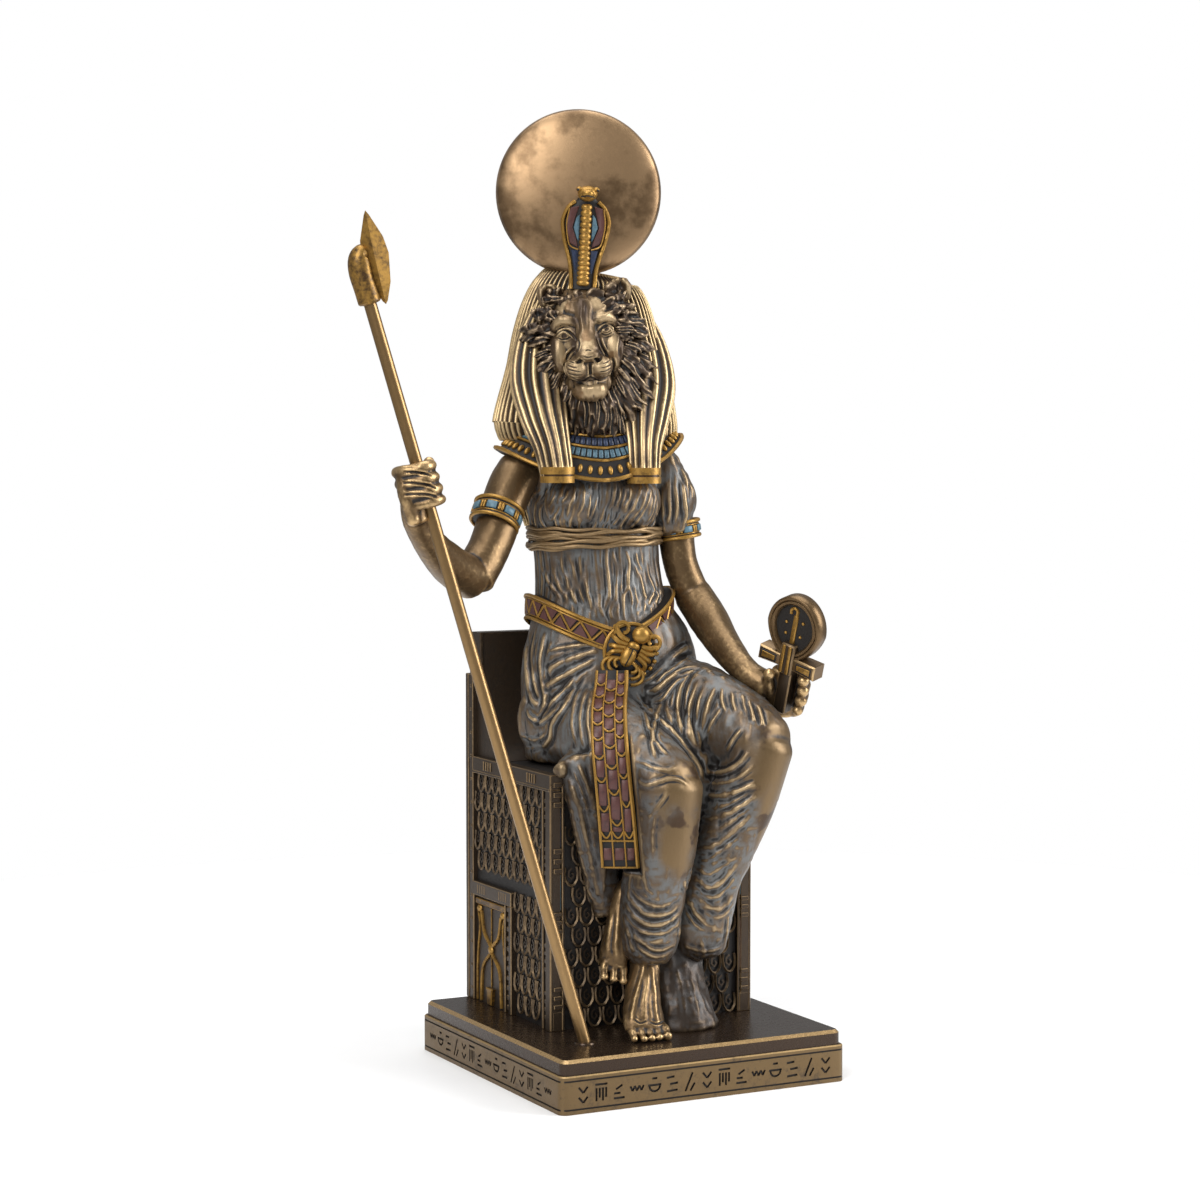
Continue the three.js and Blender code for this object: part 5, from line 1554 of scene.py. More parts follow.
@dataclass
class SunDisc:
    """The sun disc: a shallow lens with a blunt rim on the crown of the head."""

    centre: Triple = (-8.4, 16.0, 258.0)
    radius: float = 24.4
    thickness: float = 13.0
    rim: float = 2.2
    yaw: float = 25.0

    def build(self, figure: Figure) -> None:
        """Builds the disc.

        Args:
            figure: The figure that takes it.
        """
        clay = Clay()
        axes = LocalFrame(self.centre, self.yaw).axes()
        bulge = (self.thickness - self.rim) / 2

        def shape(u: Array, v: Array) -> Array:
            """The lens, from its front pole to its rear one."""
            face = np.where(v < 0.5, 1, -1)
            share = np.sin(np.minimum(v, 1 - v) / 0.5 * math.pi / 2)
            depth = face * (self.rim / 2 * smooth_step(1 - share, 0, 0.03) + bulge * np.sqrt(1 - share**2))
            reach = self.radius * share
            angle = TAU * u
            return (
                np.array(self.centre)
                + axes[0] * (reach * np.cos(angle))[:, None]
                + axes[2] * (reach * np.sin(angle))[:, None]
                + axes[1] * depth[:, None]
            )

        clay.skin(shape, 96, 64, tone=0.05)
        figure.place("sun_disc", clay.mesh("sun_disc"), (figure.palette.disc,), None)


TORSO = LocalFrame((-2.0, 18.0, 150.0), 12.0)
PELVIS = LocalFrame((-0.3, 17.9, 118.0), 4.0)
CLASP = LocalFrame((-0.5, -1.2, 123.4), 12.0, -24.0)
HEAD = LocalFrame((-8.2, 10.0, 213.6), 25.0, 5.0)
COBRA_STAND = LocalFrame((-11.0, 8.0, 233.1), 24.0, -3.0, 3.0)
RIGHT_FIST = (-73.3, -17.6, 172.2)
LEFT_FIST = (37.2, -26.8, 111.4)
STAFF_FOOT = (-29.0, -28.5, 15.0)
CROSS_UP = (-0.036, -0.374, 0.926)
CROSS_ACROSS = (0.441, -0.838, -0.322)

FINE_CAVITY = ((2, 0.05, 0.45), (8, 0.16, 0.45), (30, 0.5, 0.35))


def girdle_path(turn: Array) -> tuple[Array, Array]:
    """The girdle's middle line.

    Args:
        turn: Angles round the hips, from the figure's left towards its front.

    Returns:
        The points and the outward directions.
    """
    side, ahead = np.abs(np.cos(turn)), np.sin(turn)
    z = 126.5 + 10.1 * side**1.3 - np.maximum(0, 0.8 * ahead) + 0.6 * np.cos(turn)
    slim = 0.17 * (z - 124)
    zero = np.zeros_like(turn)
    level = np.stack([(23.7 - slim) * np.cos(turn), (18.3 - slim) * ahead, zero], axis=1)
    points = PELVIS.points(level)
    points[:, 2] = z
    return points, np.stack([np.cos(turn), ahead, zero], axis=1) @ PELVIS.axes()


@dataclass
class Dress:
    """Torso, bust, shoulders and neck under a finely pleated dress, with a sleeve on the left arm."""

    stations: tuple = (
        (0.6, 17.2, 114.0, 22.0, 16.0), (0.2, 17.6, 124.0, 21.6, 15.8), (0.2, 17.8, 132.0, 20.8, 14.8),
        (-0.7, 18.5, 146.0, 19.2, 13.2), (-1.6, 18.5, 158.0, 19.6, 13.2), (-2.0, 18.5, 168.0, 20.8, 14.0),
        (-2.2, 19.0, 177.0, 21.6, 12.4), (-2.6, 18.5, 185.0, 12.0, 9.5),
    )
    bust: tuple = (9.0, 8.2, 16.6)
    bust_size: Triple = (8.8, 7.0, 8.4)
    sleeve: tuple = (
        (14.5, 16.0, 183.0, 4.6, 6.6), (17.8, 14.4, 176.0, 6.4, 7.8), (20.6, 13.2, 168.0, 8.0, 8.6),
        (20.4, 13.0, 163.0, 7.4, 8.0), (21.4, 13.0, 158.0, 6.4, 7.0),
    )
    pleats: int = 46
    pleat_depth: float = 0.1
    voxel: float = 0.38
    crinkles: tuple = (
        strokes(
            0.62, 0.34,
            ((568, 489), (566, 497), (562, 503)), ((575, 488), (574, 496), (571, 503), (568, 512), (566, 520)),
            ((585, 488), (584, 497), (583, 505), (577, 517)), ((592, 489), (590, 502), (588, 512), (588, 520)),
            ((600, 489), (596, 503), (592, 514), (589, 522)), ((607, 488), (606, 502), (603, 514), (598, 526)),
            ((615, 487), (613, 500), (610, 510)), ((622, 487), (620, 498), (617, 508)),
            ((632, 487), (630, 499), (625, 509)), ((641, 486), (638, 497), (634, 507), (628, 515)),
            ((648, 487), (645, 500), (640, 510), (633, 519)), ((652, 489), (648, 503), (643, 513), (636, 522)),
            ((657, 492), (655, 506), (651, 517), (644, 526)), ((556, 489), (554, 498), (548, 508)),
            ((549, 488), (545, 496), (541, 503)), ((541, 489), (532, 497), (528, 510), (529, 525), (534, 537)),
            ((545, 492), (537, 502), (535, 515), (538, 530), (545, 538)),
            ((547, 499), (541, 508), (541, 520), (548, 531), (556, 536)),
            ((531, 520), (538, 531), (550, 539)), ((556, 512), (556, 522), (562, 532)),
            ((580, 520), (579, 528), (583, 534)), ((610, 512), (607, 521), (602, 528)),
            ((620, 512), (617, 520), (611, 527)), ((560, 505), (556, 515), (551, 521)),
            ((572, 515), (570, 524), (573, 532)), ((597, 520), (594, 528), (589, 533)),
            ((629, 513), (624, 521), (620, 527)), ((640, 518), (634, 525), (628, 529)),
            ((651, 520), (645, 527), (640, 531)), ((657, 512), (655, 522), (651, 530)),
        )
        + strokes(
            0.85, 0.6,
            ((585, 560), (586, 580), (588, 595), (593, 612)), ((605, 552), (608, 575), (609, 590), (607, 603), (604, 612)),
            ((627, 550), (629, 565), (628, 578), (629, 588)), ((629, 586), (624, 596), (623, 610), (625, 624)),
            ((629, 586), (632, 596), (633, 606)), ((633, 562), (640, 578), (644, 592), (646, 600), (643, 612)),
            ((646, 556), (649, 575), (654, 590), (650, 600), (645, 610)), ((654, 588), (658, 595), (655, 604)),
        )
        + strokes(
            0.8, 0.36,
            ((542, 566), (549, 583), (562, 600)), ((553, 566), (558, 584), (568, 601)),
            ((560, 556), (565, 575), (573, 596), (580, 608)), ((570, 556), (575, 575), (580, 592), (588, 608)),
            ((594, 551), (597, 568), (599, 588), (600, 604)), ((578, 553), (581, 570), (586, 588)),
            ((612, 550), (617, 566), (617, 590), (614, 608)), ((619, 552), (621, 575), (620, 600), (617, 615)),
            ((636, 552), (638, 563), (642, 572)), ((656, 560), (659, 575), (661, 590), (657, 600)),
            ((634, 590), (637, 603), (635, 616)), ((600, 592), (600, 605), (603, 618)),
            ((639, 596), (640, 608), (637, 616)), ((612, 600), (610, 612), (612, 620)),
        )
        + strokes(
            1.0, 0.7,
            ((675, 470), (676, 490), (677, 508), (675, 524)), ((681, 468), (686, 482), (690, 496)),
            ((684, 480), (684, 496), (686, 512), (685, 524)), ((668, 478), (668, 495), (670, 512), (668, 525)),
            ((664, 484), (663, 500), (664, 518)), ((690, 484), (692, 492), (693, 499)),
        )
    )

    def build(self, figure: Figure) -> None:
        """Builds the dress above the girdle.

        Args:
            figure: The figure that takes it.
        """
        clay = Clay()

        def hem(t: Array, angle: Array) -> Array:
            """Draws the cloth in below the girdle."""
            z = spline(np.array(self.stations), t)[:, 2]
            line = girdle_path(-angle)[0][:, 2]
            return 1 - 0.1 * smooth_step(line - z, 0, 5)

        clay.tube(self.stations, 120, 90, lambda t: turned(4 + 8 * t), hem, tips=0.0)
        for hand in (-1, 1):
            place = TORSO.point(hand * self.bust[0], *self.bust[1:])
            clay.blob(TORSO.axes(), place, self.bust_size, columns=40, rows=30)
        clay.tube([(-2.2, 18, 178, 10, 10), (-6, 13.5, 204, 9, 9)], 40, 20, tips=0.0)
        clay.tube(self.sleeve, 48, 30, tips=0.25)
        relief = Relief(clay.fused("dress", self.voxel))
        relief.smooth(10)
        self.carve(relief, figure)
        relief.write("cavity", relief.cavity(FINE_CAVITY))
        relief.save()
        relief.thin(134000)
        figure.place("dress", relief.mesh, (figure.palette.cloth,))

    def carve(self, relief: Relief, figure: Figure) -> None:
        """Carves the pleats.

        Args:
            relief: The mesh that takes them.
            figure: The figure, for the photograph's view.
        """
        local = TORSO.local(relief.points)
        warp, fray = Noise(3), Noise(4)
        angle = np.arctan2(local[:, 1] + 1.0, local[:, 0])
        phase = self.pleats * angle + 2.2 * warp.at(relief.points, (12, 12, 26))
        phase += 0.9 * fray.at(relief.points, (5, 5, 9))
        crest = np.abs(np.cos(phase / 2)) ** 0.8
        size = self.pleat_depth * (0.75 + 0.5 * warp.at(relief.points, (7, 7, 12)))
        behind = smooth_step(relief.points[:, 1], 10, 20)
        heights = size * (1 + 2.6 * behind) * (2 * crest - 1.2)
        heights += 0.34 * fray.at(relief.points, (2.4, 2.4, 9)) * (1 - 0.5 * behind)
        heights += 0.2 * warp.at(relief.points, (0.9, 0.9, 5)) * (1 - 0.6 * behind)
        relief.draw(figure.view, relief.tree(), heights, self.crinkles, 0.7, 0.5)
        relief.lift(heights)
        relief.smooth(1, 0.3)


@dataclass
class BustCord:
    """The cord of twisted strands round the body under the bust."""

    level: float = 156.0
    wide: float = 20.1
    deep: float = 13.9
    strands: tuple = (
        (2.0, 0.6, 0.4, 0.62), (1.0, -1.3, 0.3, 0.55), (1.4, 0.3, -0.7, 0.6), (-0.2, 1.7, 0.2, 0.66),
        (-0.7, -0.6, 0.6, 0.55), (-1.8, 0.8, -0.3, 0.62), (0.3, -1.4, -0.5, 0.6), (-1.4, 1.9, 0.3, 0.5),
        (2.5, -0.8, -0.2, 0.5),
    )

    def build(self, figure: Figure) -> None:
        """Builds the cord.

        Args:
            figure: The figure that takes it.
        """
        clay = Clay()
        for k, (rise, tilt, wave, radius) in enumerate(self.strands):
            out_by = 0.35 * math.cos(2.4 * k)

            def shape(u: Array, v: Array) -> Array:
                """One strand round the body."""
                turn, round_it = TAU * u, TAU * v
                thick = radius * (1 + 0.16 * np.sin(5 * turn + 2 * k) + 0.08 * np.sin(13 * turn + k))
                out = np.stack([np.cos(turn), np.sin(turn), np.zeros_like(turn)], axis=1)
                points = TORSO.points(out * np.array([self.wide + out_by, self.deep + out_by, 0]))
                level = self.level + rise + tilt * np.cos(turn) + wave * np.sin(2 * turn + k)
                points[:, 2] = level + 0.25 * np.sin(9 * turn + 3 * k)
                points += (thick * np.cos(round_it))[:, None] * (out @ TORSO.axes())
                points[:, 2] += thick * np.sin(round_it)
                return points

            clay.skin(shape, 150, 8, tone=0.0)
        relief = Relief(clay.mesh("bust_cord"))
        relief.write("cavity", relief.cavity(((2, 0.05, 0.6), (6, 0.2, 0.4))) - 0.1)
        figure.place("bust_cord", relief.mesh, (figure.palette.cord,))


@dataclass
class Collar:
    """The broad collar: rows of beads between gold lines over the shoulders."""

    rows: tuple = ((11.5, 10.5, 188.5), (17.5, 13.6, 187.0), (23.0, 15.6, 185.2), (29.8, 17.4, 182.0))
    centre: Pixel = (-2.4, 18.2)
    yaw: float = 12.0
    drop: float = 3.2
    far_rise: float = 3.6
    thickness: float = 1.5
    line_radius: float = 0.42
    bead_pitch: float = 2.0

    def points(self, share: Array, turn: Array, lift: float = 0.0) -> Array:
        """Points on the collar.

        Args:
            share: Row numbers, from 0 at the neck to 3 at the rim.
            turn: Angles round the neck, from the left towards the front.
            lift: The height above the collar.

        Returns:
            The points.
        """
        table = np.array(self.rows)
        wide, deep, z = (np.interp(share, range(len(table)), table[:, k]) for k in range(3))
        ahead = np.sin(turn)
        dip = self.drop * share * ahead**2 * np.where(ahead > 0, 1, 0.6)
        far = np.maximum(0, np.cos(turn)) * share / 3
        forward = deep * ahead * np.where(ahead > 0, 1.0, 0.86)
        level = np.stack([wide * np.cos(turn) * (1 - 0.09 * far), forward, np.zeros_like(turn)], axis=1)
        points = LocalFrame((*self.centre, 0.0), self.yaw).points(level)
        points[:, 2] = z - dip + 0.9 + lift + self.far_rise * far
        return points

    def bead(self, clay: Clay, share: float, turn: float, size: Triple, finish: int) -> None:
        """Adds one bead that lies across its row.

        Args:
            clay: The clay that takes it.
            share: Its row number.
            turn: Its angle round the neck.
            size: Its half sizes along the row, across it and outwards.
            finish: The number of its finish.
        """
        near = self.points(np.array([share, share + 0.05, share]), np.array([turn, turn, turn + 0.02]))
        place = plane(near[0], near[2] - near[0], near[0] - near[1])
        half = np.array(size)
        if finish == 1:
            axes = np.array(place.to_3x3().transposed())
            clay.blob(axes, near[0], size, 1, 0.45, 14, 10)
            return
        clay.box(-half, half, 0.3 * min(size), finish, 0.1, 0.6, place)

    def build(self, figure: Figure) -> None:
        """Builds the collar.

        Args:
            figure: The figure that takes it.
        """
        clay = Clay()

        def shape(u: Array, v: Array) -> Array:
            """The collar's shell, from its neck over the rim to its underside."""
            share = np.where(v < 0.8, v / 0.8 * 3, 3 - (v - 0.8) / 0.2 * 0.6)
            return self.points(share, -TAU * u, -0.3 - self.thickness * smooth_step(v, 0.79, 0.86))

        clay.skin(shape, 120, 40, 0, -0.7)
        layout = (
            (0.35, 0.62, 0, 1.0), (1.05, 0.62, 2, 0.75), (1.75, 0.62, 3, 0.75), (2.55, 0.75, 1, 1.25),
        )
        for share, length, finish, pitch in layout:
            table = np.array(self.rows)
            wide, deep, _ = (np.interp(share, range(len(table)), table[:, k]) for k in range(3))
            round_it = TAU * math.sqrt((wide * wide + deep * deep) / 2)
            count = int(round_it / (pitch * self.bead_pitch))
            step = 6.2 if share < 2 else 6.9
            for i in range(count):
                turn = TAU * (i + 0.5) / count
                width = 0.42 * round_it / count
                if share > 2:
                    self.bead(clay, share, turn, (0.72 * width, 0.27 * length * step, 0.75), 1)
                else:
                    colour = 4 if finish == 0 else finish
                    self.bead(clay, share, turn, (width, 0.5 * length * step * 0.62, 0.42), colour)
        for share in (0.0, 0.7, 1.4, 2.1, 3.0):
            turns = np.linspace(0, TAU, 121)
            ring = self.points(np.full_like(turns, share), turns, 0.15)
            radius = self.line_radius * (1.5 if share == 3.0 else 1.0)
            clay.wire(ring, radius, 6, 1, 1, 0.25)
        palette = figure.palette
        finishes = (palette.throne, palette.gold, palette.navy, palette.sky, palette.maroon)
        figure.place("collar", clay.mesh("collar"), finishes, sharp=50)


@dataclass
class Girdle:
    """The girdle with a zigzag between two rims, and the clasp: a winged beetle under a ball."""

    half_height: float = 3.6
    teeth: int = 22

    def band_point(self, turn: float, out: float, up: float) -> Array:
        """A point of the band.

        Args:
            turn: Its angle round the hips.
            out: How far it stands out.
            up: How far it is above the middle line.

        Returns:
            The point.
        """
        middle, outward = girdle_path(np.array([turn]))
        return middle[0] + outward[0] * out + np.array([0, 0, up])

    def build(self, figure: Figure) -> None:
        """Builds the girdle and its clasp.

        Args:
            figure: The figure that takes them.
        """
        clay = Clay()
        section = np.array([(-2, -3.3), (0.9, -3.3), (0.9, 0), (0.9, 3.3), (-2, 3.3), (-2, 0), (-2, -3.3)])

        def shape(u: Array, v: Array) -> Array:
            """The band, round the hips and round its section."""
            middle, outward = girdle_path(TAU * u)
            step = v * (len(section) - 1)
            out, up = (np.interp(step, range(len(section)), section[:, k]) for k in range(2))
            return middle + outward * out[:, None] + np.array([0, 0, 1]) * up[:, None]

        clay.skin(shape, 140, 6, 0, -0.6)
        turns = np.linspace(0, TAU, 141)
        for up in (-3.3, -2.3, 2.3, 3.3):
            thick = 0.55 if abs(up) > 3 else 0.3
            ring = [self.band_point(turn, 1.25 if abs(up) > 3 else 1.05, up) for turn in turns]
            clay.wire(ring, thick, 6, 1, 1, 0.3)
        for i in range(self.teeth):
            start, middle, end = (TAU * (i + k) / self.teeth for k in (0, 0.5, 1))
            for near, far, low in ((start, middle, -2.1), (middle, end, 2.1)):
                span = np.linspace(near, far, 5)
                ups = np.linspace(low, -low, 5)
                clay.wire([self.band_point(s, 1.15, u) for s, u in zip(span, ups)], 0.36, 5, 1, 1, 0.35)
            for centre, low in ((middle, -1), (end, 1)):
                corners = [
                    self.band_point(centre - 0.34 * TAU / self.teeth, 0.9, low * 2.1),
                    self.band_point(centre + 0.34 * TAU / self.teeth, 0.9, low * 2.1),
                    self.band_point(centre, 0.9, -low * 1.2),
                ]
                heart = np.mean(corners, axis=0)
                place = plane(heart, corners[1] - corners[0], (0, 0, 1))
                flat = [tuple((place.inverted() @ Vector(c))[:2]) for c in corners]
                clay.prism(flat, -0.5, 0.15, place, 0.12, 4, 0.3, 0.4)
        self.clasp(clay)
        palette = figure.palette
        finishes = (palette.throne, palette.gold, palette.navy, palette.sky, palette.maroon)
        figure.place("girdle", clay.mesh("girdle"), finishes, sharp=50)

    def clasp(self, clay: Clay) -> None:
        """Adds the clasp.

        Args:
            clay: The clay that takes it.
        """
        axes = CLASP.axes()
        order = axes[[0, 2, 1]]
        clay.blob(order, CLASP.point(0, 0.4, 0), (8.0, 8.0, 2.4), 0, -0.7, 32, 16)
        clay.blob(order, CLASP.point(-0.6, 3.4, -1.8), (2.3, 3.3, 1.9), 1, 0.5, 22, 16)
        clay.blob(order, CLASP.point(-0.2, 3.3, 1.6), (1.9, 1.3, 1.5), 1, 0.4, 16, 12)
        clay.blob(order, CLASP.point(0.6, 3.2, 5.4), (2.7, 2.6, 2.1), 1, 0.6, 22, 16)
        for a, b in (((-0.6, 5.4, 0.8), (-0.7, 4.6, -4.6)), ((-2.0, 4.9, 0.6), (1.0, 4.9, 0.6))):
            middle = (0.5 * (a[0] + b[0]), max(a[1], b[1]) + 0.2, 0.5 * (a[2] + b[2]))
            clay.wire([CLASP.point(*q) for q in (a, middle, b)], 0.2, 5, 4, 0, -0.8)
        for hand in (-1, 1):
            for k in range(4):
                spread = 0.5 + 0.42 * k
                plume = [
                    (hand * 2.2, 2.9, 2.4 - 1.1 * k), (hand * (4.3 + 0.2 * k), 3.1, 2.6 - 1.5 * k),
                    (hand * (6.3 - 0.2 * k), 2.5, 3.8 - 2.2 * k), (hand * (7.4 - 0.5 * k), 1.5, 5.2 - 3.0 * k),
                ]
                clay.wire([CLASP.point(*q) for q in plume], 0.85 - 0.08 * spread, 7, 4, 1, 0.45)
            for k in range(3):
                t = np.linspace(0.2, 2.6, 9)
                radius = 2.6 + 1.5 * k
                hook = [
                    CLASP.point(hand * (1.0 + radius * math.sin(s)), 2.8 - 0.35 * k, -3.0 - 0.6 * radius * (1 - math.cos(s)))
                    for s in t
                ]
                clay.wire(hook, 0.55, 6, 3, 1, 0.35)
            t = np.linspace(-0.9, 4.4, 16)
            curl = [
                CLASP.point(
                    hand * (4.9 + 2.3 * math.cos(s) * (1 - 0.12 * s)), 2.6, 5.0 + 2.3 * math.sin(s) * (1 - 0.12 * s),
                )
                for s in t
            ]
            clay.wire(curl, 0.6, 6, 2, 1, 0.4)
        for s in np.linspace(-2.4, 0.9, 12):
            bead = CLASP.point(8.1 * math.cos(s), 1.1, 8.1 * math.sin(s))
            clay.blob(order, bead, (0.75, 0.75, 0.8), 1, 0.4, 10, 8)
        rim = [CLASP.point(7.8 * math.cos(s), 1.1, 8.0 * math.sin(s)) for s in np.linspace(0.9, 3.9, 30)]
        clay.wire(rim, 0.6, 7, 1, 1, 0.3)


@dataclass
class Sash:
    """The sash that hangs from the clasp over the right thigh, in three columns of long cells."""

    stations: tuple = (
        (-7.1, -3.0, 117.8, 4.6), (-8.7, -5.4, 112.5, 4.8), (-12.8, -12.0, 108.0, 5.0), (-15.7, -17.6, 103.0, 5.1),
        (-17.1, -21.0, 97.0, 5.2), (-17.0, -22.6, 88.5, 5.2), (-15.6, -22.4, 76.4, 5.3), (-14.2, -22.0, 62.7, 5.4),
    )
    across: Triple = (0.87, -0.49, 0.0)
    thickness: float = 2.0
    cells: int = 9

    def point(self, share: float, side: float, out: float) -> Array:
        """A point of the sash.

        Args:
            share: Its place down the sash, from 0 to 1.
            side: Its place across, from -1 to 1.
            out: Its height above the ribbon's middle.

        Returns:
            The point.
        """
        table = np.array(self.stations)
        row = spline(table, np.array([share]))[0]
        step = spline(table, np.array([share + 0.01, share - 0.01]))
        along = unit(step[0, :3] - step[1, :3])
        across = unit(np.array(self.across))
        outward = unit(np.cross(along, across))
        outward = outward if outward[1] < 0 else -outward
        return row[:3] + across * side * row[3] + outward * out

    def build(self, figure: Figure) -> None:
        """Builds the sash.

        Args:
            figure: The figure that takes it.
        """
        clay = Clay()
        section = [(-1, -1), (1, -1), (1, 0.2), (0.94, 0.45), (-0.94, 0.45), (-1, 0.2), (-1, -1)]

        def shape(u: Array, v: Array) -> Array:
            """The ribbon, round its section and down its length."""
            step = u * (len(section) - 1)
            side, out = (np.interp(step, range(len(section)), [s[k] for s in section]) for k in range(2))
            closed = np.where((v <= 0) | (v >= 1), 0.0, 1.0)
            share = np.clip((v - 0.02) / 0.96, 0, 1)
            return np.array([
                self.point(t, s * c, o * c * self.thickness / 2)
                for t, s, o, c in zip(share, side, out, closed)
            ])

        clay.skin(shape, 12, 60, 0, -0.7)
        top = self.thickness / 2 * 0.45
        shares = np.linspace(0.005, 0.995, 40)
        for side, radius in ((-0.95, 0.42), (-0.33, 0.26), (0.33, 0.26), (0.93, 0.62)):
            clay.wire([self.point(t, side, top + 0.2) for t in shares], radius, 6, 1, 1, 0.35)
        for share, radius in ((0.915, 0.34), (0.995, 0.3)):
            clay.wire([self.point(share, s, top + 0.15) for s in (-0.95, 0, 0.95)], radius, 6, 3, 1, 0.3)
        pitch = 0.905 / self.cells
        for column, (left, right) in enumerate(((-0.87, -0.4), (-0.26, 0.26), (0.4, 0.8))):
            middle = 0.5 * (left + right)
            rows = [0.012 + (row + (0.0, 0.45, -0.15)[column]) * pitch for row in range(self.cells + 1)]
            rows = [min(max(row, 0.01), 0.9) for row in rows] + [0.925, 0.985]
            for start, end in zip(rows[:-1], rows[1:]):
                if end - start < 0.03:
                    continue
                a, b = self.point(start + 0.012, middle, top), self.point(end - 0.012, middle, top)
                place = plane((a + b) / 2, self.point(start, 1, 0) - self.point(start, -1, 0), a - b)
                width = 0.5 * (right - left) * 5.0
                length = float(np.linalg.norm(a - b)) / 2
                corners = [(-width, -length), (width, -length), (width, length), (-width, length)]
                clay.prism(corners, -0.6, 0.22, place, 0.15, 4, 0.25, 0.5)
                if end > 0.91:
                    continue
                scallop = [
                    self.point(end + drop * pitch, left + share * (right - left), top + 0.25)
                    for share, drop in ((-0.08, -0.14), (0.2, 0.0), (0.5, 0.06), (0.8, 0.0), (1.08, -0.14))
                ]
                clay.wire(scallop, 0.3, 6, 3, 1, 0.4)
        palette = figure.palette
        finishes = (palette.throne, palette.gold, palette.navy, palette.sky, palette.maroon)
        figure.place("sash", clay.mesh("sash"), finishes, sharp=50)


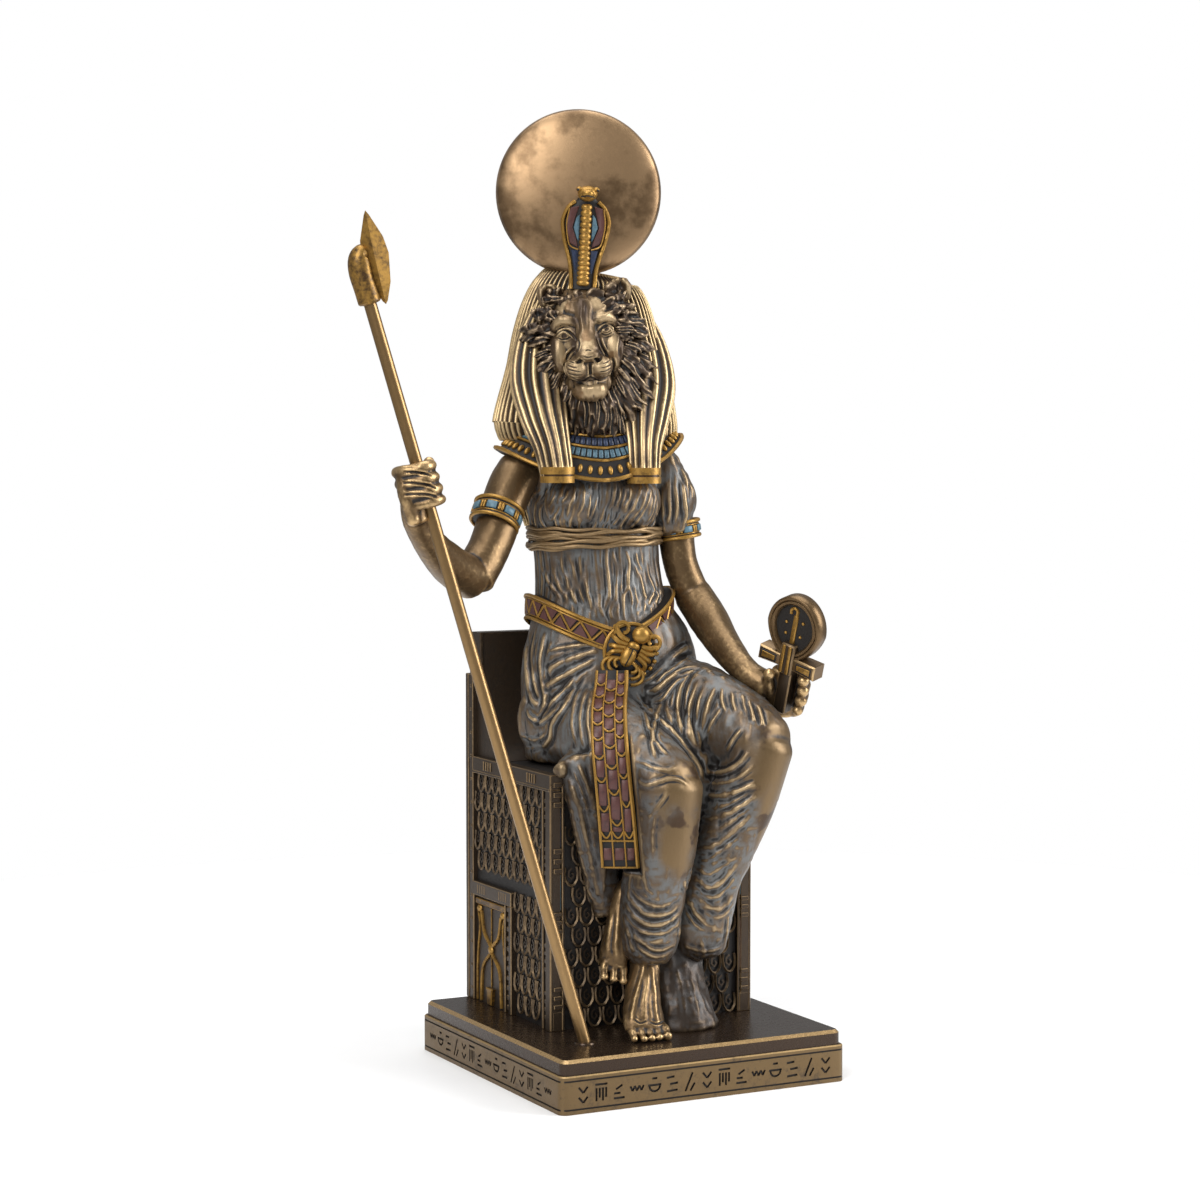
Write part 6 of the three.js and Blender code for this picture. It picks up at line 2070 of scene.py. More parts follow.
@dataclass
class Skirt:
    """Hips, thighs and shins under the skirt, with its gathered, hanging and lying folds."""

    voxel: float = 0.42
    rubbed: tuple = (
        ((30.0, -36.0, 92.0), (13.0, 12.0, 15.0)), ((0.0, -33.0, 86.0), (13.0, 12.0, 11.0)),
        ((-3.0, -36.0, 72.0), (8.5, 10.0, 14.0)), ((28.0, -36.0, 78.0), (5.5, 10.0, 22.0)),
    )
    folds: tuple = (
        strokes(
            1.2, 0.85,
            ((531, 622), (527, 640), (526, 660), (527, 680), (531, 697), (538, 706)),
            ((547, 629), (543, 645), (541, 662), (543, 685), (545, 700), (542, 708)),
            ((543, 709), (552, 702), (563, 692), (571, 684), (576, 679)),
            ((543, 688), (556, 680), (570, 672), (584, 665), (594, 658)),
            ((545, 673), (560, 663), (580, 656), (597, 650)),
            ((575, 683), (568, 698), (562, 710), (553, 724), (550, 738), (543, 748), (533, 758)),
            ((641, 684), (652, 678), (662, 668), (675, 656), (686, 648), (692, 647)),
            ((645, 693), (658, 688), (672, 676), (684, 668), (700, 666)),
            ((632, 690), (640, 702), (652, 713), (664, 723), (676, 735), (686, 748), (695, 760), (701, 772), (703, 785)),
            ((683, 682), (679, 697), (678, 712), (681, 728), (686, 742)),
            ((700, 678), (693, 694), (689, 712), (690, 730), (697, 750)),
            ((716, 686), (710, 700), (705, 716), (702, 732), (700, 745)),
            ((704, 770), (715, 773), (728, 770), (740, 762), (748, 752)),
            ((703, 793), (715, 796), (732, 793), (748, 787), (757, 784)),
            ((702, 818), (715, 819), (730, 812), (745, 804), (758, 795)),
            ((697, 846), (710, 847), (725, 838), (740, 826), (752, 813)),
            ((693, 874), (700, 882), (709, 887), (719, 884), (729, 874), (737, 862)),
            ((697, 893), (704, 903), (712, 909), (721, 908), (728, 902), (734, 892)),
            ((684, 880), (687, 895), (694, 910), (703, 921), (712, 928), (722, 930)),
            ((626, 888), (631, 900), (640, 910), (650, 915), (664, 915), (674, 910), (682, 902)),
            ((624, 897), (629, 910), (638, 920), (650, 925), (663, 924), (674, 918), (682, 908)),
            ((622, 915), (627, 930), (637, 940), (650, 943), (665, 940)),
            ((565, 772), (573, 790), (580, 812), (586, 835), (591, 860), (596, 885), (600, 905)),
            ((577, 762), (586, 782), (592, 800), (597, 822)),
            ((552, 768), (556, 778), (562, 795), (567, 815), (573, 840), (580, 865), (588, 890), (597, 905)),
        )
        + strokes(
            0.8, 0.42,
            ((538, 625), (533, 645), (532, 665), (535, 685), (540, 700)),
            ((552, 640), (546, 655), (545, 672), (548, 690), (545, 702)),
            ((546, 652), (560, 648), (580, 645), (598, 645)),
            ((590, 668), (580, 678), (574, 690), (568, 702), (560, 712), (552, 722)),
            ((586, 680), (577, 695), (573, 710), (572, 725), (575, 740), (580, 755)),
            ((590, 684), (583, 700), (580, 716), (581, 735), (584, 750)),
            ((593, 690), (589, 705), (588, 722), (590, 740), (592, 760)),
            ((525, 706), (530, 716), (540, 722), (550, 715), (560, 705)),
            ((521, 735), (535, 740), (548, 733)),
            ((522, 748), (533, 748), (545, 745)),
            ((643, 688), (655, 682), (668, 672), (680, 663), (690, 657), (697, 655)),
            ((648, 697), (660, 690), (668, 682), (676, 676), (688, 672), (702, 671)),
            ((652, 703), (662, 700), (668, 692), (674, 684), (684, 676)),
            ((668, 700), (668, 712), (671, 724), (674, 736)),
            ((675, 690), (672, 705), (673, 720), (678, 735)),
            ((692, 680), (686, 695), (684, 710), (685, 725), (690, 742), (696, 755)),
            ((707, 681), (700, 697), (697, 715), (698, 735), (702, 752)),
            ((722, 706), (716, 716), (711, 724), (706, 734), (700, 745)),
            ((722, 688), (722, 700), (726, 712)),
            ((732, 690), (733, 702), (736, 712)),
            ((742, 694), (745, 706), (749, 716)),
            ((742, 728), (735, 737), (730, 745), (726, 752)),
            ((634, 760), (645, 764), (655, 768), (668, 770), (678, 766)),
            ((634, 778), (645, 785), (655, 783), (668, 779), (680, 780), (690, 787)),
            ((668, 790), (664, 798), (658, 806), (652, 814), (648, 822)),
            ((660, 808), (655, 818), (653, 830), (653, 845), (654, 855)),
            ((704, 781), (718, 784), (733, 780), (745, 773), (755, 765)),
            ((703, 806), (716, 808), (732, 803), (745, 795), (756, 789)),
            ((699, 832), (712, 832), (728, 824), (742, 814), (757, 801)),
            ((694, 858), (706, 860), (720, 852), (734, 841), (745, 829)),
            ((692, 864), (700, 871), (710, 874), (720, 868), (732, 860), (742, 848)),
            ((694, 884), (701, 893), (710, 898), (720, 895), (729, 886), (736, 875)),
            ((699, 902), (706, 912), (714, 917), (722, 916), (728, 911), (733, 903)),
            ((683, 900), (688, 915), (697, 926), (708, 931), (716, 931)),
            ((641, 868), (645, 880), (648, 890), (655, 896)),
            ((627, 880), (632, 890), (640, 899), (650, 904), (662, 906), (672, 902), (680, 896)),
            ((622, 905), (628, 920), (638, 930), (650, 934), (664, 934), (675, 927), (682, 917)),
            ((630, 868), (630, 880), (629, 893), (628, 905)),
            ((571, 765), (580, 785), (587, 808), (592, 835), (597, 860), (602, 885)),
            ((590, 770), (593, 790), (597, 810), (600, 830), (603, 850)),
            ((556, 772), (564, 796), (571, 822), (577, 846), (585, 872), (592, 892)),
            ((686, 952), (694, 958), (706, 962), (716, 960)),
            ((676, 965), (680, 985), (684, 1005), (686, 1020)),
            ((690, 975), (694, 992), (698, 1008), (700, 1022)),
            ((702, 995), (706, 1008), (712, 1020)),
        )
        + tuple(
            Stroke(width, -0.9, line, Profile.RIDGE)
            for width, line in (
                (1.7, ((655, 705), (668, 718), (680, 730), (690, 743), (700, 758), (706, 768))),
                (1.3, ((534, 630), (529, 650), (529, 672), (534, 692))),
                (1.2, ((555, 690), (548, 704), (540, 716), (534, 728))),
                (1.0, ((700, 668), (690, 676), (684, 690), (682, 706))),
                (1.2, ((636, 770), (637, 800), (640, 830), (642, 860))),
            )
        )
        + strokes(
            0.9, 0.8,
            ((630, 925), (638, 939), (650, 948), (664, 950), (676, 944)), ((633, 938), (642, 950), (655, 957), (668, 955)),
            ((628, 925), (630, 940), (634, 953)), ((676, 938), (688, 947), (703, 951), (718, 949), (729, 941)),
            ((674, 945), (686, 955), (702, 960), (718, 958)), ((728, 915), (727, 930), (724, 948)),
            ((680, 925), (679, 938), (682, 952)), ((700, 938), (703, 948), (704, 958)),
            ((662, 700), (655, 722), (652, 742), (656, 760)), ((643, 705), (648, 725), (656, 742), (668, 756)),
            ((748, 700), (752, 712), (754, 722)), ((758, 704), (761, 715), (763, 726)),
        )
    )
    hips: tuple = (
        (2.5, 16.0, 90.0, 26.5, 20.0), (2.5, 16.0, 104.0, 27.4, 20.0), (2.2, 16.5, 116.0, 27.6, 19.4),
        (1.2, 17.2, 125.0, 25.8, 18.2), (0.4, 17.7, 132.0, 22.6, 16.0), (0.0, 18.0, 139.0, 20.6, 14.2),
    )
    legs: tuple = (
        ((-11, 20, 104, 16.5, 16), (-8.5, -1, 98, 13.8, 14), (-5, -18, 91, 11.8, 12.2),
         (-1.9, -27.8, 84.8, 10.8, 11)),
        ((-1.8, -26.8, 87, 10.6, 10.5), (-3, -26.2, 70, 9.8, 10.2), (-5, -24, 54, 9.2, 9.4),
         (-5, -22.5, 42, 8.6, 8.4), (-4.6, -22, 38, 7.6, 7.4)),
        ((13, 20, 107, 16, 16), (19, -4, 105.5, 14.4, 14.2), (25, -20, 101, 11.8, 12.4),
         (28.2, -30, 96, 10.2, 10.4)),
        ((28.2, -29, 97.5, 9.6, 10), (23, -26.5, 80, 9.4, 10.6), (15.8, -21.5, 60, 9.2, 10.2),
         (13.0, -19.5, 45, 9.4, 9.4), (12.6, -19.2, 38, 8.4, 8.2)),
    )
    cloths: tuple = (
        ((9.5, -14, 94, 15, 9), (8, -15, 70, 13, 8), (5, -15.5, 50, 12, 7), (4, -15, 39, 10, 6)),
        ((-19, -9, 93, 9, 7), (-18.5, -14, 80, 8.2, 4.4), (-16.5, -14, 62, 6, 3.8), (-14.5, -13, 48, 3.4, 3)),
        ((-29.8, -13.4, 90.6, 2.1, 2.1), (-24, -9, 92.4, 2.6, 2.6), (-18, -4, 94, 3.2, 3.2)),
        ((5.5, -15, 44, 9, 5), (6.2, -17.6, 30, 8.6, 6.0), (6.4, -20, 20, 9.8, 8.4), (6.8, -21, 14, 11.2, 9.8)),
    )

    def build(self, figure: Figure) -> None:
        """Builds the skirt.

        Args:
            figure: The figure that takes it.
        """
        clay = Clay()

        def waist(t: Array, angle: Array) -> Array:
            """Draws the cloth in above the girdle."""
            z = spline(np.array(self.hips), t)[:, 2]
            line = girdle_path(-angle)[0][:, 2]
            return 1 - 0.16 * smooth_step(z - line, 0, 4)

        clay.tube(self.hips, 120, 50, turned(4), waist, tips=0.0)
        for stations in self.legs:
            clay.tube(stations, 60, 50, tips=0.5)
        clay.blob(np.eye(3), (7.5, -6, 98), (15, 17, 10), columns=40, rows=24)
        for stations in self.cloths:
            clay.tube(stations, 48, 40, tips=0.2)
        relief = Relief(clay.fused("skirt", self.voxel))
        relief.smooth(16)
        self.carve(relief, figure)
        relief.write("cavity", relief.cavity(FINE_CAVITY))
        relief.save()
        relief.thin(172000)
        figure.place("skirt", relief.mesh, (figure.palette.cloth,))

    def carve(self, relief: Relief, figure: Figure) -> None:
        """Carves the folds.

        Args:
            relief: The mesh that takes them.
            figure: The figure, for the photograph's view.
        """
        rub_and_highlight = np.zeros(len(relief.points))
        warp, fray = Noise(21), Noise(22)
        for centre, radius in self.rubbed:
            gap = np.linalg.norm((relief.points - centre) / radius, axis=1)
            rub_and_highlight = np.maximum(rub_and_highlight, 1 - smooth_step(gap + 0.3 * warp.at(relief.points, 4.5), 0.5, 1.1))
        x, y, z = relief.points.T
        turn = np.arctan2(18 - y, x - 1.0)
        phase = 26 * turn + 2.4 * warp.at(relief.points, (9, 9, 22))
        hanging = np.abs(np.cos(phase / 2)) ** 0.7 - 0.6
        behind = smooth_step(y, -2, 8) * (1 - smooth_step(z, 122, 128))
        heights = 0.5 * hanging * behind
        heights += 0.28 * warp.at(relief.points, (2.2, 2.2, 9)) * (1 - rub_and_highlight) * (1 - behind)
        heights += 0.09 * fray.at(relief.points, (0.9, 0.9, 4)) * (1 - 0.8 * rub_and_highlight)
        heights += 0.16 * fray.at(relief.points, (3.0, 3.0, 1.1)) * (1 - smooth_step(z, 84, 92)) * (1 - rub_and_highlight)
        cuts = np.zeros(len(heights))
        relief.draw(figure.view, relief.tree(), cuts, self.folds, 0.72, 0.5)
        heights += cuts * (1 - 0.45 * (1 - smooth_step(z, 80, 92)))
        relief.lift(heights)
        relief.smooth(1, 0.35)
        self.seat_sash(relief)
        relief.write("rub_and_highlight", rub_and_highlight)
        # The shade attribute here darkens the dark cloth fall by the feet and the cloth beside the seat.
        low = (1 - smooth_step(z, 34, 44)) * smooth_step(x, -4, 0)
        beside = (1 - smooth_step(x, -12.5, -9)) * (1 - smooth_step(z, 88, 96))
        relief.write("shade", np.clip(low + 0.75 * beside, 0, 1))

    @staticmethod
    def seat_sash(relief: Relief) -> None:
        """Presses the cloth back behind the hanging part of the sash.

        Args:
            relief: The mesh that takes it.
        """
        x, y, z = relief.points.T
        table = np.array(Sash.stations)[::-1]
        middle_x, middle_y, half = (np.interp(z, table[:, 2], table[:, k]) for k in (0, 1, 3))
        across = unit(np.array(Sash.across))
        out = np.array([across[1], -across[0], 0.0])
        side = ((x - middle_x) * across[0] + (y - middle_y) * across[1]) / half
        proud = (x - middle_x) * out[0] + (y - middle_y) * out[1] + 0.5 * Sash.thickness
        share = (1 - smooth_step(np.abs(side), 1.0, 1.22)) * (1 - smooth_step(z, 96, 104))
        relief.points -= (np.clip(proud, 0, 9) * share * (z > table[0, 2] - 1))[:, None] * out


@dataclass
class Feet:
    """The right foot flat on the plinth and the left foot pointing down beside it."""

    voxel: float = 0.3
    right: tuple = (
        (-5.6, -19.6, 42, 4.4, 4.4), (-6.2, -21.4, 33, 4.3, 4.8), (-9, -25.6, 25, 5.4, 4.6),
        (-11.2, -30.6, 19.5, 6.2, 3.4), (-12, -33.2, 17.6, 6, 2.2),
    )
    left: tuple = (
        (0, -16, 60, 6, 5), (-9, -15.6, 54, 4.2, 4.2), (-11.6, -16.2, 46, 3.8, 4.4), (-13.4, -17.4, 39, 4.4, 4.2),
        (-15.4, -18.6, 34, 4.2, 2.6),
    )
    tendons: tuple = strokes(
        1.0, 0.2,
        ((644, 958), (643, 972), (637, 992), (632, 1014), (634, 1026)), ((648, 968), (646, 986), (644, 1004), (645, 1024)),
        ((652, 966), (655, 990), (656, 1008), (658, 1026)), ((655, 958), (662, 982), (667, 1002), (669, 1020)),
        ((612, 905), (610, 925), (607, 945), (609, 958)), ((618, 912), (617, 930), (616, 946), (617, 960)),
    ) + strokes(
        0.4, -0.3,
        ((640, 951), (648, 954), (657, 952)), ((634, 1019), (640, 1023), (647, 1021)), ((650, 1022), (657, 1024), (664, 1021)),
    )

    def build(self, figure: Figure) -> None:
        """Builds the feet.

        Args:
            figure: The figure that takes them.
        """
        right = Clay()
        right.tube(self.right, 40, 40, tips=0.3)
        right.blob(LocalFrame((0, 0, 0), 15).axes(), (-5.6, -17.5, 27), (4.2, 5, 5.5), columns=24, rows=16)
        for i in range(5):
            x = -16.8 + i * 2.5
            size = 1.1 + (0.35 if i == 4 else 0)
            short = 1.2 if i == 0 else 0
            self.toe(right, (x + 0.6, -31.8, 18.2), (x, -36.6 + short, 16.2), size, (1, 0, 0))
        left = Clay()
        left.tube(self.left, 40, 40, (0.8, -0.6, 0), tips=0.3)
        for i in range(3):
            self.toe(
                left, (-17.4 + i * 2.5, -18.2 - i, 35.6 - 0.5 * i), (-18.6 + i * 2.6, -20.2 - i, 31.4 - 0.7 * i),
                1.2, (0.9, -0.4, 0),
            )
        grain = Noise(51)
        for name, clay in (("right_foot", right), ("left_foot", left)):
            relief = Relief(clay.fused(name, self.voxel))
            relief.smooth(5)
            heights = 0.16 * grain.at(relief.points, 2.6) + 0.05 * grain.at(relief.points, 0.9)
            relief.draw(figure.view, relief.tree(), heights, self.tendons)
            relief.lift(heights)
            relief.write("cavity", relief.cavity(FINE_CAVITY) - 0.12)
            relief.save()
            relief.thin(24000)
            figure.place(name, relief.mesh, (figure.palette.skin,))

    def toe(self, clay: Clay, root: Triple, tip: Triple, size: float, across: Triple) -> None:
        """Adds one toe with a knuckle and a round pad.

        Args:
            clay: The clay that takes it.
            root: Where it leaves the foot.
            tip: Where it ends.
            size: Half its width.
            across: The direction across it.
        """
        root, tip = np.array(root, float), np.array(tip, float)
        middle = 0.5 * (root + tip) + np.array([0, 0, 0.5])
        clay.tube(
            [(*root, size), (*middle, 1.05 * size), (*(0.25 * root + 0.75 * tip), 0.85 * size), (*tip, size)],
            16, 18, across, tips=0.8,
        )


@dataclass
class Arms:
    """Both arms with their fists and armlets."""

    voxel: float = 0.36
    right: tuple = (
        (-25, 21, 176.5, 6.8), (-30.5, 18.5, 169.5, 6.8), (-38.6, 13, 155, 6.2), (-46, 9.4, 145.4, 6.4),
        (-46.4, 9.2, 145.2, 6.2), (-55.1, 4, 149.2, 5.9), (-64.9, -4, 155.6, 4.7), (-72.6, -11, 162.4, 3.7),
        (-75, -14.8, 168, 4),
    )
    left: tuple = (
        (16.5, 15.5, 178, 6.0), (21.4, 13.5, 167, 5.8), (24, 12.5, 149, 5.2), (27.4, 11, 138.6, 5.3),
        (27.8, 11.2, 138.4, 5.8), (29, 4, 131.7, 5.9), (29, -6, 124.3, 5.0), (30.2, -17, 117.1, 4.0),
        (34, -22.5, 113.4, 4.2),
    )

    thumbs = {1: (-7.4, -2.4, 6.0), -1: (-5.4, -2.0, 6.4)}
    clefts: tuple = strokes(
        0.5, -0.5,
        ((403, 472), (412, 472), (422, 473), (432, 476)), ((402, 483), (415, 483), (428, 485), (437, 489)),
        ((403, 494.5), (415, 494), (428, 494.5), (437, 497)),
    )

    def fist(
        self, clay: Clay, centre: Triple, rod: Array, palm: Triple, hand: int, wrap: float,
    ) -> None:
        """Adds a hand closed on a rod.

        Args:
            clay: The clay that takes it.
            centre: The place on the rod's axis inside the fist.
            rod: The rod's direction.
            palm: From the rod towards the palm.
            hand: The side that the fingers leave from.
            wrap: The share of the way round the rod that they reach.
        """
        up = unit(np.array(rod, float))
        back = np.array(palm, float)
        back = unit(back - up * (back @ up))
        side = np.cross(up, back) * hand

        def at(a: float, b: float, c: float) -> Array:
            """A place beside, behind and above the fist's middle."""
            return np.array(centre) + a * side + b * back + c * up

        clay.tube(
            [(*at(-0.4, 3.6, -8.4), 2.8, 4.4), (*at(-0.2, 3.8, -1), 3.2, 5.2), (*at(0, 3.4, 6), 2.8, 4.4)],
            32, 24, back, tips=0.3,
        )
        clay.tube(
            [(*at(3.6, 4.6, -7.5), 2.2, 2.8), (*at(4.2, 4.4, 0), 2.5, 3.2), (*at(3.4, 4.4, 5.8), 1.7, 2.4)], 28, 24,
            back, tips=0.8,
        )
        reach = (
            (3.0, 5.6, 0.95), (4.9, 3.2, 1.05), (5.2, 0.4, 0.95), (4.7, -2.2, 1.04), (2.9, -3.9, 0.9),
            (0.4, -4.2, 0.72),
        )
        for i in range(4):
            level = 6.2 - 3.25 * i
            thick = 1.6 if i == 3 else 1.8
            stations = [
                (*at(a - (0 if k else 0.8) + (0.4 if i in (1, 2) else 0), b, level - 0.12 * k), thick * share)
                for k, (a, b, share) in enumerate(reach[: 3 + round(3 * wrap)])
            ]
            clay.tube(stations, 24, 36, up, tips=1.0)
        tip = at(*self.thumbs[hand])
        clay.tube(
            [(*at(-4, 3.2, -2), 2.2), (*at(-5.2, 0.8, 2.0), 1.9), (*(0.55 * at(-5.2, 0.8, 2.0) + 0.45 * tip), 1.35),
             (*tip, 1.75)], 20, 24, back, tips=1.0,
        )

    def armlet(self, figure: Figure, name: str, start: Sequence[float], end: Sequence[float]) -> None:
        """Adds an armlet of light cells between gold rims.

        Args:
            figure: The figure that takes it.
            name: The piece's name.
            start: Its upper middle and radius.
            end: Its lower middle and radius.
        """
        clay = Clay()
        start, end = np.array(start, float), np.array(end, float)
        axis = unit(end[:3] - start[:3])
        across = unit(np.cross(axis, (0, 1, 0)))
        other = np.cross(axis, across)
        length = float(np.linalg.norm(end[:3] - start[:3]))
        clay.tube([start, end], 48, 14, across, tips=0.0, tone=-0.6)

        def ring(share: float, lift: float) -> list[Array]:
            """A closed ring round the armlet."""
            row = start + (end - start) * share
            return [
                row[:3] + (row[3] + lift) * (across * math.cos(t) + other * math.sin(t))
                for t in np.linspace(0, TAU, 49)
            ]

        for share in (0.02, 0.98):
            clay.wire(ring(share, 0.1), 0.6, 8, 1, 1, 0.3)
        for share in (0.24, 0.76):
            clay.wire(ring(share, 0.0), 0.25, 6, 1, 1, 0.2)
        count = 8
        for i in range(count):
            for step, half, finish in ((0.0, 0.27, 3), (0.42, 0.07, 1), (0.58, 0.07, 1)):
                angle = TAU * (i + step) / count
                out = across * math.cos(angle) + other * math.sin(angle)
                row = start + (end - start) * 0.5
                place = plane(row[:3] + out * row[3], np.cross(axis, out), -axis)
                wide = half * TAU * row[3] / count
                clay.box(
                    (-wide, -0.2 * length, -0.6), (wide, 0.2 * length, 0.3), 0.15, finish, 0.25, 0.5, place,
                )
        palette = figure.palette
        finishes = (palette.throne, palette.gold, palette.navy, palette.sky, palette.maroon)
        figure.place(name, clay.mesh(name), finishes, sharp=50)

    def build(self, figure: Figure) -> None:
        """Builds the arms.

        Args:
            figure: The figure that takes them.
        """
        staff = unit(np.array(RIGHT_FIST) - np.array(STAFF_FOOT))
        right, left = Clay(), Clay()
        for clay, stations in ((right, self.right), (left, self.left)):
            clay.tube(stations[:4], 48, 40, (0, 1, 0), tips=0.35)
            clay.tube(stations[4:], 48, 40, (0, 1, 0), tips=0.35)
        self.fist(right, RIGHT_FIST, staff, (-0.85, 0.5, 0), 1, 1.0)
        self.fist(left, LEFT_FIST, np.array(CROSS_UP), (0.5, 0.85, 0.3), -1, 0.4)
        for name, clay in (("right_arm", right), ("left_arm", left)):
            relief = Relief(clay.fused(name, self.voxel))
            relief.smooth(6)
            vein = Noise(41)
            heights = 0.1 * vein.at(relief.points, 3.0) + 0.03 * vein.at(relief.points, 0.8)
            if name == "right_arm":
                relief.draw(figure.view, relief.tree(), heights, self.clefts)
            relief.lift(heights)
            relief.write("cavity", relief.cavity(FINE_CAVITY))
            relief.save()
            relief.thin(46000)
            figure.place(name, relief.mesh, (figure.palette.skin,))
        self.armlet(figure, "right_armlet", (-34.4, 16, 165.4, 7.1), (-37, 14.4, 160.6, 6.9))
        self.armlet(figure, "left_armlet", (23.2, 13.2, 160.4, 6.6), (23.8, 13, 155.8, 6.4))


@dataclass
class LoopedCross:
    """The looped cross in the left fist: a thick rim round a sunk field, short arms and a stem."""

    centre: Triple = (36.9, -34.3, 131.0)
    wide: float = 9.1
    tall: float = 10.0
    rim_width: float = 2.7
    depth: float = 4.6

    def build(self, figure: Figure) -> None:
        """Builds the looped cross.

        Args:
            figure: The figure that takes it.
        """
        clay = Clay()
        up, across = unit(np.array(CROSS_UP)), unit(np.array(CROSS_ACROSS))
        facing = unit(np.cross(across, up))
        place = Matrix.Translation(Vector(self.centre)) @ Matrix(
            [list(across), list(up), list(facing)]
        ).transposed().to_4x4()
        half = self.depth / 2
        section = [
            (0.0, -half + 0.5), (0.5, -half), (self.rim_width - 0.5, -half), (self.rim_width, -half + 0.6),
            (self.rim_width, half - 0.6), (self.rim_width - 0.5, half), (1.55, half), (1.3, half - 0.35),
            (1.05, half), (0.5, half), (0.0, half - 0.5), (0.0, -half + 0.5),
        ]

        def shape(u: Array, v: Array) -> Array:
            """The rim, round the loop and round its section."""
            angle = TAU * u
            step = v * (len(section) - 1)
            inward, out = (np.interp(step, range(len(section)), [s[k] for s in section]) for k in range(2))
            pinch = np.where(np.sin(angle) < 0, 1 + 0.18 * np.sin(angle), 1.0)
            a = (self.wide - inward) * pinch * np.cos(angle)
            b = (self.tall - inward) * np.sin(angle)
            local = np.stack([a, b, out], axis=1)
            return np.array(self.centre) + local @ np.array([across, up, facing])

        clay.skin(shape, 72, len(section) - 1, 0, 0.25)
        oval = [(6.6 * math.cos(t), 7.6 * math.sin(t)) for t in np.linspace(0, TAU, 33)[:-1]]
        clay.prism(oval, -1.2, 1.2, place, 0.0, 1, -0.9)
        for hand in (-1, 1):
            arm = [(0, -12.2), (hand * 9.8, -12.8), (hand * 9.8, -8.4), (0, -8.6)]
            clay.prism(arm if hand > 0 else arm[::-1], -2.6, 2.6, place, 0.45, 0, 0.1)
            for grow, high, finish, tone in ((0.5, 2.75, 1, -0.6), (0.0, 3.0, 3, 0.1)):
                inset = [
                    (hand * (3.9 - grow), -11.3 - grow), (hand * (8.4 + grow), -11.6 - grow),
                    (hand * (8.4 + grow), -9.7 + grow), (hand * (3.9 - grow), -9.9 + grow),
                ]
                clay.prism(inset if hand > 0 else inset[::-1], 2.2, high, place, 0.1, finish, tone, 0.5)
        clay.box((-2.1, -27, -2), (2.1, -6, 2), 0.4, 2, 0.1, 0.8, place)
        clay.box((-2.4, -14.2, -1), (2.4, -4.6, 3.1), 0.5, 2, 0.2, 0.8, place)
        for low, high in ((-1.6, -0.6), (0.5, 1.5)):
            clay.box((low, -13.8, 2.6), (high, -5.0, 3.5), 0.2, 3, 0.1, 0.6, place)
        clay.box((-0.8, -8, -1.3), (0.8, 4.2, 1.7), 0.3, 3, 0.2, 0.6, place)
        hook = [(0.0, 3.8), (0.2, 5.4), (-0.9, 6.2), (-2.0, 5.4), (-1.9, 4.2)]
        clay.wire([place @ Vector((a, b, 1.3)) for a, b in hook], 0.5, 6, 4, 3, 0.3)
        for a, b in ((2.6, 2.6), (-2.6, -2.2), (2.4, -1.8), (-3.0, 1.2)):
            clay.blob(np.eye(3), place @ Vector((a, b, 1.3)), (0.5, 0.5, 0.5), 3, 0.3, 8, 6)
        palette = figure.palette
        figure.place(
            "looped_cross", clay.mesh("looped_cross"), (palette.skin, palette.engraved, palette.throne, palette.gold),
            sharp=45,
        )


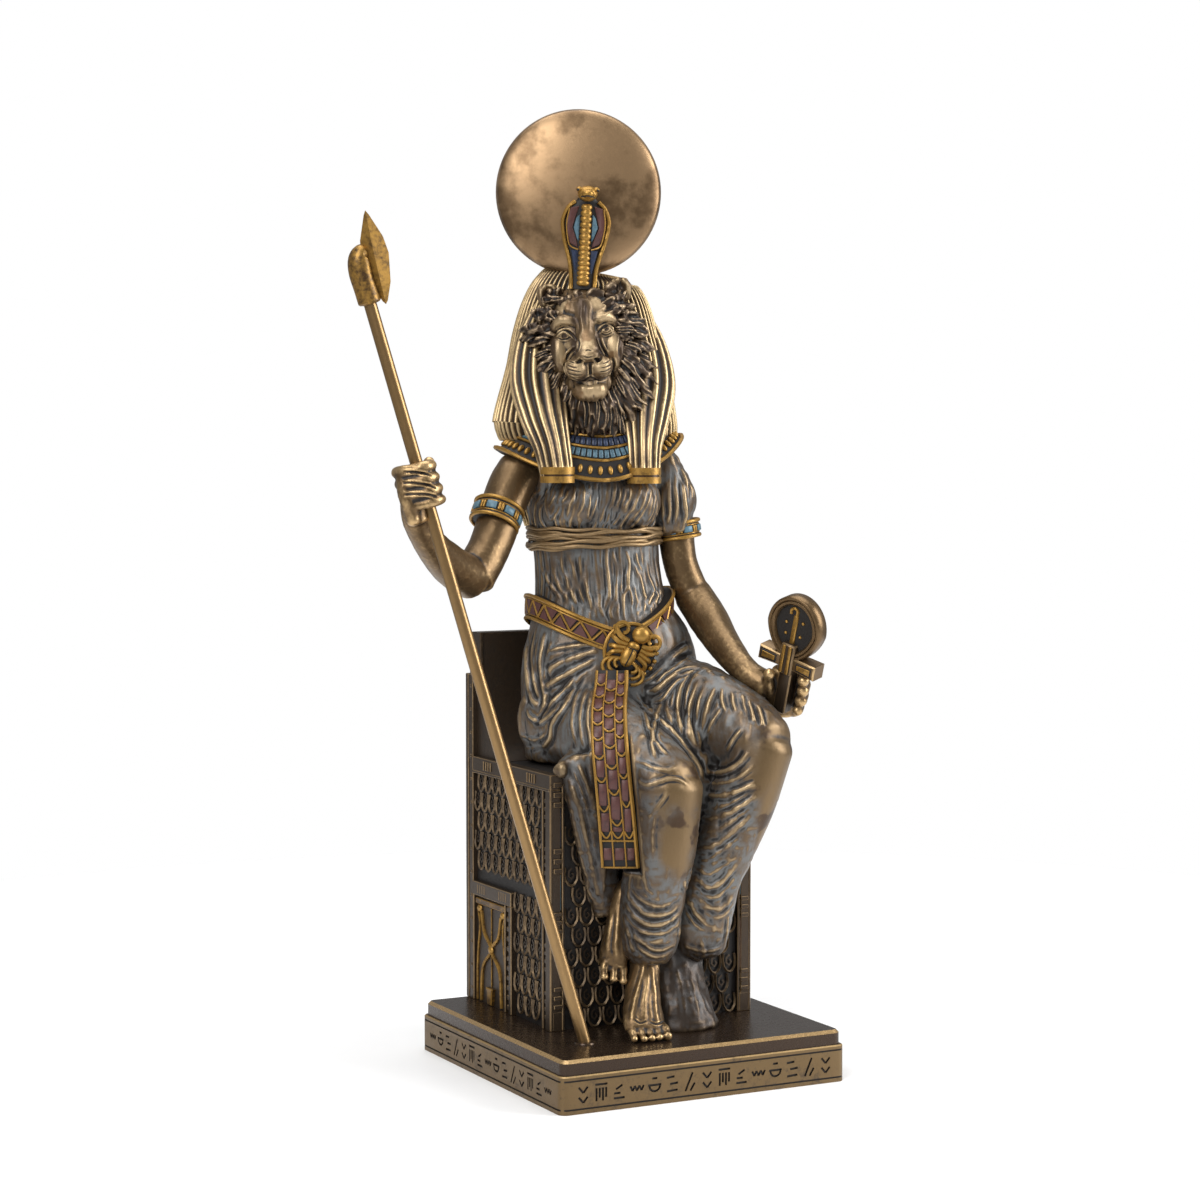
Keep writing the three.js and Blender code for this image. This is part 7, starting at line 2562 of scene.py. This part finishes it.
@dataclass
class Headdress:
    """The striped headdress: a ridged hood, two lappets with banded ends and the fall down the back."""

    stripes: int = 58
    ridge: float = 0.035
    hood: tuple = (
        (-3.2, 19.0, 235.2, 9.0, 6.5), (-3.6, 19.4, 232.4, 14.6, 10.2), (-3.8, 20.0, 226.0, 18.4, 12.0),
        (-3.8, 20.6, 216.0, 21.4, 12.4), (-3.4, 21.0, 206.0, 23.6, 12.4), (-3.2, 21.5, 196.5, 26.0, 12.4),
        (-3.4, 21.5, 189.5, 27.2, 12.8), (-3.6, 21.5, 187.0, 26.4, 12.4), (-3.6, 21.5, 186.2, 24.0, 11.0),
    )
    lappets: tuple = (
        ((-14, 21, 230, 2.4, 3), (-17.6, 20, 221, 5, 4), (-20.5, 18, 212, 7, 4.6), (-22.6, 14.5, 202, 7.8, 4.6),
         (-23.2, 9.4, 192, 6.8, 4.2), (-22.4, 5.4, 183, 5.2, 3.6), (-21.7, 3.4, 174.6, 4.6, 3.2)),
        ((4.6, 17, 230, 2.4, 3), (9.4, 15.4, 221, 5, 4), (11.6, 13, 212, 7, 4.6), (11.2, 9.8, 202, 8.2, 4.6),
         (8.6, 6, 192, 7, 4.2), (6.2, 2.4, 183, 5.2, 3.6), (5.5, 0.8, 174.2, 4.6, 3.2)),
    )
    fall: tuple = (
        (-3, 25.5, 207, 14, 4.6), (-3, 29.6, 193, 18, 4.8), (-3, 32.2, 182, 19.4, 4.8), (-2, 33.0, 168, 17, 3.8),
        (-1.6, 32.6, 160, 15, 2.6),
    )
    lappet_across: Triple = (0.96, -0.26, 0.0)

    @staticmethod
    def ridges(count: int, depth: float) -> Callable[[Array, Array], Array]:
        """Narrow ridges with broad grooves, so many round a tube."""
        return lambda t, angle: 1 + depth * (2 * np.abs(np.cos(count * angle / 2)) ** 1.7 - 1)

    def build(self, figure: Figure) -> None:
        """Builds the headdress.

        Args:
            figure: The figure that takes it.
        """
        clay = Clay()
        clay.tube(
            self.hood, 8 * self.stripes, 90, lambda t: turned(25 - 9 * t), self.ridges(self.stripes, 0.03),
            tips=0.0,
        )
        clay.tube(self.fall, 6 * 44, 40, turned(12), self.ridges(44, 0.03), tips=0.2)
        for rows in self.lappets:
            clay.tube(rows, 8 * 14, 50, self.lappet_across, self.ridges(14, 0.075), tips=0.0)
        relief = Relief(clay.mesh("headdress"))
        relief.write("cavity", relief.cavity(((3, 0.12, 0.9), (10, 0.4, 0.3))))
        relief.thin(96000)
        figure.place("headdress", relief.mesh, (figure.palette.wig,))
        bands = Clay()
        for rows in self.lappets:
            x, y, z, wide, deep = rows[-1]
            for low, high in ((-1.8, 0.1), (0.7, 2.8)):
                bands.tube(
                    [(x, y, z + low, wide + 0.5, deep + 0.7), (x, y, z + high, wide + 0.5, deep + 0.7)], 40, 10,
                    self.lappet_across, tips=0.0, tone=0.2,
                )
            bands.tube(
                [(x, y, z - 1.5, wide + 0.2, deep + 0.4), (x, y, z + 2.4, wide + 0.2, deep + 0.4)], 40, 6,
                self.lappet_across, tips=0.0, tone=-0.8,
            )
        figure.place("lappet_bands", bands.mesh("lappet_bands"), (figure.palette.gold,), sharp=40)


@dataclass
class LionHead:
    """The lion's face with its ears."""

    ears = {-1: -9.4, 1: 11.6}
    voxel: float = 0.22
    shift: float = -1.0
    # Spots of the face, as left, up, half width and half height, that take the rubbed colour: rubbed high points that
    # also carry a painted highlight.
    bright: tuple = (
        (-6.4, 6.0, 3.0, 2.2), (5.8, 7.0, 3.2, 2.6), (-6.8, -2.4, 2.6, 3.8), (7.6, -1.4, 2.4, 4.2), (0, -0.6, 2.0, 4.2),
        (-5.4, 11.2, 2.2, 2.0), (4.4, 11.6, 2.4, 2.2), (0.5, -14, 4.6, 2.6), (-3.4, -7, 2.6, 2.2), (3.6, -7, 2.6, 2.2),
    )
    # Spots of the face, as left, up, half width and half height, that take the shade colour: painted shade beside the
    # nose, between the brows, along the mouth, down the sides of the face and in the ears, and the dark of the eyes.
    dark: tuple = (
        (-3.4, 0.0, 1.1, 4.4), (3.6, -0.8, 1.1, 4.8), (-0.3, 9.8, 2.0, 4.0), (-6.2, 2.4, 0.85, 0.8), (6.2, 3.6, 0.85, 0.8),
        (-10.4, 0, 1.6, 10), (10.2, 0, 1.4, 10),
        (-2.8, 6.6, 1.2, 1.4), (2.8, 7.2, 1.2, 1.4), (0, -10.6, 5.4, 0.8), (11.6, 14.8, 2.2, 3), (-9.4, 14.8, 2.2, 3),
    )
    lines: tuple = (
        strokes(
            0.5, -0.55,
            ((555, 336), (559, 332), (564, 330), (569, 332), (573, 335.5), (577, 340)),
            ((598, 334), (602, 328), (607, 325.5), (611, 327.5), (614, 331.5)),
        )
        + strokes(
            0.35, -0.3,
            ((557, 337.5), (562, 339.5), (567, 339), (572, 336)), ((601, 333.5), (606, 335), (611, 333), (613, 331)),
        )
        + strokes(
            0.6, 0.14,
            ((553, 334), (559, 328), (565, 326), (572, 329), (577, 334)),
            ((598, 331), (603, 325), (608, 323), (614, 325), (617, 330)),
        )
        + strokes(
            0.55, -0.5,
            ((578, 339), (579, 346), (576, 354)), ((599, 337), (602, 346), (607, 355), (611, 363)),
            ((590, 363), (590.5, 370), (590.5, 377)),
            ((570, 376), (576, 379), (584, 379.5), (590.5, 377), (598, 379), (606, 377.5), (612, 372)),
            ((566, 361), (568, 355), (573, 350), (577, 349)), ((565, 362), (565, 369), (568, 376)),
            ((579, 358), (580.5, 361), (585, 362)), ((601, 356), (600, 360), (596, 362)),
            ((612, 357), (614, 364), (612, 372)),
        )
        + strokes(
            0.32, -0.26,
            ((567, 365), (572, 367), (578, 368)), ((567, 369), (574, 371), (582, 371.5)),
            ((568, 373), (575, 375), (583, 375)), ((602, 364), (607, 362), (611, 359)),
            ((600, 368), (606, 367), (612, 364)), ((599, 372), (606, 371), (612, 368)),
            ((600, 376), (606, 375), (611, 372)), ((569, 361), (573, 362.5), (577, 363)),
            ((585, 351), (588, 350), (592, 351)), ((583, 356), (588, 357.5), (594, 356)),
        )
        + strokes(
            1.0, -0.25,
            ((586, 299), (586, 308), (585, 318), (586, 330)), ((577, 382), (590, 384.5), (604, 381)),
            ((552, 318), (549, 332), (549, 350), (554, 366), (562, 380)), ((617, 312), (621, 328), (620, 346), (616, 364)),
            ((578, 318), (579, 328), (577, 339)), ((597, 318), (597, 328), (600, 337)),
            ((558, 306), (566, 313), (575, 316)), ((614, 303), (606, 311), (597, 315)),
        )
    )

    def build(self, figure: Figure) -> None:
        """Builds the face.

        Args:
            figure: The figure that takes it.
        """
        axes = HEAD.axes()
        order = axes[[0, 2, 1]]
        clay = Clay()

        def lump(a: float, b: float, c: float, wide: float, tall: float, deep: float) -> None:
            """A rounded mass of the face, at a place to the left, front and top."""
            clay.blob(order, HEAD.point(a + self.shift, b, c), (wide, tall, deep), columns=32, rows=22)

        def bar(*stations: tuple, across: Array = axes[0]) -> None:
            """A long mass of the face through local places, each with half a width and half a depth."""
            rows = [(*HEAD.point(a + self.shift, b, c), wide, deep) for a, b, c, wide, deep in stations]
            clay.tube(rows, 32, 24, across, tips=0.6)

        lump(0, -1.0, 1.5, 11.0, 16.0, 10.6)
        lump(0, 3.2, 8.0, 8.4, 6.5, 6.2)
        lump(0, 3.8, -11.5, 7.0, 5.0, 7.2)
        lump(0, 8.7, -14.0, 5.4, 3.3, 4.0)
        lump(0, 9.0, -6.8, 5.6, 4.6, 4.8)
        bar((0, 6.6, 11.5, 3.4, 2.4), (0, 8.4, 7.0, 2.9, 2.4), (0, 10.2, 2.0, 2.6, 2.4), (0, 13.0, -2.6, 3.5, 2.6))
        lump(0, 14.1, -3.9, 3.5, 2.0, 2.2)
        for hand in (-1, 1):
            lump(hand * 3.5, 10.9, -7.5, 3.7, 3.3, 4.2)
            lump(hand * 7.9, 4.4, -2.4, 3.2, 6.2, 4.2)
            lump(hand * 6.1, 7.0, 2.9, 2.5, 1.8, 2.0)
            bar(
                (hand * 1.9, 7.6, 5.0, 1.3, 1.8), (hand * 4.2, 8.2, 6.8, 1.7, 2.2), (hand * 6.8, 7.0, 6.8, 1.6, 2.2),
                (hand * 9.4, 4.4, 4.0, 1.0, 1.8), across=axes[2],
            )
            bar(
                (hand * 9.8, 1.6, 9.0, 1.6, 1.8), (hand * 11.2, 2.4, 2.0, 1.9, 2.0), (hand * 10.6, 2.6, -6.0, 2.0, 2.2),
                (hand * 7.4, 3.6, -13.0, 1.8, 2.0),
            )
            ear = self.ears[hand]
            bar((0.9 * ear, -0.6, 11.0, 2.4, 1.8), (ear, 0.6, 14.6, 3.6, 2.0), (ear, 0.6, 17.6, 2.7, 1.2))
        relief = Relief(clay.fused("lion_face", self.voxel))
        relief.smooth(12)
        self.carve(relief, figure)
        relief.write("cavity", relief.cavity(((2, 0.05, 0.45), (8, 0.16, 0.5), (30, 0.6, 0.3))))
        relief.save()
        relief.thin(100000)
        figure.place("lion_face", relief.mesh, (figure.palette.face,))

    def carve(self, relief: Relief, figure: Figure) -> None:
        """Carves the eyes, nostrils, mouth and fur.

        Args:
            relief: The mesh that takes them.
            figure: The figure, for the photograph's view.
        """
        local = HEAD.local(relief.points) - np.array([self.shift, 0, 0])
        heights = np.zeros(len(local))
        front = local[:, 1] > 4
        for hand in (-1, 1):
            gap = np.hypot((local[:, 0] - self.ears[hand]) / 2.5, (local[:, 2] - 14.8) / 3.3)
            heights -= 1.8 * (1 - smooth_step(gap, 0.5, 1.0)) * (local[:, 1] > 0.8)
            gap = np.hypot((local[:, 0] - hand * 2.6) / 1.2, (local[:, 2] + 5.4) / 0.7)
            heights -= 0.9 * (1 - smooth_step(gap, 0.4, 1.1)) * front
            gap = np.hypot((local[:, 0] - hand * 6.2) / 0.9, (local[:, 2] - 3.0 - 0.6 * hand) / 0.9)
            heights -= 0.4 * (1 - smooth_step(gap, 0.6, 1.1)) * front
        fur = Noise(31)
        edge = smooth_step(np.hypot(local[:, 0] / 11.0, (local[:, 2] - 0.5) / 16.0), 0.62, 0.95)
        heights += 0.28 * fur.at(local, (0.8, 1.6, 4.2)) * edge + 0.05 * fur.at(local, (0.6, 1, 1.6))
        relief.draw(figure.view, relief.tree(), heights, self.lines)
        relief.lift(heights)
        # Writes the face's spots: rubbed high points with a painted highlight, and painted shade with the dark of the
        # eyes.
        for name, spots in (("rub_and_highlight", self.bright), ("shade", self.dark)):
            values = np.zeros(len(local))
            for a, c, wide, tall in spots:
                gap = np.hypot((local[:, 0] - a) / wide, (local[:, 2] - c) / tall)
                values = np.maximum(values, 1 - smooth_step(gap + 0.25 * fur.at(local, 1.6), 0.5, 1.25))
            relief.write(name, values * (local[:, 1] > 2))


@dataclass
class Mane:
    """The mane: rings of wavy locks that leave the face, and the beard."""

    voxel: float = 0.28

    def build(self, figure: Figure) -> None:
        """Builds the mane.

        Args:
            figure: The figure that takes it.
        """
        axes = HEAD.axes()
        order = axes[[0, 2, 1]]
        clay = Clay()
        clay.blob(order, HEAD.point(-1.2, -3.5, -3.0), (15.6, 20.0, 9.4), columns=60, rows=40)
        draw = np.random.RandomState(11)
        rings = (
            (10.2, 13.2, 4.8, 26), (12.0, 15.2, 3.8, 28), (13.9, 17.2, 2.2, 30), (15.5, 19.0, 0.6, 32),
        )
        for number, (wide, tall, ahead, count) in enumerate(rings):
            for i in range(count):
                angle = TAU * (i + 0.5 * (number % 2)) / count + draw.uniform(-0.06, 0.06)
                self.lock(clay, angle, wide, tall, ahead, draw, number)
        for i in range(-8, 9):
            a = i * 1.25
            curve = 0.045 * a * a
            for layer in range(3):
                sway = draw.uniform(-1.0, 1.0)
                lift = 1.2 * layer
                root = (a * 0.8, 7.6 - curve - lift, -15.6 + curve - 2.6 * layer)
                middle = (a * 0.95 + sway, 7.8 - curve - lift, -19.6 + 1.2 * curve - 2.4 * layer)
                tip = (a * 1.05 - 0.6 * sway, 5.8 - curve - lift, -23.8 + 1.5 * curve - 1.8 * layer)
                self.strand(clay, (root, middle, tip), 1.1)
        relief = Relief(clay.fused("mane", self.voxel))
        relief.smooth(6)
        self.comb(relief)
        relief.write("cavity", relief.cavity(((2, 0.06, 0.6), (8, 0.3, 0.5), (26, 0.9, 0.4))))
        relief.save()
        relief.thin(130000)
        figure.place("mane", relief.mesh, (figure.palette.mane,))

    @staticmethod
    def comb(relief: Relief) -> None:
        """Carves fine waved hairs that leave the face.

        Args:
            relief: The mesh that takes them.
        """
        local = HEAD.local(relief.points)
        across, up = local[:, 0] + 1.2, local[:, 2] + 2.0
        away = np.hypot(across, up)
        turn = np.arctan2(-across, -up)
        sway, hair = Noise(34), Noise(35)
        turn -= 0.03 * across
        turn += 0.08 * sway.at(local, 7.0) + 0.03 * np.sin(away / 1.4 + 4 * sway.at(local, 9.0))
        flow = np.stack([15 * turn, away - local[:, 1], np.zeros(len(turn))], axis=1)
        ridge = 1 - 2.6 * np.abs(hair.at(flow, (1.0, 7.0, 1.0)))
        relief.lift(0.36 * np.maximum(ridge, -1) + 0.14 * hair.at(flow + 40, (0.7, 5.0, 1.0)))

    def strand(self, clay: Clay, path: Sequence[Triple], width: float) -> None:
        """Adds one grooved lock along a path in the head's frame.

        Args:
            clay: The clay that takes it.
            path: The places that it passes.
            width: Half its width.
        """
        shares = np.linspace(0, 1, 6)
        swell = (0.5, 0.95, 1.0, 0.85, 0.6, 0.15)
        places = spline(np.array(path, float), shares)
        stations = [
            (*HEAD.point(*p), width * s, 0.8 * width * s) for p, s in zip(places, swell)
        ]
        clay.tube(
            stations, 12, 16, HEAD.axes()[0], tips=0.3,
            carve=lambda t, angle: 1 + 0.16 * np.cos(3 * angle + 1.0),
        )

    def lock(
        self, clay: Clay, angle: float, wide: float, tall: float, ahead: float, draw: np.random.RandomState,
        ring: int,
    ) -> None:
        """Adds one lock that leaves the face at an angle.

        Args:
            clay: The clay that takes it.
            angle: Its angle round the face, from the left towards the top.
            wide: The ring's half width.
            tall: The ring's half height.
            ahead: How far the ring stands in front.
            draw: The random numbers.
            ring: The ring's number, from the face outwards.
        """
        c, s = math.cos(angle), math.sin(angle)
        if s > 0.93 and ring > 1:
            return
        wide = wide * (0.86 if c > 0 else 0.98)
        reach = 5.4 + 0.3 * ring + draw.uniform(-0.8, 1.0)
        drop = 2.0 + 2.8 * max(0.0, -s) + 0.5 * ring
        wave = draw.uniform(0.2, 1.5) * (1 if c > 0 else -1)
        root = (wide * c, ahead + 0.8, tall * s - 2.4)
        middle = (
            (wide + 0.55 * reach) * c + wave * s, ahead + 0.9, (tall + 0.55 * reach) * s - 2.4 - 0.35 * drop - wave * c,
        )
        tip = ((wide + reach) * c, ahead - 1.8, (tall + reach) * s - 2.4 - drop)
        quarter = tuple(0.5 * (a + b) - 0.5 * wave * k for a, b, k in zip(root, middle, (s, 0, -c)))
        self.strand(clay, (root, quarter, middle, tip), 1.35 + 0.08 * ring)


@dataclass
class Cobra:
    """The rearing cobra before the disc, with painted cells on its hood."""

    hood: tuple = (
        (-4.0, 3.4), (1.2, 3.7), (4.7, 4.4), (7.7, 5.3), (10.7, 6.1), (14.2, 6.7), (16.6, 6.6), (19.6, 5.3),
        (21.4, 3.4), (23.0, 2.2),
    )

    def build(self, figure: Figure) -> None:
        """Builds the cobra.

        Args:
            figure: The figure that takes it.
        """
        clay = Clay()
        axes = COBRA_STAND.axes()
        order = axes[[0, 2, 1]]

        def lean(c: float) -> float:
            """How far the hood stands in front at a height."""
            return 0.004 * max(0.0, c) ** 2

        stations = [(*COBRA_STAND.point(0, lean(c), c), wide, 1.5) for c, wide in self.hood]
        clay.tube(stations, 48, 70, axes[0], tips=0.2, material=0, tone=-0.7)
        throat = [(*COBRA_STAND.point(0, 1.3 + lean(c), c), wide, 1.5) for c, wide in ((-3, 1.9), (8, 1.75), (20.5, 1.65))]
        clay.tube(
            throat, 20, 130, axes[0], carve=lambda t, angle: 1 - 0.24 * np.abs(np.cos(15 * math.pi * t)) ** 6,
            tips=0.1, material=1, tone=0.3,
        )
        clay.blob(order, COBRA_STAND.point(0, 3.4, 23.6), (2.9, 2.3, 2.6), 1, 0.3, 26, 18)
        clay.blob(order, COBRA_STAND.point(0, 5.9, 23.2), (1.9, 1.3, 2.0), 1, 0.4, 22, 14)
        clay.wire([COBRA_STAND.point(a, b, 22.3) for a, b in ((-1.9, 6.0), (0, 7.9), (1.9, 6.0))], 0.22, 5, 5, 0, -0.8)
        for hand in (-1, 1):
            clay.blob(order, COBRA_STAND.point(hand * 2.5, 4.3, 24.7), (0.95, 0.8, 0.9), 1, 0.4, 14, 10)
            clay.blob(order, COBRA_STAND.point(hand * 2.9, 5.1, 24.4), (0.45, 0.4, 0.4), 0, -0.8, 10, 8)
            rim = [COBRA_STAND.point(hand * wide, 0.9 + lean(c), c) for c, wide in self.hood[:-1]]
            clay.wire(rim, 0.62, 8, 6, 1, 0.4)
            inner = [(5.0, 19.2), (5.6, 15.0), (5.2, 11.0), (4.3, 8.4), (1.9, 7.4)]
            clay.wire([COBRA_STAND.point(hand * a, 1.75 + lean(c), c) for a, c in inner], 0.22, 6, 6, 1, 0.3)
            leaning = Matrix(((1, 0, 0, 0), (0, 1, 0, 0), (0, 0.11, 1, -1.0), (0, 0, 0, 1)))
            place = COBRA_STAND.plane() @ leaning
            cells = (
                (4, ((2.2, 20.0), (4.6, 19.4), (5.5, 16.4), (5.5, 12.6), (4.4, 9.2), (2.0, 8.0), (2.6, 10.4), (3.9, 13.8), (3.1, 17.0))),
                (3, ((1.9, 17.6), (2.8, 16.6), (3.5, 13.8), (2.5, 10.8), (1.9, 9.8))),
                (2, ((1.9, 7.4), (3.9, 7.2), (3.1, 3.6), (2.5, 0.4), (1.9, 0.4))),
            )
            for finish, outline in cells:
                clay.prism([(hand * a, c) for a, c in outline], 0.5, 2.1, place, 0.15, finish, 0.2, 0.4)
        palette = figure.palette
        finishes = (palette.throne, palette.gold, palette.navy, palette.sky, palette.maroon)
        figure.place("cobra", clay.mesh("cobra"), finishes, sharp=45)


class Studio:
    """A pale floor and soft lights."""

    FLOOR = srgb(244, 244, 244)
    FILL = 0.32
    REACH = 0.42

    def light(self, name: str, place: Triple, target: Triple, size: tuple[float, float], watts: float) -> None:
        """Adds one soft box.

        Args:
            name: The light's name.
            place: Where it hangs, in metres.
            target: What it looks at, in metres.
            size: Its width and height, in metres.
            watts: Its power.
        """
        lamp = bpy.data.lights.new(name, "AREA")
        lamp.shape = "RECTANGLE"
        lamp.size, lamp.size_y = size
        lamp.energy = watts
        holder = bpy.data.objects.new(name, lamp)
        bpy.context.scene.collection.objects.link(holder)
        heading = Vector(target) - Vector(place)
        holder.matrix_world = Matrix.Translation(Vector(place)) @ heading.to_track_quat("-Z", "Y").to_matrix().to_4x4()

    def build(self) -> None:
        """Sets up the floor, the lights and the world."""
        bm = bmesh.new()
        bmesh.ops.create_circle(bm, cap_ends=True, segments=96, radius=self.REACH)
        mesh = bpy.data.meshes.new("floor")
        bm.to_mesh(mesh)
        bm.free()
        shader = Shader("pale_floor")
        tint = shader.mix(self.FLOOR, srgb(236, 236, 236), shader.noise(40.0))
        shader.put(shader.surface.inputs["Base Color"], tint)
        shader.put(shader.surface.inputs["Roughness"], 0.55)
        mesh.materials.append(shader.material)
        floor = bpy.data.objects.new("floor", mesh)
        bpy.context.scene.collection.objects.link(floor)
        middle = (0.0, 0.0, 0.13)
        self.light("key_light", (-0.75, -0.55, 0.75), middle, (0.6, 0.8), 10.0)
        self.light("side_light", (0.8, -0.55, 0.45), middle, (0.5, 0.8), 11.0)
        self.light("top_light", (0.0, 0.1, 1.1), middle, (0.9, 0.9), 9.0)
        world = bpy.data.worlds.new("studio")
        world.use_nodes = True
        background = world.node_tree.nodes["Background"]
        background.inputs["Color"].default_value = (1.0, 1.0, 1.0, 1.0)
        background.inputs["Strength"].default_value = self.FILL
        glow = world.node_tree.nodes.new("ShaderNodeBackground")
        glow.inputs["Color"].default_value = (1.0, 1.0, 1.0, 1.0)
        path = world.node_tree.nodes.new("ShaderNodeLightPath")
        both = world.node_tree.nodes.new("ShaderNodeMixShader")
        world.node_tree.links.new(path.outputs["Is Camera Ray"], both.inputs[0])
        world.node_tree.links.new(background.outputs[0], both.inputs[1])
        world.node_tree.links.new(glow.outputs[0], both.inputs[2])
        world.node_tree.links.new(both.outputs[0], world.node_tree.nodes["World Output"].inputs["Surface"])
        bpy.context.scene.world = world
        bpy.context.scene.view_settings.view_transform = "Standard"


def main() -> None:
    """Builds the figure in the frame."""
    logging.basicConfig(level=logging.INFO, format="%(name)s %(message)s")
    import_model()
    view = PhotoView()
    view.build()
    Studio().build()
    figure = Figure(Palette(), view)
    assemblies = (
        Plinth(), Throne(), Staff(), SunDisc(), Dress(), BustCord(), Collar(), Girdle(), Sash(), Skirt(), Feet(),
        Arms(), LoopedCross(), Headdress(), LionHead(), Mane(), Cobra(),
    )
    for assembly in assemblies:
        assembly.build(figure)


if __name__ == "__main__":
    main()
